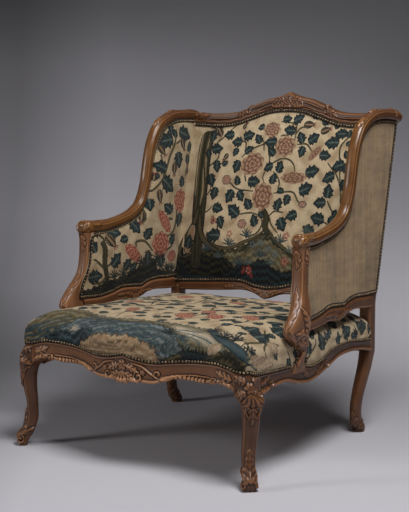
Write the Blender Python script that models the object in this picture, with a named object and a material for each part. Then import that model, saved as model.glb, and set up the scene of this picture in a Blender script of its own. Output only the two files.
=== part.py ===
"""Winged armchair piece of a duchesse brisee: a carved wooden frame, joined with
pegged mortise and tenon joints, and upholstered in needlework.

Metres, +Z up. The chair faces -Y, and x = 0 is its plane of symmetry. Left and
right are named as seen by someone who stands in front of the chair and faces it,
so the right side is at +X. Every piece hangs on one empty, which centres the
chair over the origin on the floor.
"""

import math

import bmesh
import bpy
from mathutils import Vector

# Seat frame: the sizes that drive the plan
SEAT_WIDTH = 0.770
SEAT_DEPTH = 0.720
FRONT_BOW = 0.036
SIDE_BOW = 0.012
DECK_FRONT_HEIGHT = 0.328
DECK_REAR_HEIGHT = 0.306
FRONT_NAIL_HEIGHT = 0.302
FRONT_NAIL_RISE = 0.016
FRONT_RAIL_DROP = 0.076
SIDE_NAIL_HEIGHT = 0.267
SIDE_NAIL_RISE = 0.034
SIDE_RAIL_LOW = 0.228
SIDE_RAIL_ARCH = 0.043
REAR_NAIL_HEIGHT = 0.285
REAR_RAIL_LOW = 0.245
REAR_COVER_OVERHANG = 0.013
RAIL_THICKNESS = 0.028
SIDE_RAIL_THICKNESS = 0.034
REAR_RAIL_THICKNESS = 0.024
REBATE = 0.0035
BEAD = 0.005
COVE = 0.003
BEAD_HEIGHT = 0.011

# Front legs
LEG_BLOCK_INNER_X = 0.352
LEG_BLOCK_WIDTH = 0.043
LEG_BLOCK_DEPTH = 0.064
KNEE_BULGE = 0.016
LEG_KNEE_HEIGHT = 0.255
LEG_KNEE_DEPTH = 0.071
LEG_KNEE_WIDTH = 0.066
LEG_SWEEP = 0.020
LEG_CORNER_X = 0.387
LEG_CORNER_SETBACK = 0.030
LEG_LEAN = 0.014

# Rear posts: the leg and the upright are one piece of wood
POST_WIDTH = 0.040
POST_DEPTH = 0.040
POST_OUTER_X = 0.380
POST_CHAMFER = 0.005
POST_TOP_ABOVE_NAIL = 0.017
POST_BEND_HEIGHT = 0.395
BACK_RAKE_DEGREES = 13.0
REAR_LEG_HEIGHT = 0.250
REAR_LEG_SWEEP = 0.054
REAR_LEG_INSET = 0.011

# Wings and arms
WING_X = 0.377
ARM_SPLAY = 0.009
ARM_LENGTH = 0.452
ARM_HEIGHT = 0.628
WING_ABOVE_NAIL = 0.030
WING_RAIL_HALF = 0.015
WING_RAIL_HALF_THICKNESS = 0.017
TONGUE = 0.012
TONGUE_OUT = 0.003
TONGUE_IN = 0.010
KNUCKLE_SWELL = 0.30
KNUCKLE_LENGTH = 0.050
SUPPORT_FOOT_HEIGHT = 0.268
SUPPORT_TOP_HEIGHT = 0.611
SUPPORT_WIDTH = 0.040
SUPPORT_DEPTH = 0.110
SUPPORT_SPLAY = 0.024
SUPPORT_SWEEP = 0.050
SUPPORT_X = 0.384
LOWER_RAIL_SPLAY = 0.016
LOWER_RAIL_BELOW_NAIL = 0.050
LOWER_RAIL_THICKNESS = 0.026
LOWER_RAIL_PROUD = 0.005
LOWER_RAIL_NAIL_STEP = 0.034
WING_DROP = 0.020

# Back
BACK_RAIL_NAIL_HEIGHT = 0.426
BACK_RAIL_DEPTH = 0.047
BACK_RAIL_THICKNESS = 0.026
CREST_END_ABOVE_NAIL = 0.033
CREST_RISE = 0.066
CREST_NAIL_HEIGHT = 0.941
CREST_NAIL_RISE = 0.050
CREST_THICKNESS = 0.030

# Joinery
JOINT_GAP = 0.0003
TOLERANCE = 0.000003
TENON_THICKNESS = 0.010
TENON_LENGTH = 0.020
TENON_SHOULDER = 0.010
POST_TENON_SHARE = 0.6
PEG_RADIUS = 0.0035
PEG_LENGTH = 0.026
DOWEL_SIZE = 0.010
DOWEL_LENGTH = 0.014
BLOCK_LEG = 0.110
BLOCK_HEIGHT = 0.035
BLOCK_DROP = 0.012
CUTTER_RUN = 0.020

# Upholstery
CLOTH = 0.002
LINEN = 0.0015
WEBBING = 0.0016
WEB_WIDTH = 0.050
WEB_BEARING = 0.014
BASE_CLOTH = 0.001
BASE_CLOTH_INSET = 0.012
BACKING_GAP = 0.0006
SEAT_CROWN = 0.095
SEAT_BULGE = 0.005
BACK_PADDING = 0.018
WING_PADDING = 0.012
PANEL_BACKING = 0.004
FRONT_STRAPS = 6
SIDE_STRAPS = 5

# How many steps a smooth run is cut into
FRONT_STEPS = 10
CORNER_STEPS = 5
SIDE_STEPS = 8
SUPPORT_STEPS = 16
LOWER_WING_STEPS = 14
WING_STATIONS = 21
ARM_END_STATION = 8
WING_END_STATION = 16
REAR_EDGE_STEPS = 5
PEG_SIDES = 6
LEG_ARC_STEPS = 4
SUPPORT_SIDES = 12
REAR_STEPS = 3
BISECTIONS = 40
SHARP_DEGREES = 35.0

# Shapes as hand-chosen shares. Front rail: share of the half width, then the
# forward bow, the nail line's rise and the lower edge's drop.
FRONT_SHARES = (
    (0.00, 1.00, 0.94, 1.00),
    (0.13, 0.86, 0.25, 0.94),
    (0.26, 0.61, 0.00, 0.95),
    (0.39, 0.28, 0.31, 0.72),
    (0.52, 0.00, 0.63, 0.70),
    (0.65, 0.05, 0.88, 0.71),
    (0.78, 0.25, 1.00, 0.61),
    (0.88, 0.24, 0.50, 0.69),
    (0.93, 0.27, 0.10, 0.92),
)
# Side rail: share of the way back, then the outward bow, the nail line and the arch.
SIDE_SHARES = (
    (0.00, 0.85, 0.75, 0.20),
    (0.10, 0.62, 0.62, 0.42),
    (0.21, 0.85, 0.55, 0.50),
    (0.30, 0.98, 0.50, 0.16),
    (0.40, 1.00, 0.06, 0.00),
    (0.50, 0.85, 0.24, 0.26),
    (0.58, 0.62, 0.74, 0.56),
    (0.68, 0.36, 1.00, 0.92),
    (0.79, 0.16, 0.96, 1.00),
    (0.90, 0.05, 0.70, 0.86),
    (1.00, 0.00, 0.53, 0.55),
)
# Front leg: share of the knee height, then the sweep, the depth, the width and how
# far the leg leans to the front.
LEG_SHARES = (
    (0.000, 0.95, 0.34, 0.54, 1.00),
    (0.031, 1.00, 0.40, 0.57, 1.00),
    (0.071, 0.95, 0.49, 0.56, 1.00),
    (0.125, 0.62, 0.60, 0.51, 0.98),
    (0.192, 0.05, 0.48, 0.49, 0.92),
    (0.310, -0.32, 0.51, 0.53, 0.76),
    (0.447, -0.30, 0.48, 0.58, 0.54),
    (0.537, -0.17, 0.50, 0.62, 0.38),
    (0.647, 0.10, 0.56, 0.66, 0.22),
    (0.812, 0.25, 0.62, 0.77, 0.06),
    (0.922, 0.18, 0.72, 0.92, 0.00),
)
# Rear leg: share of its height, then the sweep forward, the inset, depth and width.
REAR_LEG_SHARES = (
    (0.00, 0.52, 1.00, 0.80, 0.90),
    (0.06, 0.55, 1.00, 0.95, 0.95),
    (0.12, 0.74, 1.00, 1.00, 0.90),
    (0.20, 0.93, 0.90, 0.88, 0.87),
    (0.36, 1.00, 0.72, 0.90, 0.87),
    (0.52, 0.78, 0.54, 0.95, 0.90),
    (0.66, 0.52, 0.36, 1.02, 0.95),
    (0.80, 0.26, 0.18, 1.08, 1.00),
    (0.92, 0.10, 0.05, 1.10, 1.00),
)
# Arm and wing rail: share of the way from the knuckle to the post's top, then height.
WING_SHARES = (
    (0.000, -0.009),
    (0.081, -0.005),
    (0.155, 0.000),
    (0.298, 0.041),
    (0.388, 0.093),
    (0.457, 0.181),
    (0.503, 0.347),
    (0.521, 0.472),
    (0.541, 0.618),
    (0.569, 0.749),
    (0.621, 0.880),
    (0.702, 0.962),
    (0.802, 1.000),
    (0.948, 0.997),
    (1.034, 0.972),
)
LINEN_OVER_POST_SHARE = 0.8
# How far back the arm's splay reaches, as a share of the arm's length.
ARM_SPLAY_SHARE = 0.5
# Wing pad's middle as shares of the wing's depth and height, and its inner rings.
PAD_MIDDLE_SHARES = (0.66, 0.30)
PAD_RING_SHARES = (0.76, 0.40)
BACKING_RING_SHARES = (0.55,)
# Arm support: share of its height, then splay, forward sweep, depth and width.
SUPPORT_SHARES = (
    (0.00, 0.22, 0.36, 0.34, 0.55),
    (0.08, 0.30, 0.36, 0.28, 0.60),
    (0.15, 0.48, 0.36, 0.26, 0.70),
    (0.22, 0.60, 0.52, 0.38, 0.80),
    (0.30, 0.68, 0.92, 0.74, 0.92),
    (0.37, 0.75, 1.00, 0.98, 1.00),
    (0.47, 0.75, 0.70, 0.78, 1.00),
    (0.56, 0.50, 0.40, 0.53, 0.98),
    (0.65, 0.18, 0.20, 0.38, 0.95),
    (0.77, 0.04, 0.08, 0.34, 0.95),
    (0.90, 0.00, 0.02, 0.37, 1.00),
    (1.00, 0.00, 0.00, 0.46, 1.08),
)
# Wing lower rail: share of the way back, then the lower edge and the nail line.
LOWER_WING_SHARES = (
    (0.00, -0.05, 0.85),
    (0.12, -0.10, 0.80),
    (0.25, 0.05, 1.00),
    (0.36, 0.30, 1.30),
    (0.49, 0.00, 1.22),
    (0.57, 0.30, 1.15),
    (0.64, 0.85, 1.45),
    (0.74, 0.95, 1.58),
    (0.87, 0.70, 1.50),
    (1.00, 0.60, 1.50),
)
# Lower back rail: share of the half width, then how far the nail line and the
# lower edge lie below the line's highest point.
LOWER_BACK_SHARES = (
    (0.00, 0.34, 1.00),
    (0.05, 0.30, 0.90),
    (0.15, 0.22, 0.62),
    (0.27, 0.00, 0.51),
    (0.45, 0.02, 0.62),
    (0.70, 0.16, 0.76),
    (1.00, 0.32, 0.90),
)
# Crest rail: share of the half width, then the rise of the top and of the nail line.
CREST_SHARES = (
    (0.00, 1.00, 1.00),
    (0.05, 0.93, 0.99),
    (0.15, 0.79, 0.93),
    (0.24, 0.70, 0.80),
    (0.33, 0.54, 0.60),
    (0.43, 0.34, 0.38),
    (0.52, 0.14, 0.18),
    (0.65, 0.03, 0.02),
    (0.82, 0.00, 0.00),
    (1.00, 0.00, 0.05),
)
# Seat cover from its nailed edge to the crown: share of the plan, share of the crown.
SEAT_RING_SHARES = (
    (0.985, 0.31),
    (0.94, 0.50),
    (0.84, 0.72),
    (0.62, 0.90),
    (0.32, 0.99),
)
# Where the back's rails and cloths have their stations, as shares of the half width.
BACK_STATION_SHARES = (0.0, 0.05, 0.15, 0.24, 0.33, 0.43, 0.52, 0.75, 1.0)
# Rows of a padded panel, from its lower to its upper edge; and of a flat one.
PADDED_ROW_SHARES = (0.0, 0.06, 0.3, 0.7, 0.94, 1.0)
FLAT_ROW_SHARES = (0.0, 1.0)
# Powers of squarish curves: the knee corner's plan, the leg's and the support's
# sections, and how a pad flattens towards its middle.
KNEE_POWER = 5
LEG_POWER = 2.6
SUPPORT_POWER = 3.2
PAD_POWER = 4
# Leg's block from the rails' lower edge up to the nails: share of the height, bulge.
BLOCK_RING_SHARES = ((0.0, 1.0), (0.4, 0.7), (0.75, 0.25), (1.0, 0.0))
# Half of the wing rail's section outside its tongue: share of the half width, then of
# the half thickness. The tongue's side is flatter.
WING_SECTION_SHARES = ((-0.5, 1.0), (0.45, 1.0), (0.92, 0.6))
WING_SECTION_NOSE_SHARE = 1.06
WING_SECTION_ROOT_SHARES = (0.72, 0.78)
# Where the support's middle lies behind the arm's end, as a share of the rail's half.
SUPPORT_SETBACK_SHARE = 0.6
# Where the tenons lie in the thickness of the rails, and how low they start.
FRONT_TENON_SHARE = 0.45
SIDE_TENON_SHARE = 0.42
REAR_TENON_SHARE = 0.4
TENON_LOW_SHARE = 1.5
# How far apart two readings lie that give a line's direction.
SLOPE_SHARE = 0.01

HALF_WIDTH = SEAT_WIDTH / 2
FRONT_Y = -SEAT_DEPTH / 2
POST_Y = SEAT_DEPTH / 2
RAKE = math.tan(math.radians(BACK_RAKE_DEGREES))
POST_INNER_X = POST_OUTER_X - POST_WIDTH
POST_FRONT_Y = POST_Y - POST_DEPTH / 2
LEG_BLOCK_FRONT_Y = FRONT_Y - FRONT_BOW * FRONT_SHARES[-1][1]
LEG_BLOCK_REAR_Y = LEG_BLOCK_FRONT_Y + LEG_BLOCK_DEPTH
LEG_CORNER_Y = LEG_BLOCK_FRONT_Y + LEG_CORNER_SETBACK
ARM_FRONT_Y = POST_Y - ARM_LENGTH
POST_TOP_HEIGHT = CREST_NAIL_HEIGHT + POST_TOP_ABOVE_NAIL
WING_HEIGHT = CREST_NAIL_HEIGHT + WING_ABOVE_NAIL
CREST_END_HEIGHT = CREST_NAIL_HEIGHT + CREST_END_ABOVE_NAIL
LOWER_RAIL_HEIGHT = BACK_RAIL_NAIL_HEIGHT - LOWER_RAIL_BELOW_NAIL
ROOT_SIDES = (("left", -1), ("right", 1))


def smooth(table, place, column=1):
    """Read a smooth value from a table of rows that start with their place."""
    last = len(table) - 1
    if place <= table[0][0]:
        return table[0][column]
    if place >= table[last][0]:
        return table[last][column]
    slopes = []
    for index, row in enumerate(table):
        before = table[max(index - 1, 0)]
        after = table[min(index + 1, last)]
        slopes.append((after[column] - before[column]) / (after[0] - before[0]))
    for index in range(last):
        start, end = table[index], table[index + 1]
        if place <= end[0]:
            span = end[0] - start[0]
            t = (place - start[0]) / span
            square, cube = t * t, t * t * t
            return ((2 * cube - 3 * square + 1) * start[column]
                    + (cube - 2 * square + t) * span * slopes[index]
                    + (3 * square - 2 * cube) * end[column]
                    + (cube - square) * span * slopes[index + 1])
    return table[last][column]


def steps(start, end, count):
    """Evenly spaced values from start to end, both included."""
    return [start + (end - start) * index / count for index in range(count + 1)]


def lerp(start, end, share):
    """The point or number a share of the way from start to end."""
    return start + (end - start) * share


def leg_turns():
    """Directions of the leg's section points, with the block's corners among them."""
    corner = math.atan2(LEG_BLOCK_DEPTH, LEG_BLOCK_WIDTH)
    turns = steps(corner, math.pi - corner, LEG_ARC_STEPS)[:-1]
    turns += steps(math.pi - corner, math.pi + corner, LEG_ARC_STEPS)[:-1]
    return turns + steps(math.pi + corner, math.tau + corner, 2 * LEG_ARC_STEPS)[:-1]


def deck(y):
    """Height of the seat frame's top, which falls towards the back."""
    share = (y - FRONT_Y) / SEAT_DEPTH
    return lerp(DECK_FRONT_HEIGHT, DECK_REAR_HEIGHT, share)


def post_y(z):
    """Middle of the rear post in depth, upright at the seat and raked above it."""
    return POST_Y + max(0.0, z - POST_BEND_HEIGHT) * RAKE


def front_face(x):
    """Front rail's face at x: its y, its nail line and its lower edge."""
    share = abs(x) / HALF_WIDTH
    y = FRONT_Y - FRONT_BOW * smooth(FRONT_SHARES, share, 1)
    nail = FRONT_NAIL_HEIGHT + FRONT_NAIL_RISE * smooth(FRONT_SHARES, share, 2)
    top = FRONT_NAIL_HEIGHT + FRONT_NAIL_RISE
    return y, nail, top - FRONT_RAIL_DROP * smooth(FRONT_SHARES, share, 3)


def side_face(y):
    """Side rail's face at y: its x, its nail line and its lower edge."""
    share = (y - LEG_BLOCK_REAR_Y) / (POST_FRONT_Y - LEG_BLOCK_REAR_Y)
    x = HALF_WIDTH + SIDE_BOW * smooth(SIDE_SHARES, share, 1)
    nail = SIDE_NAIL_HEIGHT + SIDE_NAIL_RISE * smooth(SIDE_SHARES, share, 2)
    return x, nail, SIDE_RAIL_LOW + SIDE_RAIL_ARCH * smooth(SIDE_SHARES, share, 3)


def arm_plane(y):
    """The x of the arm and wing rail's middle, which splays at the front of the arm."""
    share = (y - ARM_FRONT_Y) / ARM_LENGTH
    return WING_X + ARM_SPLAY * max(0.0, 1 - share / ARM_SPLAY_SHARE) ** 2


def wing_along(place):
    """The wing rail's point at a share of its length, with its direction."""
    count = len(WING_SHARES) - 1
    depths = tuple((index / count, row[0]) for index, row in enumerate(WING_SHARES))
    heights = tuple((index / count, row[1]) for index, row in enumerate(WING_SHARES))

    def point(at):
        """The rail's middle line at a share of its length."""
        y = lerp(ARM_FRONT_Y, post_y(POST_TOP_HEIGHT), smooth(depths, at))
        return Vector((arm_plane(y), y, lerp(ARM_HEIGHT, WING_HEIGHT, smooth(heights, at))))

    here = point(place)
    ahead = point(min(1.0, place + SLOPE_SHARE)) - point(max(0.0, place - SLOPE_SHARE))
    return here, ahead.normalized()


def lower_wing(y):
    """Wing's lower rail at y: its x, its lower edge and its nail line."""
    share = (y - ARM_FRONT_Y) / (POST_Y - ARM_FRONT_Y)
    x = WING_X + LOWER_RAIL_SPLAY * (1 - share) ** 2
    low = LOWER_RAIL_HEIGHT + WING_DROP * smooth(LOWER_WING_SHARES, share, 1)
    nail = LOWER_RAIL_HEIGHT + LOWER_RAIL_NAIL_STEP * smooth(LOWER_WING_SHARES, share, 2)
    return x, low, nail


def lower_back(x):
    """Lower back rail at x: its lower edge and its nail line."""
    share = abs(x) / POST_INNER_X
    nail = BACK_RAIL_NAIL_HEIGHT - BACK_RAIL_DEPTH * smooth(LOWER_BACK_SHARES, share, 1)
    low = BACK_RAIL_NAIL_HEIGHT - BACK_RAIL_DEPTH * smooth(LOWER_BACK_SHARES, share, 2)
    return low, nail


def crest(x):
    """Crest rail at x: its nail line and its top."""
    share = abs(x) / POST_INNER_X
    top = CREST_END_HEIGHT + CREST_RISE * smooth(CREST_SHARES, share, 1)
    nail = CREST_NAIL_HEIGHT + CREST_NAIL_RISE * smooth(CREST_SHARES, share, 2)
    return nail, top


def make_material(name, colour, roughness, metallic=0.0):
    """A plain Principled finish of its own for one sub-part."""
    material = bpy.data.materials.new(name)
    material.use_nodes = True
    shader = material.node_tree.nodes["Principled BSDF"]
    shader.inputs["Base Color"].default_value = (*colour, 1.0)
    shader.inputs["Roughness"].default_value = roughness
    shader.inputs["Metallic"].default_value = metallic
    return material


WALNUT = ((0.26, 0.13, 0.065), 0.42)
BEECH = ((0.42, 0.27, 0.15), 0.60)
NEEDLEWORK = ((0.58, 0.49, 0.34), 0.95)
PLAIN_LINEN = ((0.50, 0.42, 0.29), 0.95)
HORSEHAIR = ((0.20, 0.14, 0.09), 0.98)
JUTE = ((0.45, 0.33, 0.19), 0.97)


def add_object(name, bm, finish):
    """Turn a bmesh into a named object of plain triangles, faces pointing out."""
    bmesh.ops.recalc_face_normals(bm, faces=bm.faces)
    bmesh.ops.triangulate(bm, faces=bm.faces)
    mesh = bpy.data.meshes.new(name)
    bm.to_mesh(mesh)
    bm.free()
    mesh.shade_smooth()
    mesh.set_sharp_from_angle(angle=math.radians(SHARP_DEGREES))
    mesh.materials.append(make_material(name, *finish))
    piece = bpy.data.objects.new(name, mesh)
    piece.parent = ROOT
    bpy.context.collection.objects.link(piece)
    return piece


def loft(name, rings, finish):
    """Skin a list of equal rings of points and close both ends."""
    bm = bmesh.new()
    rows = [[bm.verts.new(point) for point in ring] for ring in rings]
    count = len(rows[0])
    for low, high in zip(rows, rows[1:]):
        for index in range(count):
            after = (index + 1) % count
            bm.faces.new((low[index], low[after], high[after], high[index]))
    bm.faces.new(rows[0])
    bm.faces.new(rows[-1])
    return add_object(name, bm, finish)


def panel(name, face, back, finish):
    """Close two equal grids of points into one sheet or pad."""
    bm = bmesh.new()
    front = [[bm.verts.new(point) for point in row] for row in face]
    rear = [[bm.verts.new(point) for point in row] for row in back]
    rows, columns = len(front) - 1, len(front[0]) - 1
    for i in range(rows):
        for j in range(columns):
            for grid in (front, rear):
                bm.faces.new((grid[i][j], grid[i][j + 1],
                              grid[i + 1][j + 1], grid[i + 1][j]))
    rim = [(0, j) for j in range(columns)] + [(i, columns) for i in range(rows)]
    rim += [(rows, j) for j in range(columns, 0, -1)] + [(i, 0) for i in range(rows, 0, -1)]
    for (i, j), (k, m) in zip(rim, rim[1:] + rim[:1]):
        bm.faces.new((front[i][j], front[k][m], rear[k][m], rear[i][j]))
    return add_object(name, bm, finish)


def box(name, low, high, finish=BEECH):
    """A box between two corners."""
    ring = ((low[0], low[1]), (high[0], low[1]), (high[0], high[1]), (low[0], high[1]))
    return loft(name, [[Vector((x, y, z)) for x, y in ring] for z in (low[2], high[2])],
                finish)


def as_guide(piece):
    """Mark a shape that only cuts or joins, and isn't a piece of the chair."""
    piece.hide_render = True
    piece.display_type = "WIRE"
    piece.hide_set(True)
    return piece


def combine(piece, tool, operation):
    """Cut one shape out of a piece, or join it on."""
    change = piece.modifiers.new(operation.title() + " " + tool.name, "BOOLEAN")
    change.operation = operation
    change.solver = "EXACT"
    change.object = tool


def pegged(rail, post, low, high):
    """Give the rail a tenon between two corners and the post its mortise."""
    tenon = as_guide(box(rail.name + "_tenon_" + post.name, low, high))
    grown_low = [value - JOINT_GAP for value in low]
    grown_high = [value + JOINT_GAP for value in high]
    mortise = as_guide(box(post.name + "_mortise_" + rail.name, grown_low, grown_high))
    combine(rail, tenon, "UNION")
    combine(post, mortise, "DIFFERENCE")


def peg(name, centre, axis, pieces):
    """A round peg along an axis, and its hole in the pieces that it locks."""
    direction = Vector(axis)
    side = direction.orthogonal().normalized()
    other = direction.cross(side)

    def cylinder(label, radius, start, end):
        """A many-sided rod along the peg's axis."""
        rings = []
        for place in (start, end):
            middle = Vector(centre) + direction * place
            rings.append([middle + (side * math.cos(turn) + other * math.sin(turn)) * radius
                          for turn in steps(0, math.tau, PEG_SIDES)[:-1]])
        return loft(label, rings, BEECH)

    cylinder(name, PEG_RADIUS, 0, PEG_LENGTH)
    hole = as_guide(cylinder(name + "_hole", PEG_RADIUS + JOINT_GAP, -CUTTER_RUN,
                             PEG_LENGTH + JOINT_GAP))
    for piece in pieces:
        combine(piece, hole, "DIFFERENCE")


def front_normal(x):
    """Direction in plan in which the front rail's face looks at x."""
    reach = HALF_WIDTH * SLOPE_SHARE
    slope = (front_face(x + reach)[0] - front_face(x - reach)[0]) / (2 * reach)
    return Vector((slope, -1)).normalized()


def side_normal(y):
    """Direction in plan in which the right side rail's face looks at y."""
    reach = SEAT_DEPTH * SLOPE_SHARE
    slope = (side_face(y + reach)[0] - side_face(y - reach)[0]) / (2 * reach)
    return Vector((1, -slope)).normalized()


def rail_ring(foot, outward, low, nail, thickness):
    """Section of a seat rail: bead and cove below, the rebate for the cloth above."""
    outline = (
        (-thickness, None), (-thickness, low + COVE), (-thickness + BEAD, low),
        (-BEAD, low), (0.0, low + BEAD), (0.0, low + BEAD_HEIGHT),
        (-COVE, low + BEAD_HEIGHT + COVE), (-COVE, nail - BEAD), (0.0, nail - COVE / 2),
        (0.0, nail), (-REBATE, nail), (-REBATE, None),
    )
    ring = []
    for out, z in outline:
        x, y = foot[0] + outward[0] * out, foot[1] + outward[1] * out
        ring.append(Vector((x, y, deck(y) if z is None else z)))
    return ring


def front_stations():
    """Places across the front rail, from its middle to its shoulder at the leg."""
    return steps(0, LEG_BLOCK_INNER_X, FRONT_STEPS)


def side_stations():
    """Places along the side rail, from the leg's block to the post."""
    end = POST_FRONT_Y - SEAT_BULGE - COVE
    return steps(LEG_BLOCK_REAR_Y, end, SIDE_STEPS)


def front_rail(gap=0.0):
    """Serpentine front rail between the two front legs, or the space that it takes."""
    end = LEG_BLOCK_INNER_X - JOINT_GAP + gap
    places = [min(x, end) for x in front_stations()]
    rings = []
    for x in [-x for x in places[:0:-1]] + places:
        y, nail, low = front_face(x)
        outward = Vector((0, -1)) if abs(x) == end else front_normal(x)
        low -= BLOCK_HEIGHT if gap else 0.0
        rings.append(rail_ring((x, y), outward, low, nail, RAIL_THICKNESS + gap))
    return loft("front_seat_rail" + ("_space" if gap else ""), rings, WALNUT)


def side_rail(label, side, gap=0.0):
    """Bowed side rail from the front leg to the rear post, or the space that it takes."""
    places = side_stations()
    places[0] += JOINT_GAP - gap
    rings = []
    for y in places + [POST_FRONT_Y - JOINT_GAP + gap]:
        x, nail, low = side_face(y)
        low -= BLOCK_HEIGHT if gap else 0.0
        outward = side_normal(y)
        if y == places[0] or y > places[-1]:
            outward = Vector((1, 0))
        rings.append(rail_ring((x * side, y), (outward.x * side, outward.y), low, nail,
                               SIDE_RAIL_THICKNESS + gap))
    return loft(label + "_seat_rail" + ("_space" if gap else ""), rings, WALNUT)


def rear_rail(gap=0.0):
    """Straight rear rail between the posts, or the space that it takes."""
    outer = POST_Y + REAR_COVER_OVERHANG
    end = POST_INNER_X - JOINT_GAP + gap
    low = REAR_RAIL_LOW - (BLOCK_HEIGHT if gap else 0.0)
    rings = [rail_ring((x, outer), (0, 1), low, REAR_NAIL_HEIGHT,
                       REAR_RAIL_THICKNESS + gap) for x in (-end, end)]
    return loft("rear_seat_rail" + ("_space" if gap else ""), rings, BEECH)


def block_reach(ray, middle, rebate):
    """How far the leg's block reaches from its middle along a ray in plan."""
    wide = LEG_BLOCK_WIDTH - rebate
    deep = LEG_BLOCK_DEPTH - rebate

    def inside(reach):
        """Whether the ray is still in the block there."""
        point = middle + ray * reach
        over = point.x - LEG_BLOCK_INNER_X
        ahead = LEG_BLOCK_REAR_Y - point.y
        if over < 0 or ahead < 0:
            return False
        return (over / wide) ** KNEE_POWER + (ahead / deep) ** KNEE_POWER <= 1

    low, high = 0.0, LEG_BLOCK_WIDTH + LEG_BLOCK_DEPTH
    while high - low > TOLERANCE:
        half = (low + high) / 2
        low, high = (half, high) if inside(half) else (low, half)
    return low


def leg_ring(side, z, blend, grow, rebate=0.0, bulge=0.0):
    """Front leg's section: the block above blends to the swept leg below."""
    share = z / LEG_KNEE_HEIGHT
    sweep = LEG_SWEEP * smooth(LEG_SHARES, share, 1)
    depth = LEG_KNEE_DEPTH * smooth(LEG_SHARES, share, 2) / 2
    width = LEG_KNEE_WIDTH * smooth(LEG_SHARES, share, 3) / 2
    diagonal = Vector((1, -1)).normalized()
    across = Vector((1, 1)).normalized()
    lean = LEG_LEAN * smooth(LEG_SHARES, share, 4)
    middle = Vector((LEG_CORNER_X, LEG_CORNER_Y - lean)) + diagonal * sweep
    half_block = Vector((LEG_BLOCK_WIDTH, -LEG_BLOCK_DEPTH)) / 2
    block_middle = Vector((LEG_BLOCK_INNER_X, LEG_BLOCK_REAR_Y)) + half_block
    ring = []
    for turn in leg_turns():
        ray = Vector((math.cos(turn), math.sin(turn)))
        along, over = ray.dot(diagonal), ray.dot(across)
        square = block_middle + ray * (block_reach(ray, block_middle, rebate)
                                       + bulge * max(0.0, along) ** 2)
        unit = abs(along / depth) ** LEG_POWER + abs(over / width) ** LEG_POWER
        point = lerp(middle + ray / unit ** (1 / LEG_POWER), square, blend)
        point += ray * grow
        ring.append(Vector((point.x * side, point.y, z)))
    return ring


def front_leg(label, side, gap=0.0):
    """Cabriole front leg with its block, knee and scrolled foot, or its space."""
    nail = min(front_face(LEG_CORNER_X)[1], front_face(LEG_BLOCK_INNER_X)[1],
               side_face(LEG_BLOCK_REAR_Y)[1]) - REBATE
    heights = [row[0] * LEG_KNEE_HEIGHT for row in LEG_SHARES]
    rings = [leg_ring(side, z, 0.0, gap) for z in heights]
    shoulder = front_face(LEG_BLOCK_INNER_X)[2]
    between = (heights[-1] + shoulder) / 2
    rings.append(leg_ring(side, between, 1 / 2, gap, 0.0, KNEE_BULGE))
    for share, bulge in BLOCK_RING_SHARES:
        z = lerp(shoulder, nail, share)
        rings.append(leg_ring(side, z, 1.0, gap, 0.0, KNEE_BULGE * bulge))
    rings.append(leg_ring(side, nail + REBATE, 1.0, gap, 2 * REBATE))
    rings.append(leg_ring(side, deck(LEG_CORNER_Y) + gap, 1.0, gap, 2 * REBATE))
    return loft("front_" + label + "_leg" + ("_space" if gap else ""), rings, WALNUT)


def post_rings(side, grow):
    """Sections of a rear post, from the foot to the top of the upright."""
    middle_x = POST_OUTER_X - POST_WIDTH / 2
    places = []
    for row in REAR_LEG_SHARES:
        places.append((row[0] * REAR_LEG_HEIGHT, middle_x - REAR_LEG_INSET * row[2],
                       POST_Y - REAR_LEG_SWEEP * row[1],
                       POST_DEPTH * row[3], POST_WIDTH * row[4], POST_CHAMFER * 2))
    bend = (REAR_LEG_HEIGHT, POST_BEND_HEIGHT, POST_TOP_HEIGHT)
    for z in bend:
        places.append((z, middle_x, post_y(z), POST_DEPTH, POST_WIDTH, POST_CHAMFER))
    rings = []
    for index, (z, x, y, depth, width, chamfer) in enumerate(places):
        a, b = width / 2 + grow, depth / 2 + grow
        if index in (0, len(places) - 1):
            z += grow if index else -grow
        corners = ((a, -b + chamfer), (a, b - chamfer), (a - chamfer, b), (chamfer - a, b),
                   (-a, b - chamfer), (-a, chamfer - b), (chamfer - a, -b),
                   (a - chamfer, -b))
        rings.append([Vector(((x + u) * side, y + v, z)) for u, v in corners])
    return rings


def rear_post(label, side):
    """Rear leg and upright in one piece."""
    return loft("rear_" + label + "_post", post_rings(side, 0.0), WALNUT)


def support_ring(side, share, grow):
    """Arm support's section: a rounded oblong that flares into leafage low down."""
    z = lerp(SUPPORT_FOOT_HEIGHT, SUPPORT_TOP_HEIGHT, share)
    x = SUPPORT_X + SUPPORT_SPLAY * smooth(SUPPORT_SHARES, share, 1)
    y = ARM_FRONT_Y + WING_RAIL_HALF * SUPPORT_SETBACK_SHARE
    y -= SUPPORT_SWEEP * smooth(SUPPORT_SHARES, share, 2)
    depth = SUPPORT_DEPTH * smooth(SUPPORT_SHARES, share, 3) / 2 + grow
    width = SUPPORT_WIDTH * smooth(SUPPORT_SHARES, share, 4) / 2 + grow
    ring = []
    for turn in steps(0, math.tau, SUPPORT_SIDES)[:-1]:
        c, s = math.cos(turn), math.sin(turn)
        reach = (abs(c) ** SUPPORT_POWER + abs(s) ** SUPPORT_POWER) ** (-1 / SUPPORT_POWER)
        ring.append(Vector(((x + c * reach * width) * side, y + s * reach * depth, z)))
    return ring


def arm_support(label, side, grow=0.0):
    """Arm support, lapped into the side rail and tenoned into the arm."""
    rings = [support_ring(side, share, grow) for share in steps(0, 1, SUPPORT_STEPS)]
    if grow:
        for point in rings[0]:
            point.z -= grow
        for point in rings[-1]:
            point.z += grow
    return loft(label + "_arm_support" + ("_space" if grow else ""), rings, WALNUT)


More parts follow.
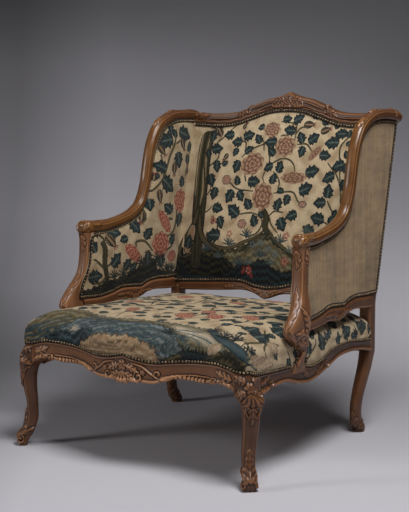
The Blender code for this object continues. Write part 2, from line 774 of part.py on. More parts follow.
def wing_rail_ring(side, place, swell):
    """Section of the wing rail: a rounded moulding with a tongue for the cloth."""
    middle, along = wing_along(place)
    outward = Vector((0, -along.z, along.y)).normalized()
    half, thick = WING_RAIL_HALF * swell, WING_RAIL_HALF_THICKNESS * swell
    inner = -WING_RAIL_HALF
    outer_root, inner_root = WING_SECTION_ROOT_SHARES
    outline = [(inner - TONGUE, TONGUE_OUT), (inner, TONGUE_OUT), (inner, thick * outer_root)]
    outline += [(half * u, thick * v) for u, v in WING_SECTION_SHARES]
    outline.append((half * WING_SECTION_NOSE_SHARE, 0.0))
    outline += [(half * u, -thick * v) for u, v in reversed(WING_SECTION_SHARES)]
    outline += [(inner, -thick * inner_root), (inner, -TONGUE_IN),
                (inner - TONGUE, -TONGUE_IN)]
    return [Vector(((middle.x + v) * side, middle.y + outward.y * u,
                    middle.z + outward.z * u)) for u, v in outline]


def wing_stretch(name, side, places, knuckle=False):
    """One stretch of the arm and wing rail, through its stations."""
    rings = []
    for place in places:
        size = 1.0
        if knuckle:
            run = (place - places[0]) * (POST_Y - ARM_FRONT_Y) / KNUCKLE_LENGTH
            size += KNUCKLE_SWELL * math.cos(min(1.0, run) * math.pi / 2) ** 2
        rings.append(wing_rail_ring(side, place, size))
    return loft(name, rings, WALNUT)


def wing_stations(first, last):
    """Places of the wing rail's stations from the first to the last."""
    return [index / WING_STATIONS for index in range(first, last + 1)]


def end_dowel(first, second, side, place):
    """A square dowel that joins two stretches of the wing rail end to end."""
    middle, along = wing_along(place)
    outward = Vector((0, -along.z, along.y)).normalized()
    for grow, piece, operation in ((0.0, first, "UNION"), (JOINT_GAP, second, "DIFFERENCE")):
        half = DOWEL_SIZE / 2 + grow
        rings = []
        for reach in (-DOWEL_LENGTH, DOWEL_LENGTH + grow):
            rings.append([])
            for u, v in ((-half, -half), (half, -half), (half, half), (-half, half)):
                point = middle + along * reach + outward * u
                rings[-1].append(Vector(((point.x + v) * side, point.y, point.z)))
        label = piece.name + ("_dowel" if operation == "UNION" else "_socket")
        combine(piece, as_guide(loft(label, rings, BEECH)), operation)


def lower_wing_stations():
    """Places in depth of the wing's lower rail's stations."""
    return steps(ARM_FRONT_Y - SUPPORT_SWEEP / 3, POST_Y, LOWER_WING_STEPS)


def lower_wing_rail(label, side):
    """Shaped lower rail of the wing, from the arm support to the post."""
    rings = []
    for y in lower_wing_stations():
        x, low, nail = lower_wing(y)
        outer = TONGUE_OUT + LOWER_RAIL_PROUD
        inner = outer - LOWER_RAIL_THICKNESS
        top = nail + TONGUE
        outline = ((outer, low + BEAD), (outer, nail - BEAD), (TONGUE_OUT, nail),
                   (TONGUE_OUT, top), (-TONGUE_IN, top), (-TONGUE_IN, nail),
                   (inner, nail - COVE), (inner, low + BEAD), (inner + BEAD, low),
                   (outer - BEAD, low))
        rings.append([Vector(((x + v) * side, y, z)) for v, z in outline])
    return loft(label + "_wing_lower_rail", rings, WALNUT)


def back_section(x, low, high, nail, thickness, tongue_up):
    """Section of a back rail on the rake, with its tongue towards the cloth."""
    half = thickness / 2
    front = -POST_DEPTH / 2
    proud = front - COVE
    back = proud + 2 * half
    tongue = (front, front + TONGUE)
    if tongue_up:
        tip = nail + TONGUE
        outline = ((proud, low + BEAD), (proud + BEAD, low), (back - BEAD, low),
                   (back, low + BEAD), (back, nail), (tongue[1], nail), (tongue[1], tip),
                   (tongue[0], tip), (tongue[0], nail), (proud, nail - COVE))
    else:
        tip = nail - TONGUE
        outline = ((proud, nail + COVE), (tongue[0], nail), (tongue[0], tip),
                   (tongue[1], tip), (tongue[1], nail), (back, nail), (back, high - BEAD),
                   (back - BEAD, high), (proud + BEAD, high), (proud, high - BEAD))
    return [Vector((x, post_y(z) + y, z)) for y, z in outline]


def back_stations(end):
    """Places across a back rail, from one end to the other."""
    right = [share * POST_INNER_X for share in BACK_STATION_SHARES]
    if end > right[-1]:
        right.append(end)
    else:
        right[-1] = end
    return [-x for x in right[:0:-1]] + right


def lower_back_rail():
    """Shaped rail below the back panel."""
    rings = []
    for x in back_stations(POST_INNER_X - JOINT_GAP):
        low, nail = lower_back(x)
        rings.append(back_section(x, low, 0.0, nail, BACK_RAIL_THICKNESS, True))
    return loft("lower_back_rail", rings, WALNUT)


def crest_rail():
    """Crest rail, arched to its carved middle, between the wings' top rails."""
    rings = []
    for x in back_stations(WING_X - WING_RAIL_HALF_THICKNESS - JOINT_GAP):
        nail, top = crest(x)
        rings.append(back_section(x, 0.0, top, nail, CREST_THICKNESS, False))
    return loft("crest_rail", rings, WALNUT)


def corner_block(label, side, front, spaces):
    """Glue block in an inner corner of the seat frame, fitted to its neighbours."""
    if front:
        corner = Vector((HALF_WIDTH - SIDE_RAIL_THICKNESS / 2, LEG_BLOCK_REAR_Y - COVE))
        corner.y -= RAIL_THICKNESS
        step = 1
    else:
        corner = Vector((POST_OUTER_X - POST_WIDTH / 4, POST_Y))
        step = -1
    high = deck(corner.y + BLOCK_LEG * step) - BLOCK_DROP
    plan = (corner, corner + Vector((-BLOCK_LEG, 0)), corner + Vector((0, BLOCK_LEG * step)))
    rings = [[Vector((point.x * side, point.y, z)) for point in plan]
             for z in (high - BLOCK_HEIGHT, high)]
    place = "front" if front else "rear"
    block = loft(place + "_" + label + "_corner_block", rings, BEECH)
    for space in spaces:
        combine(block, space, "DIFFERENCE")


def seat_outline():
    """Right half of the seat's plan, from the front middle to the rear middle.

    Each entry has its point, the direction in which its edge looks, made longer at
    corners so that an offset edge stays parallel, and the height of the cover's edge.
    """
    entries = []
    for x in front_stations():
        y, nail, _ = front_face(x)
        outward = front_normal(x) if 0 < x < LEG_BLOCK_INNER_X else Vector((0, -1))
        entries.append((Vector((x, y)), outward, nail))
    nail = front_face(LEG_CORNER_X)[1]
    start_nail, end_nail = entries[-1][2], side_face(LEG_BLOCK_REAR_Y)[1]
    for index in range(1, CORNER_STEPS):
        turn = math.pi / 2 * index / CORNER_STEPS
        over = math.sin(turn) ** (2 / KNEE_POWER)
        ahead = math.cos(turn) ** (2 / KNEE_POWER)
        point = Vector((LEG_BLOCK_INNER_X + LEG_BLOCK_WIDTH * over,
                        LEG_BLOCK_REAR_Y - LEG_BLOCK_DEPTH * ahead))
        slope = Vector((over ** (KNEE_POWER - 1) / LEG_BLOCK_WIDTH,
                        -ahead ** (KNEE_POWER - 1) / LEG_BLOCK_DEPTH))
        share = math.sin(2 * turn)
        level = lerp(lerp(start_nail, end_nail, index / CORNER_STEPS), nail, share)
        entries.append((point, slope.normalized(), level))
    places = side_stations()
    for y in places:
        x, nail, _ = side_face(y)
        outward = side_normal(y) if places[0] < y < places[-1] else Vector((1, 0))
        entries.append((Vector((x, y)), outward, nail))
    end = places[-1]
    above = deck(end) + WEBBING + BASE_CLOTH + COVE
    inner = POST_INNER_X - SEAT_BULGE - COVE
    rear = POST_Y + REAR_COVER_OVERHANG
    last = entries.pop()
    entries.append((last[0], Vector((1, 1)), last[2]))
    entries.append((Vector((last[0].x - JOINT_GAP / 2, end)), Vector((1, 1)), above))
    entries.append((Vector((inner, end)), Vector((1, 1)), above))
    entries.append((Vector((inner, POST_Y)), Vector((1, 0)), above))
    entries.append((Vector((inner, rear)), Vector((1, 1)), above))
    for x in steps(inner - BASE_CLOTH_INSET - BEAD, 0, REAR_STEPS):
        entries.append((Vector((x, rear)), Vector((0, 1)), REAR_NAIL_HEIGHT))
    return entries


def seat_ring(offset, share, heights):
    """A ring round the seat's plan, moved out by an offset and drawn to the middle."""
    right = []
    for (point, outward, _), z in zip(seat_outline(), heights):
        place = (point + outward * offset) * share
        right.append(Vector((place.x, place.y, z)))
    left = [Vector((-point.x, point.y, point.z)) for point in right[-2:0:-1]]
    return right + left


def seat_plane(offset, rise):
    """A ring round the seat's plan that lies a little above the frame's top."""
    ring = seat_ring(offset, 1.0, [0.0] * len(seat_outline()))
    for point in ring:
        point.z = deck(point.y) + rise
    return ring


def seat_rings(depth):
    """Rings of the seat's cover from its nailed edge to the crown, sunk by a depth."""
    outline = seat_outline()
    flush = CLOTH + JOINT_GAP - REBATE - depth
    edge = [nail + 2 * JOINT_GAP for _, _, nail in outline]
    level = [deck(point.y) for point, _, _ in outline]
    lifted = [max(z, low + COVE) for z, low in zip(level, edge)]
    for index, (here, after) in enumerate(zip(outline, outline[1:])):
        if (after[0] - here[0]).length < JOINT_GAP:
            lifted[index] = lifted[index + 1]
    rings = [seat_ring(flush, 1.0, edge), seat_ring(flush, 1.0, lifted)]
    heights = [z + SEAT_CROWN * SEAT_RING_SHARES[0][1] / 2 for z in level]
    heights = [max(z, low + COVE) for z, low in zip(heights, lifted)]
    rings.append(seat_ring(SEAT_BULGE - depth, 1.0, heights))
    for share, rise in SEAT_RING_SHARES:
        sunk = depth * (rise if share > SEAT_RING_SHARES[1][0] else 1.0)
        heights = [deck(point.y * share) + SEAT_CROWN * rise - sunk
                   for point, _, _ in outline]
        rings.append(seat_ring(SEAT_BULGE - depth, share, heights))
    return rings


def close_rings(name, outer, inner, finish):
    """Join two sets of rings with a pole at their middle into one shell or pad."""
    bm = bmesh.new()
    edges = []
    for rings in (outer, inner):
        rows = [[bm.verts.new(point) for point in ring] for ring in rings]
        count = len(rows[0])
        for low, high in zip(rows, rows[1:]):
            for index in range(count):
                after = (index + 1) % count
                bm.faces.new((low[index], low[after], high[after], high[index]))
        bm.faces.new(rows[-1])
        edges.append(rows[0])
    count = len(edges[0])
    for index in range(count):
        after = (index + 1) % count
        bm.faces.new((edges[0][index], edges[0][after], edges[1][after], edges[1][index]))
    return add_object(name, bm, finish)


def seat_cover():
    """Needlework over the seat, nailed to the rails' rebates."""
    return close_rings("seat_cover", seat_rings(0.0), seat_rings(CLOTH), NEEDLEWORK)


def seat_stuffing():
    """Stuffing under the cover, on the base cloth."""
    depth = CLOTH + 2 * JOINT_GAP
    base = WEBBING + BASE_CLOTH + 3 * JOINT_GAP
    rings = [seat_plane(-REBATE - depth, base)] + seat_rings(depth)[1:]
    for point in rings[1]:
        point.z = max(point.z, deck(point.y) + base + JOINT_GAP)
    return loft("seat_stuffing", rings, HORSEHAIR)


def seat_base_cloth():
    """Hessian over the webbing, nailed on the rails' top."""
    low = WEBBING + 2 * JOINT_GAP
    rings = [seat_plane(-BASE_CLOTH_INSET, rise) for rise in (low, low + BASE_CLOTH)]
    return loft("seat_base_cloth", rings, JUTE)


def strap_edges(half, count):
    """Both edges of each of a number of even straps across a width."""
    pitch = (2 * half - WEB_WIDTH) / (count - 1)
    edges = []
    for index in range(count):
        start = -half + pitch * index
        edges += [start, start + WEB_WIDTH]
    return edges


def seat_webbing():
    """Interlaced straps across the seat frame, stitched where they cross."""
    reach_x = HALF_WIDTH - SIDE_RAIL_THICKNESS / 2 - WEB_BEARING / 2
    half_x = reach_x - WEB_WIDTH
    across = [-reach_x] + strap_edges(half_x, FRONT_STRAPS) + [reach_x]
    half_y = SEAT_DEPTH / 2 - WEB_WIDTH - RAIL_THICKNESS
    rear = POST_Y - COVE
    along = [None] + strap_edges(half_y, SIDE_STRAPS) + [rear]
    bm = bmesh.new()
    grid = {}
    for i, x in enumerate(across):
        for j, y in enumerate(along):
            at = front_face(x)[0] + WEB_BEARING if y is None else y
            z = deck(at) + JOINT_GAP
            grid[i, j] = (bm.verts.new((x, at, z)), bm.verts.new((x, at, z + WEBBING)))
    filled = set()
    for i in range(len(across) - 1):
        for j in range(len(along) - 1):
            inside_x = 0 < i < len(across) - 2
            inside_y = 0 < j < len(along) - 2
            lengthwise = inside_x and i % 2 == 1
            crosswise = inside_y and j % 2 == 1
            if lengthwise or crosswise:
                filled.add((i, j))
    for i, j in filled:
        for level in (0, 1):
            bm.faces.new([grid[key][level] for key in
                          ((i, j), (i + 1, j), (i + 1, j + 1), (i, j + 1))])
        walls = (((i, j), (i + 1, j), (i, j - 1)), ((i, j + 1), (i + 1, j + 1), (i, j + 1)),
                 ((i, j), (i, j + 1), (i - 1, j)),
                 ((i + 1, j), (i + 1, j + 1), (i + 1, j)))
        for first, second, beside in walls:
            if beside not in filled:
                bm.faces.new((grid[first][0], grid[second][0],
                              grid[second][1], grid[first][1]))
    loose = [vert for vert in bm.verts if not vert.link_faces]
    bmesh.ops.delete(bm, geom=loose, context="VERTS")
    return add_object("seat_webbing", bm, JUTE)


def swell(u, v):
    """How full a pad is at a share of its width and height, from 0 to 1."""
    return (1 - (2 * u - 1) ** PAD_POWER) * (1 - (2 * v - 1) ** PAD_POWER)


def back_grid(depth, padded, end, rows, inset=0.0):
    """Points over the back's cloth, in front of the rails' tongues by a depth."""
    places = back_stations(end)
    grid = []
    for x in places:
        u = (x - places[0]) / (places[-1] - places[0])
        low = lower_back(x)[1] + JOINT_GAP + inset
        high = crest(x)[0] - JOINT_GAP - inset
        column = []
        for v in rows:
            z = lerp(low, high, v)
            y = post_y(z) - POST_DEPTH / 2 - depth - padded * swell(u, v)
            column.append(Vector((x, y, z)))
        grid.append(column)
    return grid


def back_panels():
    """Inside cover, stuffing, base cloth and outside cover of the back."""
    wide = POST_INNER_X + POST_WIDTH / 4
    inner = POST_INNER_X - JOINT_GAP
    rows, flat = PADDED_ROW_SHARES, FLAT_ROW_SHARES
    panel("back_cover", back_grid(JOINT_GAP + CLOTH, BACK_PADDING, wide, rows),
          back_grid(JOINT_GAP, BACK_PADDING, wide, rows), NEEDLEWORK)
    inset = TONGUE + JOINT_GAP
    pad_face = -2 * JOINT_GAP
    panel("back_stuffing", back_grid(pad_face, BACK_PADDING, inner, rows, inset),
          back_grid(-PANEL_BACKING, 0.0, inner, rows, inset), HORSEHAIR)
    base = -PANEL_BACKING - BACKING_GAP
    panel("back_base_cloth", back_grid(base, 0.0, inner, flat, inset),
          back_grid(base - BASE_CLOTH, 0.0, inner, flat, inset), JUTE)
    rear = -TONGUE - JOINT_GAP
    panel("back_outside_cover", back_grid(rear, 0.0, inner, flat),
          back_grid(rear - LINEN, 0.0, inner, flat), PLAIN_LINEN)


def support_back(z):
    """How far back the arm support's rear face lies at a height."""
    share = (z - SUPPORT_FOOT_HEIGHT) / (SUPPORT_TOP_HEIGHT - SUPPORT_FOOT_HEIGHT)
    return max(point.y for point in support_ring(1, share, 0.0))


def trimmed(line, inside):
    """The part of a line of points for which a test holds, cut where it changes."""
    kept = []
    for start, end in zip(line, line[1:]):
        at_start, at_end = inside(start), inside(end)
        if at_start and not kept:
            kept.append(start)
        if at_start != at_end:
            low, high = 0.0, 1.0
            for _ in range(BISECTIONS):
                half = (low + high) / 2
                if inside(lerp(start, end, half)) == at_start:
                    low = half
                else:
                    high = half
            kept.append(lerp(start, end, low if at_start else high))
        if at_end:
            kept.append(end)
    first, last = kept[0], kept[-1]
    between = [point for point in kept[1:-1]
               if min((point - first).length, (point - last).length) > WEB_BEARING]
    return [first] + between + [last]


def wing_outline(over_post):
    """Outline of a wing's cloth between its rails, the support and the post.

    It runs back along the lower rail, up the post, forward under the wing's rail and
    down the arm support. It reaches over the post's front by the given amount.
    """
    def inside(point):
        """Whether a point lies between the support and the post."""
        rear = post_y(point.z) - POST_DEPTH / 2 + over_post
        return support_back(point.z) + JOINT_GAP < point.y < rear

    lower = []
    for y in lower_wing_stations():
        x, _, nail = lower_wing(y)
        lower.append(Vector((x, y, nail + JOINT_GAP)))
    upper = []
    for place in wing_stations(0, WING_STATIONS):
        middle, along = wing_along(place)
        outward = Vector((0, -along.z, along.y)).normalized()
        upper.append(middle - outward * (WING_RAIL_HALF + JOINT_GAP))
    lower, upper = trimmed(lower, inside), trimmed(upper, inside)[::-1]
    rear = steps(lower[-1], upper[0], REAR_EDGE_STEPS)[1:-1]
    front = []
    for share in steps(1, 0, SUPPORT_STEPS):
        z = lerp(SUPPORT_FOOT_HEIGHT, SUPPORT_TOP_HEIGHT, share)
        if lower[0].z + WEB_BEARING < z < upper[-1].z - WEB_BEARING:
            along = (z - lower[0].z) / (upper[-1].z - lower[0].z)
            x = lerp(lower[0].x, upper[-1].x, along)
            front.append(Vector((x, support_back(z) + JOINT_GAP, z)))
    return lower + rear + upper + front


def inset_outline(outline, inset):
    """An outline in the wing's plane, drawn in by an even amount."""
    count = len(outline)
    moved = []
    for index, point in enumerate(outline):
        before = point - outline[index - 1]
        after = outline[(index + 1) % count] - point
        before = Vector((0, -before.z, before.y)).normalized()
        after = Vector((0, -after.z, after.y)).normalized()
        moved.append(point + (before + after) * inset / (1 + before.dot(after)))
    return moved


def wing_plane(y, z):
    """The x of the wing's middle plane, which splays a little towards the front."""
    x_low, _, nail = lower_wing(y)
    edge = TONGUE + 3 * JOINT_GAP
    low, high = nail + edge, ARM_HEIGHT - WING_RAIL_HALF - edge
    rise = min(1.0, max(0.0, (z - low) / (high - low)))
    return lerp(x_low, arm_plane(y), rise)


def wing_rings(outline, side, depth, padded, edges, shares=()):
    """Rings of a wing's cloth or pad; depth counts outwards from the rails' middle."""
    deep, high = PAD_MIDDLE_SHARES
    middle = Vector((0, lerp(ARM_FRONT_Y, POST_Y, deep),
                     lerp(LOWER_RAIL_HEIGHT, WING_HEIGHT, high)))
    rings = [inset_outline(outline, inset) for inset in edges]
    flat = [depth] * len(rings)
    inner = rings[-1]
    for share in shares:
        rings.append([lerp(middle, point, share) for point in inner])
        flat.append(depth - padded * (1 - share ** PAD_POWER))
    return [[Vector(((wing_plane(point.y, point.z) + out) * side, point.y, point.z))
             for point in ring] for ring, out in zip(rings, flat)]


def wing_panels(label, side):
    """Inside cover, stuffing, base cloth and outside cover of one wing."""
    outline = wing_outline(-CLOTH - 2 * JOINT_GAP)
    face = -TONGUE_IN - JOINT_GAP
    past = TONGUE + 2 * JOINT_GAP

    def sheet(name, face_side, back_side, edges, finish, cut=outline):
        """One layer of the wing between two depths."""
        shells = [wing_rings(cut, side, depth, pad, edges, shares)
                  for depth, pad, shares in (face_side, back_side)]
        return close_rings(label + name, shells[0], shells[1], finish)

    full, coarse = PAD_RING_SHARES, BACKING_RING_SHARES
    sheet("_wing_cover", (face - CLOTH, WING_PADDING, full), (face, WING_PADDING, full),
          (0.0, past), NEEDLEWORK)
    pad_back = face + PANEL_BACKING
    sheet("_wing_stuffing", (face + JOINT_GAP, WING_PADDING, full),
          (pad_back, 0.0, coarse), (past + COVE,), HORSEHAIR)
    cloth = pad_back + BACKING_GAP
    sheet("_wing_base_cloth", (cloth, 0.0, coarse), (cloth + BASE_CLOTH, 0.0, coarse),
          (past,), JUTE)
    outside = TONGUE_OUT + JOINT_GAP
    sheet("_wing_outside_cover", (outside + LINEN, 0.0, coarse), (outside, 0.0, coarse),
          (0.0, past), PLAIN_LINEN, wing_outline(POST_DEPTH * LINEN_OVER_POST_SHARE))


def frame_joint_heights():
    """Heights between which the seat rails' tenons lie."""
    low = REAR_RAIL_LOW + TENON_SHOULDER * TENON_LOW_SHARE
    return low, DECK_REAR_HEIGHT - TENON_SHOULDER


def build_side(label, side, front, rear, lower_back_piece, crest_piece):
    """All the pieces of one side, fitted to the rails that both sides share."""
    leg = front_leg(label, side)
    post = rear_post(label, side)
    post_space = as_guide(loft(label + "_post_space", post_rings(side, JOINT_GAP), WALNUT))
    rail = side_rail(label, side)
    support = arm_support(label, side)
    support_space = as_guide(arm_support(label, side, JOINT_GAP))
    combine(rail, support_space, "DIFFERENCE")
    low, high = frame_joint_heights()

    def across(x_from, x_to, y, z_low, z_high):
        """Corners of a tenon that runs from side to side."""
        ends = sorted((x_from * side, x_to * side))
        half = TENON_THICKNESS / 2
        return (ends[0], y - half, z_low), (ends[1], y + half, z_high)

    def lengthwise(x, y_from, y_to, z_low, z_high):
        """Corners of a tenon that runs from front to rear."""
        half = TENON_THICKNESS / 2
        return (x * side - half, y_from, z_low), (x * side + half, y_to, z_high)

    front_y = front_face(LEG_BLOCK_INNER_X)[0] + RAIL_THICKNESS * FRONT_TENON_SHARE
    leg_low, leg_high = low + TENON_SHOULDER, high + TENON_SHOULDER
    pegged(front, leg, *across(LEG_BLOCK_INNER_X - TENON_SHOULDER,
                               LEG_BLOCK_INNER_X + TENON_LENGTH, front_y, leg_low, leg_high))
    rail_x = HALF_WIDTH - SIDE_RAIL_THICKNESS * SIDE_TENON_SHARE
    pegged(rail, leg, *lengthwise(rail_x, LEG_BLOCK_REAR_Y - TENON_LENGTH,
                                  LEG_BLOCK_REAR_Y + TENON_SHOULDER, leg_low, leg_high))
    pegged(rail, post, *lengthwise(rail_x, POST_FRONT_Y - TENON_SHOULDER,
                                   POST_FRONT_Y + TENON_LENGTH * POST_TENON_SHARE,
                                   low, high))
    rear_y = POST_Y + TENON_SHOULDER * REAR_TENON_SHARE
    pegged(rear, post, *across(POST_INNER_X - TENON_SHOULDER,
                               POST_INNER_X + TENON_LENGTH * POST_TENON_SHARE,
                               rear_y, low, high))
    back_low, back_nail = lower_back(POST_INNER_X)
    back_y = post_y(back_nail)
    pegged(lower_back_piece, post,
           *across(POST_INNER_X - TENON_SHOULDER, POST_INNER_X + TENON_LENGTH,
                   back_y - TENON_SHOULDER, back_low + BEAD, back_nail - COVE))
    half = TENON_LENGTH / 2
    level = (leg_low + leg_high) / 2
    peg("front_" + label + "_leg_front_peg",
        ((LEG_BLOCK_INNER_X + half) * side, LEG_BLOCK_FRONT_Y - COVE, level),
        (0, 1, 0), (leg, front))
    peg("front_" + label + "_leg_side_peg",
        ((LEG_BLOCK_INNER_X + LEG_BLOCK_WIDTH) * side, LEG_BLOCK_REAR_Y - half, level),
        (-side, 0, 0), (leg, rail))
    level = (low + high) / 2
    into = TENON_LENGTH * POST_TENON_SHARE / 2
    peg("rear_" + label + "_post_side_peg",
        (POST_OUTER_X * side, POST_FRONT_Y + into, level), (-side, 0, 0), (post, rail))
    peg("rear_" + label + "_post_rear_peg",
        ((POST_INNER_X + into) * side, POST_Y + POST_DEPTH / 2, level), (0, -1, 0),
        (post, rear))
    level = (back_low + back_nail) / 2
    peg("rear_" + label + "_post_upper_peg",
        ((POST_INNER_X + half) * side, post_y(level) - POST_DEPTH / 2, level), (0, 1, 0),
        (post, lower_back_piece))
    lower = lower_wing_rail(label, side)
    combine(lower, post_space, "DIFFERENCE")
    combine(lower, support_space, "DIFFERENCE")
    arm = wing_stretch(label + "_arm_rail", side, wing_stations(0, ARM_END_STATION), True)
    step = JOINT_GAP / ARM_LENGTH
    places = wing_stations(ARM_END_STATION, WING_END_STATION)
    places[0] += step
    wing = wing_stretch(label + "_wing_front_rail", side, places)
    places = wing_stations(WING_END_STATION, WING_STATIONS)
    places[0] += step
    top = wing_stretch(label + "_wing_top_rail", side, places)
    combine(arm, support_space, "DIFFERENCE")
    combine(top, post_space, "DIFFERENCE")
    combine(crest_piece, post_space, "DIFFERENCE")
    end_dowel(arm, wing, side, ARM_END_STATION / WING_STATIONS)
    end_dowel(wing, top, side, WING_END_STATION / WING_STATIONS)
    leg_space = as_guide(front_leg(label, side, JOINT_GAP))
    rail_space = as_guide(side_rail(label, side, JOINT_GAP))
    front_space = bpy.data.objects["front_seat_rail_space"]
    rear_space = bpy.data.objects["rear_seat_rail_space"]
    corner_block(label, side, True, (leg_space, rail_space, front_space))
    corner_block(label, side, False, (post_space, rail_space, rear_space))


def build():
    """Make every piece of the chair."""
    front, rear = front_rail(), rear_rail()
    lower_back_piece, crest_piece = lower_back_rail(), crest_rail()
    seat_webbing()
    base_cloth, stuffing, cover = seat_base_cloth(), seat_stuffing(), seat_cover()
    as_guide(front_rail(JOINT_GAP))
    as_guide(rear_rail(JOINT_GAP))
    back_panels()
    for label, side in ROOT_SIDES:
        build_side(label, side, front, rear, lower_back_piece, crest_piece)
        space = bpy.data.objects[label + "_arm_support_space"]
        for piece in (base_cloth, stuffing, cover):
            combine(piece, space, "DIFFERENCE")
        wing_panels(label, side)


def clear_scene():
    """Remove what the scene holds before the chair is built."""
    for item in list(bpy.data.objects):
        bpy.data.objects.remove(item, do_unlink=True)


def centre_over_origin():
    """Shift the chair in depth until its pieces are centred over the origin."""
    bpy.context.view_layer.update()
    depths = [corner[1] for piece in bpy.data.objects
              if piece.type == "MESH" and not piece.hide_render
              for corner in piece.bound_box]
    ROOT.location.y = -(min(depths) + max(depths)) / 2


clear_scene()
ROOT = bpy.data.objects.new("armchair", None)
bpy.context.collection.objects.link(ROOT)
build()
centre_over_origin()
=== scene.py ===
"""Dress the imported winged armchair: carved and waxed walnut, needlework covers over
stuffing, ribbed linen outside, brass nails on braid, hessian and webbing below.

Lengths are metres. The chair faces -Y and x = 0 is its plane of symmetry. The plan
repeats the frame's driving sizes, so that each piece lies where its solid lies.
"""

import logging
import math
from dataclasses import dataclass, field
from enum import Enum
from functools import partial
from typing import Callable, Iterable, Mapping, Sequence, Union

import bpy
import numpy as np
from mathutils import Matrix, Vector


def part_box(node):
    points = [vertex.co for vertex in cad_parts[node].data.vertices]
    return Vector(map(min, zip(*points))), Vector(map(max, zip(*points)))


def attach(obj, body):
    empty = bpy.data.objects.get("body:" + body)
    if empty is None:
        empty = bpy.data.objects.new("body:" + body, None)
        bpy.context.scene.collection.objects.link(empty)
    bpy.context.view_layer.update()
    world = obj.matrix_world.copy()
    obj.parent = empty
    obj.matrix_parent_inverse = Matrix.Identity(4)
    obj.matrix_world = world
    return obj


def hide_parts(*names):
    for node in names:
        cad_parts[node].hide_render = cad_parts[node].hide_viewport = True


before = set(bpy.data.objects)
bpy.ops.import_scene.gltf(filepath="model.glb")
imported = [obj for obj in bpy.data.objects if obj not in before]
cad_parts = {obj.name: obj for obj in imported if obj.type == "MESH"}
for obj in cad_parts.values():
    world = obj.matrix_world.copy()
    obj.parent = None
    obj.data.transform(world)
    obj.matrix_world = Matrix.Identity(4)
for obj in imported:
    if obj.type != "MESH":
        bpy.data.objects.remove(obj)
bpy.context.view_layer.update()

Array = np.ndarray
Table = Sequence[Sequence[float]]
Colour = tuple[float, float, float]
Number = Union[float, Array]
MM = 1000
Settings = Mapping[str, object]
Inputs = Mapping[Union[int, str], object]
log = logging.getLogger("armchair")


class Side(Enum):
    """A side of the chair, as seen by someone who stands in front of it."""

    LEFT = -1
    RIGHT = 1

    @property
    def label(self) -> str:
        """The side's name, as the frame's nodes spell it."""
        return self.name.lower()


# Curves and grids


def smooth(table: Table, place: Number, column: int = 1) -> Array:
    """Read a smooth value from a table of rows that start with their place.

    Args:
        table: Rows in rising order of place.
        place: Where to read it, one number or many.
        column: Which column to read.

    Returns:
        The value at each place, held level past the table's ends.
    """
    rows = np.asarray(table, dtype=float)
    x, y = rows[:, 0], rows[:, column]
    at = np.arange(len(x))
    before, after = np.maximum(at - 1, 0), np.minimum(at + 1, len(x) - 1)
    slopes = (y[after] - y[before]) / (x[after] - x[before])
    place = np.clip(place, x[0], x[-1])
    index = np.clip(np.searchsorted(x, place) - 1, 0, len(x) - 2)
    span = x[index + 1] - x[index]
    t = (place - x[index]) / span
    square, cube = t * t, t * t * t
    return ((2 * cube - 3 * square + 1) * y[index]
            + (cube - 2 * square + t) * span * slopes[index]
            + (3 * square - 2 * cube) * y[index + 1]
            + (cube - square) * span * slopes[index + 1])


def lerp(start: Number, end: Number, share: Number) -> Number:
    """The value a share of the way from start to end."""
    return start + (end - start) * share


def ramp(value: Number, low: float, high: float) -> Array:
    """A smooth rise from 0 at low to 1 at high."""
    t = np.clip((value - low) / (high - low), 0.0, 1.0)
    return t * t * (3 - 2 * t)


def unit(vectors: Array) -> Array:
    """Vectors of length 1 along their last axis."""
    return vectors / np.maximum(np.linalg.norm(vectors, axis=-1, keepdims=True), 1e-12)


def run_lengths(points: Array) -> Array:
    """How far along a line of points each of them lies."""
    legs = np.linalg.norm(np.diff(points, axis=0), axis=-1)
    return np.concatenate(([0.0], np.cumsum(legs)))


def resample(points: Array, count: int) -> Array:
    """A line of points with even steps along its length.

    Args:
        points: The line, one row for each point.
        count: How many points the new line has.

    Returns:
        The new line's points.
    """
    along = run_lengths(points)
    places = np.linspace(0.0, along[-1], count)
    return np.stack([np.interp(places, along, points[:, axis])
                     for axis in range(points.shape[1])], axis=-1)


def border(grid: Array) -> Array:
    """A grid's border cells, once round in order."""
    return np.concatenate((grid[:-1, 0], grid[-1, :-1], grid[:0:-1, -1], grid[0, :0:-1]))


# The chair's plan


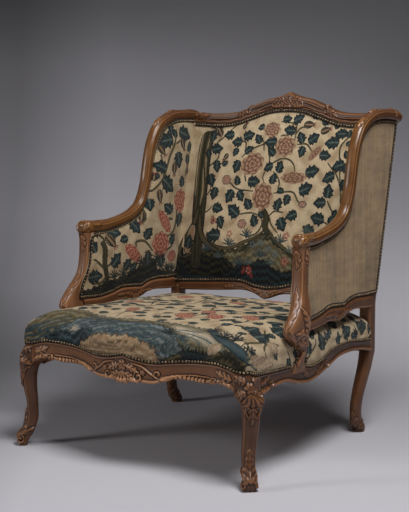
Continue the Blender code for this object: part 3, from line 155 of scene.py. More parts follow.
@dataclass(frozen=True)
class Plan:
    """The frame's driving sizes and the curves that follow from them."""

    seat_width: float = 0.770
    seat_depth: float = 0.720
    front_bow: float = 0.036
    side_bow: float = 0.012
    deck_front: float = 0.328
    deck_rear: float = 0.306
    front_nail: float = 0.302
    front_nail_rise: float = 0.016
    front_drop: float = 0.076
    side_nail: float = 0.267
    side_nail_rise: float = 0.034
    side_low: float = 0.228
    side_arch: float = 0.043
    rear_nail: float = 0.285
    rear_overhang: float = 0.013
    rail_thickness: float = 0.028
    side_thickness: float = 0.034
    block_inner_x: float = 0.352
    block_width: float = 0.043
    block_depth: float = 0.064
    post_width: float = 0.040
    post_depth: float = 0.040
    post_outer_x: float = 0.380
    post_top: float = 0.958
    post_bend: float = 0.395
    rake_degrees: float = 13.0
    wing_x: float = 0.377
    arm_splay: float = 0.009
    arm_splay_share: float = 0.5
    arm_length: float = 0.452
    arm_height: float = 0.628
    wing_height: float = 0.971
    wing_half: float = 0.015
    wing_half_thickness: float = 0.017
    tongue: float = 0.012
    tongue_out: float = 0.003
    tongue_in: float = 0.010
    support_foot: float = 0.268
    support_top: float = 0.611
    support_width: float = 0.040
    support_depth: float = 0.110
    support_splay: float = 0.024
    support_sweep: float = 0.050
    support_x: float = 0.384
    foot_flare: float = 0.022
    foot_level: float = 0.284
    foot_rise: float = 0.021
    lower_splay: float = 0.016
    lower_height: float = 0.376
    lower_thickness: float = 0.026
    lower_proud: float = 0.005
    lower_nail_step: float = 0.034
    wing_drop: float = 0.020
    back_rail_nail: float = 0.426
    back_rail_depth: float = 0.047
    back_rail_thickness: float = 0.026
    crest_end: float = 0.974
    crest_rise: float = 0.066
    crest_nail: float = 0.941
    crest_nail_rise: float = 0.050
    crest_thickness: float = 0.030
    joint_gap: float = 0.0003
    cloth: float = 0.002
    linen: float = 0.0015
    rebate: float = 0.0035
    bead: float = 0.005
    bead_height: float = 0.011
    cove: float = 0.003
    seat_crown: float = 0.083
    seat_bulge: float = 0.005
    back_padding: float = 0.018
    wing_padding: float = 0.012
    panel_backing: float = 0.004
    webbing: float = 0.0016
    base_cloth: float = 0.001
    stations: int = 21
    arm_end: int = 8
    wing_end: int = 16
    shift: float = 0.0

    # Share of the half width, then the bow, the nail line's rise and the lower edge.
    FRONT_SHARES = (
        (0.00, 1.00, 0.94, 1.00), (0.13, 0.86, 0.25, 0.94), (0.26, 0.61, 0.00, 0.95),
        (0.39, 0.28, 0.31, 0.72), (0.52, 0.00, 0.63, 0.70), (0.65, 0.05, 0.88, 0.71),
        (0.78, 0.25, 1.00, 0.61), (0.88, 0.24, 0.50, 0.69), (0.93, 0.27, 0.10, 0.92))
    # Share of the way back, then the outward bow, the nail line and the arch.
    SIDE_SHARES = (
        (0.00, 0.85, 0.75, 0.20), (0.10, 0.62, 0.62, 0.42), (0.21, 0.85, 0.55, 0.50),
        (0.30, 0.98, 0.50, 0.16), (0.40, 1.00, 0.06, 0.00), (0.50, 0.85, 0.24, 0.26),
        (0.58, 0.62, 0.74, 0.56), (0.68, 0.36, 1.00, 0.92), (0.79, 0.16, 0.96, 1.00),
        (0.90, 0.05, 0.70, 0.86), (1.00, 0.00, 0.53, 0.55))
    # Share of the way from the knuckle to the post's top, then the height.
    WING_SHARES = (
        (0.000, -0.009), (0.081, -0.005), (0.155, 0.000), (0.298, 0.041),
        (0.388, 0.093), (0.457, 0.181), (0.503, 0.347), (0.521, 0.472),
        (0.541, 0.618), (0.569, 0.749), (0.621, 0.880), (0.702, 0.962),
        (0.802, 1.000), (0.948, 0.997), (1.034, 0.972))
    # Share of the support's height, then splay, forward sweep, depth and width.
    SUPPORT_SHARES = (
        (0.00, 0.22, 0.36, 0.34, 0.55), (0.08, 0.30, 0.36, 0.28, 0.60),
        (0.15, 0.48, 0.36, 0.26, 0.70), (0.22, 0.60, 0.52, 0.38, 0.80),
        (0.30, 0.68, 0.92, 0.74, 0.92), (0.37, 0.75, 1.00, 0.98, 1.00),
        (0.47, 0.75, 0.70, 0.78, 1.00), (0.56, 0.50, 0.40, 0.53, 0.98),
        (0.65, 0.18, 0.20, 0.38, 0.95), (0.77, 0.04, 0.08, 0.34, 0.95),
        (0.90, 0.00, 0.02, 0.37, 1.00), (1.00, 0.00, 0.00, 0.46, 1.08))
    # Share of the way back, then the wing's lower rail's lower edge and nail line.
    LOWER_WING_SHARES = (
        (0.00, -0.05, 0.85), (0.12, -0.10, 0.80), (0.25, 0.05, 1.00),
        (0.36, 0.30, 1.30), (0.49, 0.00, 1.22), (0.57, 0.30, 1.15),
        (0.64, 0.85, 1.45), (0.74, 0.95, 1.58), (0.87, 0.70, 1.50),
        (1.00, 0.60, 1.50))
    # Share of the half width, then the fall of the nail line and of the lower edge.
    LOWER_BACK_SHARES = (
        (0.00, 0.34, 1.00), (0.05, 0.30, 0.90), (0.15, 0.22, 0.62),
        (0.27, 0.00, 0.51), (0.45, 0.02, 0.62), (0.70, 0.16, 0.76),
        (1.00, 0.32, 0.90))
    # Share of the half width, then the rise of the top and of the nail line.
    CREST_SHARES = (
        (0.00, 1.00, 1.00), (0.05, 0.93, 0.99), (0.15, 0.79, 0.93),
        (0.24, 0.70, 0.80), (0.33, 0.54, 0.60), (0.43, 0.34, 0.38),
        (0.52, 0.14, 0.18), (0.65, 0.03, 0.02), (0.82, 0.00, 0.00),
        (1.00, 0.00, 0.05))
    # From the seat cover's nailed edge to its crown: share of the plan and the crown.
    CROWN_SHARES = (
        (0.0, 1.0), (0.32, 0.995), (0.62, 0.955), (0.84, 0.82), (0.94, 0.62),
        (0.985, 0.43), (1.0, 0.25))

    @property
    def half_width(self) -> float:
        """Half the seat's width."""
        return self.seat_width / 2

    @property
    def front_y(self) -> float:
        """Front of the seat's plan."""
        return -self.seat_depth / 2

    @property
    def rear_y(self) -> float:
        """Middle of the rear posts at the seat."""
        return self.seat_depth / 2

    @property
    def rake(self) -> float:
        """How far the back leans for each metre that it rises."""
        return math.tan(math.radians(self.rake_degrees))

    @property
    def post_inner_x(self) -> float:
        """Inner face of the rear posts."""
        return self.post_outer_x - self.post_width

    @property
    def post_front_y(self) -> float:
        """Front face of the rear posts at the seat."""
        return self.rear_y - self.post_depth / 2

    @property
    def block_front_y(self) -> float:
        """Front of the front leg's block."""
        return self.front_y - self.front_bow * self.FRONT_SHARES[-1][1]

    @property
    def block_rear_y(self) -> float:
        """Rear of the front leg's block."""
        return self.block_front_y + self.block_depth

    @property
    def arm_front_y(self) -> float:
        """Front of the arm rail's middle line."""
        return self.rear_y - self.arm_length

    def deck(self, y: Number) -> Number:
        """Height of the seat frame's top, which falls towards the back."""
        return lerp(self.deck_front, self.deck_rear, (y - self.front_y) / self.seat_depth)

    def post_y(self, z: Number) -> Array:
        """Middle of the rear post in depth: upright at the seat, raked above it."""
        return self.rear_y + np.maximum(0.0, z - self.post_bend) * self.rake

    def front_face(self, x: Number) -> tuple[Array, Array, Array]:
        """The front rail's face at x: its y, its nail line and its lower edge.

        Args:
            x: Places across the chair.

        Returns:
            The three at each place.
        """
        share = np.abs(x) / self.half_width
        y = self.front_y - self.front_bow * smooth(self.FRONT_SHARES, share, 1)
        nail = self.front_nail + self.front_nail_rise * smooth(self.FRONT_SHARES, share, 2)
        top = self.front_nail + self.front_nail_rise
        return y, nail, top - self.front_drop * smooth(self.FRONT_SHARES, share, 3)

    def side_face(self, y: Number) -> tuple[Array, Array, Array]:
        """The side rail's face at y: its x, its nail line and its lower edge.

        Args:
            y: Depths.

        Returns:
            The three at each depth.
        """
        share = (y - self.block_rear_y) / (self.post_front_y - self.block_rear_y)
        x = self.half_width + self.side_bow * smooth(self.SIDE_SHARES, share, 1)
        nail = self.side_nail + self.side_nail_rise * smooth(self.SIDE_SHARES, share, 2)
        return x, nail, self.side_low + self.side_arch * smooth(self.SIDE_SHARES, share, 3)

    def arm_plane(self, y: Number) -> Array:
        """The x of the wing rail's middle, which splays at the front of the arm.

        Args:
            y: Depths.

        Returns:
            The plane's x at each depth.
        """
        share = (y - self.arm_front_y) / self.arm_length
        return self.wing_x + self.arm_splay * np.maximum(
            0.0, 1 - share / self.arm_splay_share) ** 2

    def wing_line(self, place: Array) -> tuple[Array, Array]:
        """The wing rail's middle line at shares of its length, with its outward side.

        Args:
            place: Shares of the rail's length, from 0 to 1.

        Returns:
            The line's points, and the directions away from the cloth.
        """
        count = len(self.WING_SHARES) - 1
        rows = tuple((index / count, *row) for index, row in enumerate(self.WING_SHARES))

        def point(at: Array) -> Array:
            """Points of the middle line.

            Args:
                at: Shares of the rail's length.

            Returns:
                One point for each share.
            """
            share, height = smooth(rows, at, 1), smooth(rows, at, 2)
            y = lerp(self.arm_front_y, self.post_y(self.post_top), share)
            z = lerp(self.arm_height, self.wing_height, height)
            return np.stack((self.arm_plane(y), y, z), axis=-1)

        reach = 0.01
        along = unit(point(np.minimum(place + reach, 1.0))
                     - point(np.maximum(place - reach, 0.0)))
        outward = np.stack((np.zeros_like(place), -along[:, 2], along[:, 1]), axis=-1)
        return point(place), unit(outward)

    def lower_wing(self, y: Number) -> tuple[Array, Array, Array]:
        """The wing's lower rail at y: its x, its lower edge and its nail line.

        Args:
            y: Depths.

        Returns:
            The three at each depth.
        """
        share = (y - self.arm_front_y) / (self.rear_y - self.arm_front_y)
        x = self.wing_x + self.lower_splay * (1 - share) ** 2
        low = self.lower_height + self.wing_drop * smooth(self.LOWER_WING_SHARES, share, 1)
        nail = self.lower_height + self.lower_nail_step * smooth(
            self.LOWER_WING_SHARES, share, 2)
        return x, low, nail

    def lower_back(self, x: Number) -> tuple[Array, Array]:
        """The lower back rail at x: its lower edge and its nail line.

        Args:
            x: Places across the chair.

        Returns:
            Both at each place.
        """
        share = np.abs(x) / self.post_inner_x
        nail = self.back_rail_nail - self.back_rail_depth * smooth(
            self.LOWER_BACK_SHARES, share, 1)
        low = self.back_rail_nail - self.back_rail_depth * smooth(
            self.LOWER_BACK_SHARES, share, 2)
        return low, nail

    def crest(self, x: Number) -> tuple[Array, Array]:
        """The crest rail at x: its nail line and its top.

        Args:
            x: Places across the chair.

        Returns:
            Both at each place.
        """
        share = np.abs(x) / self.post_inner_x
        top = self.crest_end + self.crest_rise * smooth(self.CREST_SHARES, share, 1)
        nail = self.crest_nail + self.crest_nail_rise * smooth(self.CREST_SHARES, share, 2)
        return nail, top

    def support(self, z: Number) -> tuple[Array, Array, Array, Array]:
        """The arm support at z: its middle's x and y, its half depth and half width.

        Args:
            z: Heights.

        Returns:
            The four at each height.
        """
        share = (z - self.support_foot) / (self.support_top - self.support_foot)
        x = self.support_x + self.support_splay * smooth(self.SUPPORT_SHARES, share, 1)
        middle = self.arm_front_y + self.wing_half * 0.6
        y = middle - self.support_sweep * smooth(self.SUPPORT_SHARES, share, 2)
        depth = self.support_depth * smooth(self.SUPPORT_SHARES, share, 3) / 2
        flare = self.foot_flare * np.exp(
            -(np.maximum(0.0, z - self.foot_level) / self.foot_rise) ** 2) / 2
        return (x, y - flare, depth + flare,
                self.support_width * smooth(self.SUPPORT_SHARES, share, 4) / 2)

    def wing_plane(self, y: Number, z: Number) -> Array:
        """The x of the wing's middle plane, which splays a little towards the front.

        Args:
            y: Depths.
            z: Heights.

        Returns:
            The plane's x at each place.
        """
        x_low, _, nail = self.lower_wing(y)
        edge = self.tongue + 3 * self.joint_gap
        low, high = nail + edge, self.arm_height - self.wing_half - edge
        return lerp(x_low, self.arm_plane(y), np.clip((z - low) / (high - low), 0, 1))


# Shader toolkit


class Value:
    """A shader socket that takes part in sums, written as Python writes them."""

    def __init__(self, graph: "Graph", socket: bpy.types.NodeSocket) -> None:
        """Wrap one output socket of a graph."""
        self.graph = graph
        self.socket = socket

    def _sum(self, operation: str, first: object, second: object) -> "Value":
        """Join two values by one Math node.

        Args:
            operation: Blender's name of the sum.
            first: A Value or a number.
            second: A Value or a number.

        Returns:
            The result.
        """
        node = self.graph.node("ShaderNodeMath", {"operation": operation},
                               {0: first, 1: second})
        return Value(self.graph, node.outputs[0])

    def __add__(self, other: object) -> "Value":
        """This value and another."""
        return self._sum("ADD", self, other)

    def __sub__(self, other: object) -> "Value":
        """This value less another."""
        return self._sum("SUBTRACT", self, other)

    def __rsub__(self, other: object) -> "Value":
        """Another value less this one."""
        return self._sum("SUBTRACT", other, self)

    def __mul__(self, other: object) -> "Value":
        """This value times another."""
        return self._sum("MULTIPLY", self, other)

    def __truediv__(self, other: object) -> "Value":
        """This value over another."""
        return self._sum("DIVIDE", self, other)

    __radd__ = __add__
    __rmul__ = __mul__

    def sine(self) -> "Value":
        """Sine of this value."""
        return self._sum("SINE", self, 0.0)

    def size(self) -> "Value":
        """This value without its sign."""
        return self._sum("ABSOLUTE", self, 0.0)

    def held(self) -> "Value":
        """This value kept between 0 and 1.

        Returns:
            The clamped value.
        """
        node = self.graph.node("ShaderNodeMath", {"operation": "ADD", "use_clamp": True},
                               {0: self, 1: 0.0})
        return Value(self.graph, node.outputs[0])

    def over(self, edge: float, softness: float) -> "Value":
        """A rise from 0 to 1 as this value passes an edge."""
        return ((self - edge) / softness + 0.5).held()


def feed(tree: bpy.types.NodeTree, socket: bpy.types.NodeSocket, value: object) -> None:
    """Link a value to a node's input, or set the number that the input holds.

    Args:
        tree: The tree that the node is in.
        socket: The node's input.
        value: A Value or an output socket to link, or what the input is to hold.
    """
    if isinstance(value, Value):
        value = value.socket
    if isinstance(value, bpy.types.NodeSocket):
        tree.links.new(value, socket)
    elif isinstance(value, tuple) and len(value) == 3 and socket.type == "RGBA":
        socket.default_value = (*value, 1.0)
    else:
        socket.default_value = value


def add_node(tree: bpy.types.NodeTree, kind: str, settings: Settings | None = None,
             inputs: Inputs | None = None) -> bpy.types.Node:
    """Make one node: its type, its settings, then its inputs.

    Args:
        tree: The tree that it goes into.
        kind: Blender's name of the node type.
        settings: The node's own properties, set before its inputs.
        inputs: What feed takes, by the inputs' names or indices.

    Returns:
        The new node.
    """
    node = tree.nodes.new(kind)
    for name, setting in (settings or {}).items():
        setattr(node, name, setting)
    for key, value in (inputs or {}).items():
        feed(tree, node.inputs[key], value)
    return node


class Graph:
    """One material's node tree, with the nodes that its finish needs."""

    def __init__(self, name: str) -> None:
        """Start an empty material with a Principled shader.

        Args:
            name: The material's name.
        """
        self.material = bpy.data.materials.new(name)
        self.material.use_nodes = True
        self.tree = self.material.node_tree
        self.shader = self.tree.nodes["Principled BSDF"]

    def node(self, kind: str, settings: Settings | None = None,
             inputs: Inputs | None = None) -> bpy.types.Node:
        """Make one node of this tree; add_node says what each value is."""
        return add_node(self.tree, kind, settings, inputs)

    def attribute(self, name: str, output: str = "Fac") -> Value:
        """One of the mesh's own attributes."""
        node = self.node("ShaderNodeAttribute", {"attribute_name": name})
        return Value(self, node.outputs[output])

    def place(self, uv: str = "") -> Value:
        """Object coordinates, or the piece's own UV map where one is named.

        Args:
            uv: The UV map's name, or nothing for object coordinates.

        Returns:
            The coordinates.
        """
        if uv:
            return Value(self, self.node("ShaderNodeUVMap", {"uv_map": uv}).outputs[0])
        return Value(self, self.node("ShaderNodeTexCoord").outputs["Object"])

    def scaled(self, vector: Value, scale: tuple[float, float, float],
               turn: float = 0.0) -> Value:
        """Coordinates times a scale, turned about Z by an angle in radians.

        Args:
            vector: The coordinates.
            scale: What each axis is multiplied by.
            turn: The angle.

        Returns:
            The new coordinates.
        """
        node = self.node("ShaderNodeMapping", {},
                         {"Vector": vector, "Rotation": (0.0, 0.0, turn), "Scale": scale})
        return Value(self, node.outputs[0])

    def parts(self, vector: Value) -> tuple[Value, Value, Value]:
        """The three coordinates of a vector."""
        node = self.node("ShaderNodeSeparateXYZ", {}, {0: vector})
        return tuple(Value(self, socket) for socket in node.outputs)

    def joined(self, x: object, y: object, z: object = 0.0) -> Value:
        """A vector of three coordinates."""
        node = self.node("ShaderNodeCombineXYZ", {}, {0: x, 1: y, 2: z})
        return Value(self, node.outputs[0])

    def noise(self, vector: Value, scale: float, detail: float = 3.0,
              roughness: float = 0.55) -> Value:
        """Soft noise of a scale per metre.

        Args:
            vector: The coordinates.
            scale: Features per metre.
            detail: How many finer layers it has.
            roughness: How strong each finer layer is.

        Returns:
            A number from 0 to 1.
        """
        node = self.node("ShaderNodeTexNoise", {}, {
            "Vector": vector, "Scale": scale, "Detail": detail, "Roughness": roughness})
        return Value(self, node.outputs["Fac"])

    def mix(self, share: object, first: object, second: object,
            blend: str = "MIX") -> Value:
        """A colour a share of the way from the first to the second.

        Args:
            share: A Value or a number.
            first: A colour.
            second: A colour.
            blend: Blender's name of the way they mix.

        Returns:
            The mixed colour.
        """
        node = self.node("ShaderNodeMix", {"data_type": "RGBA", "blend_type": blend},
                         {0: share, 6: first, 7: second})
        return Value(self, node.outputs[2])

    def bump(self, height: Value, distance: float, strength: float = 1.0) -> Value:
        """A surface normal from a height; distance is the relief's depth in metres.

        Args:
            height: The height, from 0 to 1.
            distance: How deep the relief is, in metres.
            strength: How strongly it shows.

        Returns:
            The normal.
        """
        node = self.node("ShaderNodeBump", {}, {
            "Height": height, "Distance": distance, "Strength": strength})
        return Value(self, node.outputs[0])

    def open_behind(self) -> None:
        """Let the surface be seen through from behind."""
        behind = Value(self, self.node("ShaderNodeNewGeometry").outputs["Backfacing"])
        clear = Value(self, self.node("ShaderNodeBsdfTransparent").outputs[0])
        front = Value(self, self.shader.outputs[0])
        both = self.node("ShaderNodeMixShader", {}, {0: behind, 1: front, 2: clear})
        output = self.tree.nodes["Material Output"]
        self.tree.links.new(both.outputs[0], output.inputs["Surface"])

    def finish(self, **sockets: object) -> bpy.types.Material:
        """Set the shader's sockets by their names, with _ for a space.

        Args:
            **sockets: Values, colours or numbers.

        Returns:
            The finished material.
        """
        for name, value in sockets.items():
            feed(self.tree, self.shader.inputs[name.replace("_", " ")], value)
        return self.material


@dataclass(frozen=True)
class AgedWood:
    """Old waxed wood: fine grain, dark hollows, ridges pale from wear and a painted
    highlight.
    """

    name: str
    deep: Colour
    body: Colour
    # Colour of the ridges: real wear and a painted highlight.
    worn: Colour
    gloss: float = 0.42
    coat: float = 0.12

    def build(self) -> bpy.types.Material:
        """Make the material. Its grain follows the piece's UV map named grain.

        Returns:
            The finished material.
        """
        graph = Graph(self.name)
        run = graph.place("grain")
        wear = graph.attribute("wear")
        fibre = graph.noise(graph.scaled(run, (14.0, 420.0, 1.0)), 1.0, 4.0, 0.65)
        figure = graph.noise(graph.scaled(run, (5.0, 38.0, 1.0)), 1.0, 3.0, 0.6)
        blotch = graph.noise(graph.place(), 22.0, 3.0)
        pores = graph.noise(graph.scaled(run, (60.0, 1500.0, 1.0)), 1.0, 2.0, 0.7)
        tone = (figure * 0.9 + fibre * 0.7 + blotch * 0.7 - 0.72).held()
        colour = graph.mix(tone, tuple(part * 0.52 for part in self.body), self.body)
        # Painted highlight: proud ridges and rounded crowns mix towards the worn colour,
        # together with real wear.
        rubbed = ((wear - 0.5) * 1.7 + (blotch - 0.5) * 0.5 + (fibre - 0.5) * 0.3).held()
        colour = graph.mix(rubbed, colour, self.worn)
        hollow = ((0.5 - wear) * 2.6 + (blotch - 0.5) * 0.25).held()
        colour = graph.mix(hollow, colour, self.deep)
        colour = graph.mix(pores.over(0.36, 0.08) * -0.35 + 0.35, colour, self.deep)
        rough = (self.gloss + (0.5 - wear) * 0.3 + (fibre - 0.5) * 0.25).held()
        height = fibre * 0.5 + pores * 0.3 + figure * 0.2
        return graph.finish(
            Base_Color=colour, Roughness=rough, Specular_IOR_Level=0.36,
            Coat_Weight=self.coat, Coat_Roughness=0.3,
            Normal=graph.bump(height, 0.0005, 0.55))


@dataclass(frozen=True)
class PlainBeech:
    """Unpolished beech with flecks, for the frame's own nodes."""

    name: str = "plain_beech"
    shade: Colour = (0.19, 0.11, 0.06)
    body: Colour = (0.42, 0.29, 0.17)

    def build(self) -> bpy.types.Material:
        """Make the material, on object coordinates, its grain along x.

        Returns:
            The finished material.
        """
        graph = Graph(self.name)
        run = graph.place()
        fibre = graph.noise(graph.scaled(run, (20.0, 400.0, 400.0)), 1.0, 4.0, 0.65)
        figure = graph.noise(graph.scaled(run, (6.0, 45.0, 45.0)), 1.0, 3.0, 0.6)
        fleck = graph.noise(graph.scaled(run, (160.0, 900.0, 900.0)), 1.0, 2.0, 0.7)
        tone = (figure * 0.8 + fibre * 0.7 - 0.35).held()
        colour = graph.mix(tone, self.shade, self.body)
        colour = graph.mix(fleck.over(0.38, 0.06) * -0.3 + 0.3, colour, self.shade)
        return graph.finish(
            Base_Color=colour, Roughness=(fibre * 0.3 + 0.5).held(),
            Normal=graph.bump(fibre * 0.6 + fleck * 0.4, 0.0004, 0.5))


@dataclass(frozen=True)
class Needlework:
    """Wool stitched on canvas, its motifs painted as attributes of the mesh."""

    name: str = "needlework"
    stitch: float = 0.0024

    def build(self) -> bpy.types.Material:
        """Make the material. Its stitches follow the piece's UV map named cloth.

        Returns:
            The finished material.
        """
        graph = Graph(self.name)
        run = graph.place("cloth")
        x, y, _ = graph.parts(run)
        pitch = math.tau / self.stitch
        slope = (x * pitch + y * pitch).sine()
        cross = (x * pitch - y * pitch).sine()
        rows = slope * 0.5 + 0.5
        tuft = graph.noise(run, 0.9 / self.stitch, 2.0, 0.6)
        edge = graph.attribute("edge") + (tuft - 0.5) * 0.0016 + slope * 0.0003
        colour = graph.mix(edge.over(0.0, 0.0004), graph.attribute("under", "Color"),
                           graph.attribute("over", "Color"))
        worn = graph.noise(run, 26.0, 3.0, 0.6)
        thread = graph.noise(graph.scaled(run, (0.35, 1.0, 1.0), 0.78),
                             1.2 / self.stitch, 2.0, 0.7)
        speck = graph.noise(run, 170.0, 3.0, 0.7)
        tone = (0.86 + (worn - 0.5) * 0.5 + (thread - 0.5) * 0.6 + (rows - 0.5) * 0.10
                + (speck - 0.5) * 0.55)
        tint = graph.joined(tone, tone * 0.98 + (worn - 0.5) * 0.10,
                            tone * 0.95 + (worn - 0.5) * 0.18)
        colour = graph.mix(1.0, colour, tint, "MULTIPLY")
        height = rows * 0.5 + (cross * 0.5 + 0.5) * 0.25 + tuft * 0.5 + thread * 0.4
        return graph.finish(
            Base_Color=colour, Roughness=0.95, Specular_IOR_Level=0.18,
            Sheen_Weight=0.06, Sheen_Roughness=0.5,
            Normal=graph.bump(height, 0.0011, 0.7))


@dataclass(frozen=True)
class RibbedLinen:
    """Tan ribbed cloth with upright ribs, a little faded and marked."""

    name: str = "ribbed_linen"
    rib: float = 0.0042
    body: Colour = (0.44, 0.285, 0.130)
    shade: Colour = (0.080, 0.048, 0.022)

    def build(self) -> bpy.types.Material:
        """Make the material. Its ribs follow the piece's UV map named cloth.

        Returns:
            The finished material.
        """
        graph = Graph(self.name)
        run = graph.place("cloth")
        x, y, _ = graph.parts(run)
        wander = graph.noise(graph.scaled(run, (1.0, 0.12, 1.0)), 60.0, 2.0)
        rib = ((x + (wander - 0.5) * 0.0016) * (math.tau / self.rib)).sine() * 0.5 + 0.5
        weft = (y * (math.tau / 0.0011)).sine() * 0.5 + 0.5
        streak = graph.noise(graph.scaled(run, (190.0, 3.0, 1.0)), 1.0, 3.0, 0.7)
        stain = graph.noise(run, 7.0, 4.0, 0.6)
        mark = graph.noise(graph.scaled(run, (1.0, 2.6, 1.0)), 16.0, 4.0, 0.65)
        broad = graph.noise(graph.scaled(run, (70.0, 2.2, 1.0)), 1.0, 2.0, 0.6)
        tone = (rib * 0.45 + streak * 0.6 + broad * 0.6 + stain * 1.1 + mark * 0.8
                - 1.24).held()
        colour = graph.mix(tone, self.shade, self.body)
        height = rib * 0.75 + weft * 0.12 + streak * 0.2
        return graph.finish(
            Base_Color=colour, Roughness=0.9, Sheen_Weight=0.1,
            Normal=graph.bump(height, 0.0011, 0.8))


@dataclass(frozen=True)
class CoarseWeave:
    """Plain woven jute or braid, with threads of a real width."""

    name: str
    thread: float
    body: Colour
    shade: Colour
    slant: float = 0.0

    def build(self) -> bpy.types.Material:
        """Make the material. Its threads follow the piece's UV map named cloth.

        Returns:
            The finished material.
        """
        graph = Graph(self.name)
        run = graph.scaled(graph.place("cloth"), (1.0, 1.0, 1.0), self.slant)
        x, y, _ = graph.parts(run)
        pitch = math.pi / self.thread
        warp, weft = (x * pitch).sine().size(), (y * pitch).sine().size()
        slub = graph.noise(graph.scaled(run, (40.0, 700.0, 1.0)), 1.0, 3.0)
        hair = graph.noise(run, 900.0, 2.0)
        weave = warp * weft
        tone = (weave * 0.7 + slub * 0.5 + hair * 0.3 - 0.3).held()
        height = weave * 0.8 + hair * 0.25
        return graph.finish(
            Base_Color=graph.mix(tone, self.shade, self.body), Roughness=0.94,
            Normal=graph.bump(height, self.thread * 0.4, 0.8))


@dataclass(frozen=True)
class AgedBrass:
    """Brass nails gone brown, bright only where they are rubbed."""

    name: str = "aged_brass"

    def build(self) -> bpy.types.Material:
        """Make the material, on object coordinates.

        Returns:
            The finished material.
        """
        graph = Graph(self.name)
        spot = graph.noise(graph.place(), 160.0, 3.0)
        fine = graph.noise(graph.place(), 900.0, 2.0)
        colour = graph.mix((spot * 1.9 - 0.52).held(), (0.050, 0.029, 0.014),
                           (0.50, 0.355, 0.205))
        return graph.finish(
            Base_Color=colour, Metallic=0.85, Roughness=(0.22 + fine * 0.22).held(),
            Normal=graph.bump(fine, 0.0003, 0.5))


@dataclass(frozen=True)
class StudioPaper:
    """The floor and backdrop: matt paper with a faint unevenness, and painted light and
    shade.
    """

    name: str
    tone: Colour
    turn: float
    # How bright the painted light and shade leave the paper, and where each begins.
    far_share: float = 0.66
    high_share: float = 0.30
    edge_share: float = 0.50
    corner_share: float = 0.66
    near: float = -0.35
    low: float = 0.1
    left_edge: float = -0.50
    corner_edge: float = -0.40
    glow_top: float = 1.55

    def build(self) -> bpy.types.Material:
        """Make the material, on object coordinates: painted light, paler near the camera and
        low.

        Returns:
            The finished material.
        """
        graph = Graph(self.name)
        place = graph.place()
        x, y, z = graph.parts(place)
        away = y * math.cos(self.turn) - x * math.sin(self.turn)
        # Painted light: darker with distance from the camera and with height.
        share = 1.0 - ((away - self.near) * 0.9).held() * (1.0 - self.far_share)
        share = share * (1.0 - ((z - self.low) * 0.71).held() * (1.0 - self.high_share))
        across = x * math.cos(self.turn) + y * math.sin(self.turn)
        # Painted shade towards the left.
        edge = ((self.left_edge - across) * 2.3).held()
        share = share * (1.0 - edge * (1.0 - self.edge_share))
        # A painted band of light low on the backdrop, brightest to the left, painted shade
        # far to the right.
        rise = (z * 2.0).held() * ((self.glow_top - z) * 3.0).held()
        share = share * (1.0 + (0.20 - across * 0.45) * rise)
        # A painted shadow on the floor behind the chair and to its left.
        shade = (away * 3.0).held() * ((self.corner_edge - across) * 2.5).held()
        share = share * (1.0 - shade * (1.0 - z * 5.0).held() * (1.0 - self.corner_share))
        share = share * (graph.noise(place, 1.5, 2.0) * 0.04 + 0.98)
        colour = graph.mix(1.0, self.tone, graph.joined(share, share, share), "MULTIPLY")
        graph.open_behind()
        return graph.finish(Base_Color=colour, Roughness=0.85)


# Motifs


@dataclass(frozen=True)
class Motif:
    """A flat shape: how deep inside it each place lies, in metres, minus outside."""

    at: tuple[float, float]
    reach: float

    def depth(self, s: Array, t: Array) -> Array:
        """How deep inside the shape the places lie."""
        return self.reach - np.hypot(s - self.at[0], t - self.at[1])

    def relief(self, s: Array, t: Array, depth: Array) -> Array:
        """Height of the carved or stitched detail inside the shape, from 0 to 1."""
        return np.sqrt(np.clip(depth / self.reach, 0.0, 1.0))


@dataclass(frozen=True)
class Stroke(Motif):
    """A line through points, thick in its middle and thin at its ends."""

    points: tuple[tuple[float, float], ...] = ()
    width: float = 0.004
    tips: float = 0.3

    @staticmethod
    def through(points: Iterable[tuple[float, float]], width: float,
                tips: float = 0.3) -> "Stroke":
        """A stroke of a width through points, with tips a share of that width.

        Args:
            points: Places along its middle.
            width: Its full width.
            tips: The share of that width at its ends.

        Returns:
            The stroke.
        """
        places = np.asarray(tuple(points), dtype=float)
        along = np.linspace(0.0, 1.0, len(places))
        table = tuple((share, *place) for share, place in zip(along, places))
        fine = np.linspace(0.0, 1.0, 8 * len(places))
        curve = np.stack((smooth(table, fine, 1), smooth(table, fine, 2)), axis=-1)
        middle = curve.mean(axis=0)
        reach = float(np.linalg.norm(curve - middle, axis=1).max()) + width
        return Stroke(tuple(middle), reach, tuple(map(tuple, curve)), width, tips)

    def depth(self, s: Array, t: Array) -> Array:
        """How deep inside the stroke the places lie.

        Args:
            s: Places along the surface, in metres.
            t: Places across it.

        Returns:
            The depth at each place, in metres, minus outside.
        """
        best = np.full(s.shape, -1.0)
        last = len(self.points) - 1
        for index, (start, end) in enumerate(zip(self.points, self.points[1:])):
            run = np.subtract(end, start)
            share = ((s - start[0]) * run[0] + (t - start[1]) * run[1]) / max(
                float(run @ run), 1e-12)
            share = np.clip(share, 0.0, 1.0)
            off = np.hypot(s - start[0] - run[0] * share, t - start[1] - run[1] * share)
            along = (index + share) / last
            thick = self.tips + (1 - self.tips) * np.sin(np.pi * along) ** 0.7
            best = np.maximum(best, self.width / 2 * thick - off)
        return best

    def relief(self, s: Array, t: Array, depth: Array) -> Array:
        """A rounded ridge."""
        return np.sqrt(np.clip(depth / (self.width / 2), 0.0, 1.0))


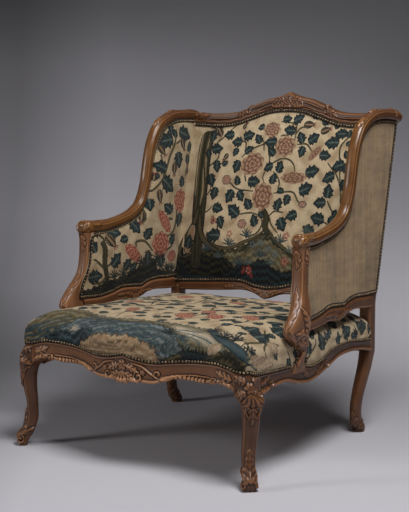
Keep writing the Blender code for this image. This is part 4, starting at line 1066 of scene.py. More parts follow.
@dataclass(frozen=True)
class Leaf(Motif):
    """A lobed leaf that grows from a place in a direction, with ribs."""

    turn: float = 0.0
    fullness: float = 0.42
    lobes: float = 3.5
    bend: float = 0.0

    def _local(self, s: Array, t: Array) -> tuple[Array, Array]:
        """Places along the leaf, from 0 at its stalk to 1 at its tip, and across.

        Args:
            s: Places along the surface, in metres.
            t: Places across it.

        Returns:
            The share along and the share across.
        """
        c, k = math.cos(self.turn), math.sin(self.turn)
        along = ((s - self.at[0]) * c + (t - self.at[1]) * k) / self.reach
        across = ((t - self.at[1]) * c - (s - self.at[0]) * k) / self.reach
        return along, across - self.bend * along * along

    def depth(self, s: Array, t: Array) -> Array:
        """How deep inside the leaf the places lie.

        Args:
            s: Places along the surface, in metres.
            t: Places across it.

        Returns:
            The depth at each place, in metres, minus outside.
        """
        along, across = self._local(s, t)
        inside = np.clip(along, 0.0, 1.0)
        body = np.sin(np.pi * inside ** 0.75) ** 0.8
        lobe = 0.70 + 0.30 * np.abs(np.sin(np.pi * self.lobes * inside))
        wide = self.fullness * body * lobe
        past = np.maximum(-along, along - 1.0)
        return (np.minimum(wide - np.abs(across), 0.5)
                - np.maximum(past, 0.0)) * self.reach * 0.8

    def relief(self, s: Array, t: Array, depth: Array) -> Array:
        """A leaf cut with a middle rib and slanting side ribs.

        Args:
            s: Places along the surface, in metres.
            t: Places across it.
            depth: How deep inside the shape the places lie.

        Returns:
            A height from 0 to 1 at each place.
        """
        along, across = self._local(s, t)
        rib = np.exp(-(across / 0.05) ** 2)
        veins = 0.5 + 0.5 * np.cos(np.pi * 2 * self.lobes * (along - np.abs(across)))
        body = np.clip(depth / (self.reach * 0.12), 0.0, 1.0) ** 0.5
        return body * (0.55 + 0.25 * veins) + 0.35 * rib * body


@dataclass(frozen=True)
class Flower(Motif):
    """An open flower with petals round a heart, wider than high where it says."""

    petals: int = 6
    turn: float = 0.0
    height: float = 1.0

    def _polar(self, s: Array, t: Array) -> tuple[Array, Array]:
        """Distance from the heart as a share of the reach, and the angle.

        Args:
            s: Places along the surface, in metres.
            t: Places across it.

        Returns:
            The distance and the angle.
        """
        c, k = math.cos(self.turn), math.sin(self.turn)
        u = ((s - self.at[0]) * c + (t - self.at[1]) * k) / self.reach
        v = ((t - self.at[1]) * c - (s - self.at[0]) * k) / (self.reach * self.height)
        return np.hypot(u, v), np.arctan2(v, u)

    def depth(self, s: Array, t: Array) -> Array:
        """How deep inside the flower the places lie.

        Args:
            s: Places along the surface, in metres.
            t: Places across it.

        Returns:
            The depth at each place, in metres, minus outside.
        """
        far, angle = self._polar(s, t)
        rim = 0.86 + 0.14 * np.abs(np.cos(angle * self.petals / 2))
        return (rim - far) * self.reach * min(1.0, self.height)

    def relief(self, s: Array, t: Array, depth: Array) -> Array:
        """Two rows of petals with grooves between them and a raised heart.

        Args:
            s: Places along the surface, in metres.
            t: Places across it.
            depth: How deep inside the shape the places lie.

        Returns:
            A height from 0 to 1 at each place.
        """
        far, angle = self._polar(s, t)
        outer = np.abs(np.cos(angle * self.petals / 2)) ** 0.5
        inner = np.abs(np.sin(angle * self.petals / 2)) ** 0.5
        heart = np.clip(1 - (far / 0.24) ** 2, 0.0, 1.0) ** 0.5
        cup = np.where(far < 0.55, 0.35 + 0.65 * inner * ramp(far, 0.2, 0.45), outer)
        step = np.where(far < 0.55, 1.0, 0.72)
        body = np.clip(depth / (self.reach * 0.15), 0.0, 1.0) ** 0.5
        return np.maximum(body * cup * step, heart)


@dataclass(frozen=True)
class Shell(Motif):
    """A fluted shell that opens from its root in a direction."""

    turn: float = math.pi / 2
    spread: float = 1.25
    ribs: int = 7

    def depth(self, s: Array, t: Array) -> Array:
        """How deep inside the shell the places lie.

        Args:
            s: Places along the surface, in metres.
            t: Places across it.

        Returns:
            The depth at each place, in metres, minus outside.
        """
        far = np.hypot(s - self.at[0], t - self.at[1])
        angle = np.arctan2(t - self.at[1], s - self.at[0]) - self.turn
        angle = np.abs((angle + np.pi) % (2 * np.pi) - np.pi)
        rim = self.reach * (0.9 + 0.1 * np.abs(np.cos(angle * self.ribs / self.spread)))
        return np.minimum(rim - far, (self.spread - angle) * np.maximum(far, 0.001))

    def relief(self, s: Array, t: Array, depth: Array) -> Array:
        """Flutes that widen from the root to the rim.

        Args:
            s: Places along the surface, in metres.
            t: Places across it.
            depth: How deep inside the shape the places lie.

        Returns:
            A height from 0 to 1 at each place.
        """
        far = np.hypot(s - self.at[0], t - self.at[1]) / self.reach
        angle = np.arctan2(t - self.at[1], s - self.at[0]) - self.turn
        angle = (angle + np.pi) % (2 * np.pi) - np.pi
        flute = np.abs(np.cos(angle * self.ribs / self.spread)) ** 0.6
        body = np.clip(depth / (self.reach * 0.12), 0.0, 1.0) ** 0.5
        return body * (0.35 + 0.65 * flute * ramp(far, 0.05, 0.5))


@dataclass(frozen=True)
class Hillock(Motif):
    """Ground below an uneven line: rows of place and height, in metres."""

    line: tuple[tuple[float, float], ...] = ()

    def depth(self, s: Array, t: Array) -> Array:
        """How far below the line the places lie."""
        tuft = 0.003 * np.sin(s * 310.0) + 0.002 * np.sin(s * 173.0 + 1.0)
        return smooth(self.line, s) + tuft - t

    def relief(self, s: Array, t: Array, depth: Array) -> Array:
        """Bands that follow the line."""
        return 0.5 + 0.5 * np.sin(depth * 260.0 + 2.0 * np.sin(s * 60.0))


def scroll(at: tuple[float, float], radius: float, start: float, turns: float,
           width: float) -> Stroke:
    """A spiral stroke that winds in from its rim.

    Args:
        at: The spiral's eye.
        radius: How far its rim is from the eye.
        start: The rim's angle, in radians.
        turns: How far it winds, in whole turns, minus for clockwise.
        width: The stroke's width.

    Returns:
        The stroke.
    """
    steps = np.linspace(0.0, 1.0, 12)
    angle = start + math.tau * turns * steps
    far = radius * (1 - 0.82 * steps)
    points = np.stack((at[0] + far * np.cos(angle), at[1] + far * np.sin(angle)), axis=-1)
    return Stroke.through(points, width, 0.45)


def mirrored(motif: Motif) -> Motif:
    """The same motif on the other side of the line s = 0.

    Args:
        motif: The motif to turn over.

    Returns:
        A motif of the same kind.
    """
    changes = {"at": (-motif.at[0], motif.at[1])}
    if isinstance(motif, Stroke):
        changes["points"] = tuple((-s, t) for s, t in motif.points)
    if isinstance(motif, (Leaf, Shell, Flower)):
        changes["turn"] = math.pi - motif.turn
    if isinstance(motif, Leaf):
        changes["bend"] = -motif.bend
    values = {name: getattr(motif, name) for name in motif.__dataclass_fields__}
    return type(motif)(**{**values, **changes})


def both_sides(motifs: Iterable[Motif]) -> list[Motif]:
    """The motifs with their mirror images."""
    found = list(motifs)
    return found + [mirrored(motif) for motif in found]


def free_of(distance: Array, start: float = 0.0005) -> Array:
    """0 at an edge that stays as it is, 1 from 4 mm away from it."""
    return ramp(distance, start, 0.004)


def carve(s: Array, t: Array, motifs: Iterable[Motif], height: float) -> Array:
    """Relief of motifs on a surface.

    Args:
        s: Places along the surface, in metres.
        t: Places across it.
        motifs: What is carved on it.
        height: How far a motif stands proud.

    Returns:
        The relief at each place, in metres.
    """
    relief = np.zeros(s.shape)
    for motif in motifs:
        near = (np.abs(s - motif.at[0]) < motif.reach * 1.3) & (
            np.abs(t - motif.at[1]) < motif.reach * 1.3)
        if near.any():
            depth = motif.depth(s[near], t[near])
            raised = motif.relief(s[near], t[near], depth) * (depth > 0)
            relief[near] = np.maximum(relief[near], raised * height)
            groove = np.exp(-(depth / 0.0016) ** 2) * (depth < 0.0006)
            relief[near] -= groove * height * 0.22 * (relief[near] < height * 0.2)
    return relief


class Thread(Enum):
    """Wool colours of the needlework, as linear light."""

    CREAM = (0.60, 0.475, 0.31)
    TAN = (0.32, 0.205, 0.115)
    SAND = (0.43, 0.315, 0.19)
    TEAL = (0.014, 0.027, 0.029)
    VEIN = (0.105, 0.135, 0.118)
    NIGHT = (0.006, 0.007, 0.008)
    BLUE = (0.050, 0.076, 0.086)
    SKY = (0.16, 0.18, 0.175)
    MOSS = (0.028, 0.027, 0.012)
    OLIVE = (0.104, 0.080, 0.037)
    LICHEN = (0.19, 0.165, 0.100)
    BARK = (0.036, 0.027, 0.018)
    STEM = (0.021, 0.027, 0.015)
    SALMON = (0.150, 0.072, 0.044)
    BLUSH = (0.47, 0.285, 0.188)
    ROSE = (0.25, 0.050, 0.030)
    PINK = (0.55, 0.265, 0.175)
    RED = (0.25, 0.032, 0.030)
    PALE = (0.46, 0.38, 0.28)


@dataclass(frozen=True)
class WoolLeaf(Leaf):
    """A leaf with pointed teeth, dark, with a pale rib and pale veins."""

    def depth(self, s: Array, t: Array) -> Array:
        """How deep inside the toothed leaf the places lie.

        Args:
            s: Places along the surface, in metres.
            t: Places across it.

        Returns:
            The depth at each place, in metres, minus outside.
        """
        along, across = self._local(s, t)
        inside = np.clip(along, 0.0, 1.0)
        body = np.sin(np.pi * inside ** 0.72) ** 0.7
        tooth = ((along + 0.55 * np.abs(across)) * self.lobes) % 1.0
        wide = self.fullness * body * (0.62 + 0.46 * tooth)
        past = np.maximum(-along, along - 1.0)
        return (np.minimum(wide - np.abs(across), 0.5)
                - np.maximum(past, 0.0)) * self.reach * 0.8

    def relief(self, s: Array, t: Array, depth: Array) -> Array:
        """The rib and the side veins.

        Args:
            s: Places along the surface, in metres.
            t: Places across it.
            depth: How deep inside the shape the places lie; it is not used.

        Returns:
            A height from 0 to 1 at each place.
        """
        along, across = self._local(s, t)
        rib = np.exp(-(across / 0.055) ** 2) * ramp(0.85 - along, 0.0, 0.2)
        vein = ((along - 0.8 * np.abs(across)) * self.lobes) % 1.0
        return np.maximum(rib, 0.62 * np.exp(-((vein - 0.5) / 0.13) ** 2))


@dataclass(frozen=True)
class WoolBud(Leaf):
    """A closed bud with stripes along it."""

    def depth(self, s: Array, t: Array) -> Array:
        """How deep inside the bud the places lie.

        Args:
            s: Places along the surface, in metres.
            t: Places across it.

        Returns:
            The depth at each place, in metres, minus outside.
        """
        along, across = self._local(s, t)
        body = np.sin(np.pi * np.clip(along, 0.0, 1.0) ** 0.8) ** 0.6
        past = np.maximum(np.maximum(-along, along - 1.0), 0.0)
        return (self.fullness * body - np.abs(across) - past) * self.reach * 0.85

    def relief(self, s: Array, t: Array, depth: Array) -> Array:
        """Stripes that meet at both ends.

        Args:
            s: Places along the surface, in metres.
            t: Places across it.
            depth: How deep inside the shape the places lie; it is not used.

        Returns:
            A height from 0 to 1 at each place.
        """
        along, across = self._local(s, t)
        body = np.sin(np.pi * np.clip(along, 0.02, 0.98)) ** 0.5
        return 0.5 + 0.5 * np.cos(across / body * 21.0)


@dataclass(frozen=True)
class WoolFlower(Flower):
    """A full flower of many small petals in rows."""

    def relief(self, s: Array, t: Array, depth: Array) -> Array:
        """Rows of petals, each paler towards its rim.

        Args:
            s: Places along the surface, in metres.
            t: Places across it.
            depth: How deep inside the shape the places lie; it is not used.

        Returns:
            A height from 0 to 1 at each place.
        """
        far, angle = self._polar(s, t)
        row = far * 3.3 + 0.12 * np.sin(angle * 3.0)
        petal = np.abs(np.cos(angle * self.petals / 2 + np.floor(row) * 1.9)) ** 0.6
        return (0.25 + 0.75 * petal) * (0.25 + 0.85 * (row % 1.0))


@dataclass
class Canvas:
    """Flat places on a cloth, and what is stitched there."""

    s: Array
    t: Array
    band: float = 0.003
    ground: float = 1.0
    under: Array = field(init=False)
    over: Array = field(init=False)
    edge: Array = field(init=False)

    def __post_init__(self) -> None:
        """Start with bare ground, cream with tan clouds."""
        cloud = (np.sin(self.s * 61 + 2 * np.sin(self.t * 47))
                 + np.sin(self.t * 83 + 2 * np.sin(self.s * 71 + 1.0)))
        self.under = self.ground * lerp(
            np.array(Thread.CREAM.value), np.array(Thread.SAND.value),
            ramp(cloud, -0.6, 2.2)[..., None])
        self.over = self.under.copy()
        self.edge = np.full(self.s.shape, -1.0)

    def now(self) -> Array:
        """The colour that shows at each place."""
        return np.where((self.edge > 0)[..., None], self.over, self.under)

    def lay(self, motif: Motif, body: Thread, detail: Thread, ink: Thread,
            outline: float = 0.0016) -> None:
        """Stitch one motif over what is there.

        Args:
            motif: Its shape.
            body: The colour of most of it.
            detail: The colour of its raised stitches.
            ink: The colour of its outline.
            outline: The outline's width.
        """
        span = motif.reach * 1.3 + self.band
        near = np.ones(self.s.shape, dtype=bool)
        if motif.reach < 1.0:
            near = (np.abs(self.s - motif.at[0]) < span) & (
                np.abs(self.t - motif.at[1]) < span)
        if not near.any():
            return
        s, t = self.s[near], self.t[near]
        depth = motif.depth(s, t)
        relief = np.clip(motif.relief(s, t, depth), 0.0, 1.0)[..., None]
        colour = lerp(np.array(body.value), np.array(detail.value), ramp(relief, 0.3, 0.9))
        rim = ramp(outline - depth, -0.0006, 0.0006)[..., None]
        colour = lerp(colour, np.array(ink.value), rim)
        changed = depth > -self.band
        shown = self.now()[near]
        under, over, edge = self.under[near], self.over[near], self.edge[near]
        under[changed], over[changed] = shown[changed], colour[changed]
        edge[changed] = depth[changed]
        self.under[near], self.over[near], self.edge[near] = under, over, edge


Place = tuple[float, float]
Line = Sequence[Place]


def metres(places: Iterable[Place]) -> tuple[Place, ...]:
    """Places given in millimetres, in metres."""
    return tuple((s / MM, t / MM) for s, t in places)


@dataclass
class Garden:
    """A needlework picture, kept as motifs in the order in which they are stitched.

    Its tables are in millimetres; add alone takes metres.
    """

    ground: float = 1.0
    leaf_size: float = 1.08
    stitches: list[tuple[Motif, Thread, Thread, Thread, float]] = field(
        default_factory=list)

    def add(self, motif: Motif, body: Thread, detail: Thread, ink: Thread,
            outline: float = 0.0016) -> None:
        """Keep one motif with its wool; Canvas.lay says what each value is."""
        self.stitches.append((motif, body, detail, ink, outline))

    def hill(self, line: Line, body: Thread, detail: Thread,
             ink: Thread = Thread.NIGHT) -> None:
        """Ground below a line."""
        self.add(Hillock((0.0, 9.0), 9.9, metres(line)), body, detail, ink, 0.0035)

    def line(self, points: Line, width: float, body: Thread, detail: Thread,
             tips: float = 0.5) -> None:
        """A line through points, without an outline."""
        self.add(Stroke.through(metres(points), width / MM, tips), body, detail, body, 0.0)

    def lines(self, width: float, rows: Iterable[Line], body: Thread,
              detail: Thread) -> None:
        """Lines of one width."""
        for points in rows:
            self.line(points, width, body, detail)

    def limbs(self, width: float, rows: Iterable[Line], outline: float,
              tips: float = 0.5, body: Thread = Thread.STEM,
              detail: Thread = Thread.OLIVE) -> None:
        """Strokes of one width with a dark outline.

        Args:
            width: Their width.
            rows: The places along each stroke's middle.
            outline: The dark outline's width.
            tips: The share of the width at the ends.
            body: The strokes' colour.
            detail: Their middles' colour.
        """
        for points in rows:
            self.add(Stroke.through(metres(points), width / MM, tips), body, detail,
                     Thread.NIGHT, outline / MM)

    def trunk(self, points: Line, width: float) -> None:
        """A trunk: dark edges and pale bark lines along it.

        Args:
            points: Places along its middle.
            width: Its width.
        """
        self.limbs(width, (points,), 3, 0.8, Thread.BARK, Thread.STEM)
        line = np.array(points, dtype=float)
        along = unit(np.gradient(line, axis=0))
        across = np.stack((-along[:, 1], along[:, 0]), axis=-1) * width
        for share, size in ((-0.24, 0.16), (0.06, 0.20), (0.27, 0.11)):
            self.line(tuple(map(tuple, line + across * share)), width * size,
                      Thread.MOSS, Thread.OLIVE)

    def stems(self, width: float, rows: Iterable[Line]) -> None:
        """Stems of one width.

        Args:
            width: Their width.
            rows: The places along each stem.
        """
        for points in rows:
            self.add(Stroke.through(metres(points), width / MM, 0.6), Thread.STEM,
                     Thread.OLIVE, Thread.STEM, 0.0012)

    def leaves(self, rows: Iterable[tuple[float, float, float, float]]) -> None:
        """Leaves: place of the stalk, direction in degrees and length.

        Args:
            rows: One row for each leaf.
        """
        for s, t, turn, length in rows:
            s, t = s / MM, t / MM
            leaf = WoolLeaf((s, t), length / MM * self.leaf_size, math.radians(turn), 0.47,
                            3.4, 0.15 * math.sin(s * 900 + t * 700))
            self.add(leaf, Thread.TEAL, Thread.VEIN, Thread.NIGHT, 0.0022)

    def buds(self, rows: Iterable[tuple[float, float, float, float]]) -> None:
        """Buds with a ragged tip: stalk, direction in degrees and length.

        Args:
            rows: One row for each bud.
        """
        for s, t, turn, length in rows:
            angle = math.radians(turn)
            tip = (s + length * 0.8 * math.cos(angle), t + length * 0.8 * math.sin(angle))
            for bent in (-0.7, -0.25, 0.25, 0.7):
                end = (tip[0] + length * 0.36 * math.cos(angle + bent),
                       tip[1] + length * 0.36 * math.sin(angle + bent))
                self.line((tip, end), 3.4, Thread.BARK, Thread.ROSE)
            bud = WoolBud((s / MM, t / MM), length / MM * 0.92, angle, 0.34)
            self.add(bud, Thread.BARK, Thread.TAN, Thread.TEAL, 0.0030)

    def flowers(self, rows: Iterable[tuple[float, float, float, float, float]],
                body: Thread, detail: Thread, ink: Thread) -> None:
        """Flowers: place, reach, turn in radians, and height as a share of width.

        Args:
            rows: One row for each flower.
            body: The petals' colour.
            detail: The colour of their rims.
            ink: The outline's colour.
        """
        for s, t, reach, turn, height in rows:
            flower = WoolFlower((s / MM, t / MM), reach / MM, 8 if reach > 30 else 6,
                                turn, height)
            self.add(flower, body, detail, ink, 0.0018)

    def tufts(self, places: Iterable[Place], size: float, body: Thread,
              detail: Thread) -> None:
        """Fans of pointed blades.

        Args:
            places: Their roots.
            size: A blade's length.
            body: The blades' colour.
            detail: Their middles' colour.
        """
        size /= MM
        for place in metres(places):
            for share in (-1.3, -0.85, -0.45, -0.1, 0.3, 0.7, 1.15):
                tip = (place[0] + size * math.sin(share),
                       place[1] + size * math.cos(share) * (0.85 + 0.15 * (share < 0)))
                middle = (lerp(place[0], tip[0], 0.5), lerp(place[1], tip[1], 0.6))
                blade = Stroke.through((place, middle, tip), size * 0.17, 0.35)
                self.add(blade, body, detail, body, 0.0)

    def sprigs(self, places: Iterable[Place], body: Thread, detail: Thread) -> None:
        """Small flowers of five dots.

        Args:
            places: Their middles.
            body: The dots' colour.
            detail: Their middles' colour.
        """
        for s, t in metres(places):
            for step in range(5):
                angle = step * math.tau / 5 + s * 40
                dot = Motif((s + 0.0078 * math.cos(angle), t + 0.0078 * math.sin(angle)),
                            0.0042)
                self.add(dot, body, detail, body, 0.0)

    def scatter(self, corner: Place, size: Place, pitch: float, seed: int) -> None:
        """Leaves strewn over a field, clear of what is stitched there already.

        Args:
            corner: The field's lower left corner.
            size: Its width and height.
            pitch: How far apart the leaves are.
            seed: The seed of their places.
        """
        chance = np.random.default_rng(seed)
        taken = [(motif.at, motif.reach * (0.5 if isinstance(motif, Leaf) else 1.0))
                 for motif, *_ in self.stitches if motif.reach < 1.0
                 and not isinstance(motif, Stroke)]
        rows = []
        for column in range(int(size[0] / pitch)):
            for row in range(int(size[1] / pitch)):
                shift = chance.random(4)
                at = (corner[0] + pitch * (column + 0.5 * (row % 2) + 0.5 * shift[0]),
                      corner[1] + pitch * (row + 0.5 * shift[1]))
                turn, length = 360.0 * shift[2], pitch * (0.62 + 0.18 * shift[3])
                middle = ((at[0] + length / 2 * math.cos(math.radians(turn))) / MM,
                          (at[1] + length / 2 * math.sin(math.radians(turn))) / MM)
                if all(math.dist(middle, place) > reach + length / MM * 0.5
                       for place, reach in taken):
                    rows.append((*at, turn, length))
        self.leaves(rows)

    def paint(self, canvas: Canvas) -> None:
        """Stitch the whole picture on a canvas."""
        for stitch in self.stitches:
            canvas.lay(*stitch)


# Meshes


class Shape:
    """A mesh in the making: grids of points and the faces between them."""

    def __init__(self) -> None:
        """Start with nothing."""
        self.points: list[Array] = []
        self.faces: list[Sequence[int]] = []
        self.marks: list[dict[str, Array]] = []
        self.count = 0

    def grid(self, points: Array, closed: bool = False, **marks: Array) -> Array:
        """Add a grid of points with its faces.

        Args:
            points: Rows by columns by 3.
            closed: Whether the last column joins the first.
            marks: UV maps, colours and numbers at each point, by name.

        Returns:
            The points' indices, rows by columns.
        """
        rows, columns = points.shape[:2]
        index = self.count + np.arange(rows * columns).reshape(rows, columns)
        self.points.append(points.reshape(-1, 3))
        self.marks.append({name: np.asarray(value).reshape(rows * columns, -1)
                           for name, value in marks.items()})
        self.count += rows * columns
        beside = np.roll(index, -1, axis=1) if closed else index[:, 1:]
        here = index if closed else index[:, :-1]
        quads = np.stack((here[:-1], beside[:-1], beside[1:], here[1:]), axis=-1)
        self.faces += quads.reshape(-1, 4).tolist()
        return index

    def cap(self, loop: Array, turned: bool = False) -> None:
        """Close a loop of points with one face."""
        face = loop.tolist()
        self.faces.append(face[::-1] if turned else face)

    def bridge(self, first: Array, second: Array) -> None:
        """Join two equal closed loops of points with faces."""
        quads = np.stack((first, np.roll(first, -1), np.roll(second, -1), second), axis=-1)
        self.faces += quads.tolist()

    def volume(self, points: Array) -> float:
        """The closed shape's volume, minus if its faces point inwards.

        Args:
            points: All the shape's points.

        Returns:
            The volume in cubic metres.
        """
        total = 0.0
        quads = np.array([face for face in self.faces if len(face) == 4])
        middle = points.mean(axis=0)
        for a, b, c in ((0, 1, 2), (0, 2, 3)):
            corners = [points[quads[:, at]] - middle for at in (a, b, c)]
            total += float((corners[0] * np.cross(corners[1], corners[2])).sum())
        return total

    def build(self, name: str, finish: bpy.types.Material,
              turn_out: bool = True) -> bpy.types.Object:
        """Make the object.

        Args:
            name: The piece's name.
            finish: Its material.
            turn_out: Whether its faces are to be turned outwards.

        Returns:
            The finished object, linked to the scene.
        """
        points = np.concatenate(self.points)
        if turn_out and self.volume(points) < 0:
            self.faces = [face[::-1] for face in self.faces]
        mesh = bpy.data.meshes.new(name)
        mesh.from_pydata(points.tolist(), [], self.faces)
        corner = np.empty(len(mesh.loops), dtype=np.int32)
        mesh.loops.foreach_get("vertex_index", corner)
        for label in self.marks[0]:
            values = np.concatenate([marks[label] for marks in self.marks])
            if values.shape[1] == 2:
                layer = mesh.uv_layers.new(name=label)
                layer.data.foreach_set("uv", values[corner].astype(np.float32).ravel())
            elif values.shape[1] == 3:
                layer = mesh.color_attributes.new(label, "FLOAT_COLOR", "POINT")
                full = np.concatenate((values, np.ones((len(values), 1))), axis=1)
                layer.data.foreach_set("color", full.astype(np.float32).ravel())
            else:
                layer = mesh.attributes.new(label, "FLOAT", "POINT")
                layer.data.foreach_set("value", values.astype(np.float32).ravel())
        mesh.shade_smooth()
        mesh.set_sharp_from_angle(angle=math.radians(52))
        mesh.materials.append(finish)
        piece = bpy.data.objects.new(name, mesh)
        bpy.context.scene.collection.objects.link(piece)
        return piece


def eased(corners: Array, radius: float) -> Array:
    """Round the corners of closed sections by about a radius.

    Args:
        corners: Sections by corners by 3.
        radius: How far each corner is cut back.

    Returns:
        Sections with more points and softer corners.
    """
    for reach in (radius, radius * 0.45):
        after = np.roll(corners, -1, axis=1)
        span = np.linalg.norm(after - corners, axis=-1, keepdims=True)
        cut = np.minimum(reach / np.maximum(span, 1e-9), 0.33)
        pair = np.stack((lerp(corners, after, cut), lerp(corners, after, 1 - cut)), axis=2)
        corners = pair.reshape(corners.shape[0], -1, 3)
    return corners


def even_rings(sections: Array, count: int) -> Array:
    """Sections with a number of evenly spaced points each."""
    rings = [resample(np.vstack((ring, ring[:1])), count + 1)[:-1] for ring in sections]
    return np.array(rings)


def grid_normals(points: Array) -> Array:
    """Normals of rings of points, away from the rings' middles.

    Args:
        points: Rings by points by 3.

    Returns:
        A vector of length 1 for each point.
    """
    across = np.roll(points, -1, axis=1) - np.roll(points, 1, axis=1)
    normals = unit(np.cross(across, np.gradient(points, axis=0)))
    outward = points - points.mean(axis=1, keepdims=True)
    return normals if (normals * outward).sum() > 0 else -normals


def wear_of(points: Array, normals: Array, reach: int) -> Array:
    """How far each place stands proud of its surroundings: 0.5 where it is level.

    Args:
        points: Rings by points by 3.
        normals: The normals there.
        reach: How many points away its surroundings are.

    Returns:
        A number from 0 in a hollow to 1 on a ridge, for each point.
    """
    around = (np.roll(points, -reach, axis=1) + np.roll(points, reach, axis=1)) / 2
    padded = np.concatenate((np.repeat(points[:1], reach, axis=0), points,
                             np.repeat(points[-1:], reach, axis=0)))
    along = (padded[2 * reach:] + padded[:-2 * reach]) / 2
    proud = ((points - (around + along) / 2) * normals).sum(axis=-1)
    return np.clip(0.5 + proud / 0.0016, 0.0, 1.0)


@dataclass
class Bench:
    plan: Plan
    finishes: dict[str, bpy.types.Material]

    def placed(self, points: Array) -> Array:
        """Points of the plan, moved to where the frame stands."""
        return points + np.array((0.0, self.plan.shift, 0.0))

    def hand_over(self, piece: bpy.types.Object, slot: str = "",
                  nodes: Sequence[str] = ()) -> bpy.types.Object:
        """Args:
            piece: The finished piece.
            slot: The record's material slot, or nothing where it has none; it is not used.
            nodes: The frame's nodes that the piece stands for.

        Returns:
            The piece.
        """
        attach(piece, "root")
        if nodes:
            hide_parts(*nodes)
        log.info("%s: %d faces", piece.name, len(piece.data.polygons))
        return piece

    def timber(self, name: str, rings: Array, nodes: Sequence[str],
               finish: str = "walnut",
               carving: Callable[[Array, Array, Array], Array] | None = None,
               start: int = 0) -> bpy.types.Object:
        """A piece of wood from rings of points, carved where it is told.

        Args:
            name: The piece's name.
            rings: Rings by points by 3, in the plan's frame.
            nodes: The frame's nodes that it stands for.
            finish: Which finish it gets.
            carving: Gives the relief from the points, their normals and their way
                round the ring in metres from the starting point.
            start: The ring point from which the way round is measured.

        Returns:
            The finished piece.
        """
        normals = grid_normals(rings)
        legs = np.linalg.norm(np.roll(rings, -1, axis=1) - rings, axis=-1)
        around = np.cumsum(legs, axis=1) - legs
        centred = around - around[:, start:start + 1]
        total = legs.sum(axis=1, keepdims=True)
        centred = (centred + total / 2) % total - total / 2
        if carving:
            rings = rings + normals * carving(rings, normals, centred)[..., None]
            normals = grid_normals(rings)
        along = run_lengths(rings.mean(axis=1))[:, None] + np.zeros(around.shape)
        shape = Shape()
        # The proud share of each place sets real wear, a painted highlight on ridges and
        # patina in hollows.
        index = shape.grid(self.placed(rings), True, grain=np.stack((along, around), axis=-1),
                           wear=wear_of(rings, normals, 2))
        shape.cap(index[0], True)
        shape.cap(index[-1])
        return self.hand_over(shape.build(name, self.finishes[finish]), "carved_walnut",
                              nodes)


# The seat's frame


def moulding(t: Array, line: Array, width: float, height: float) -> Array:
    """A rounded ridge along a line across a surface."""
    return height * np.exp(-((t - line) / width) ** 2)


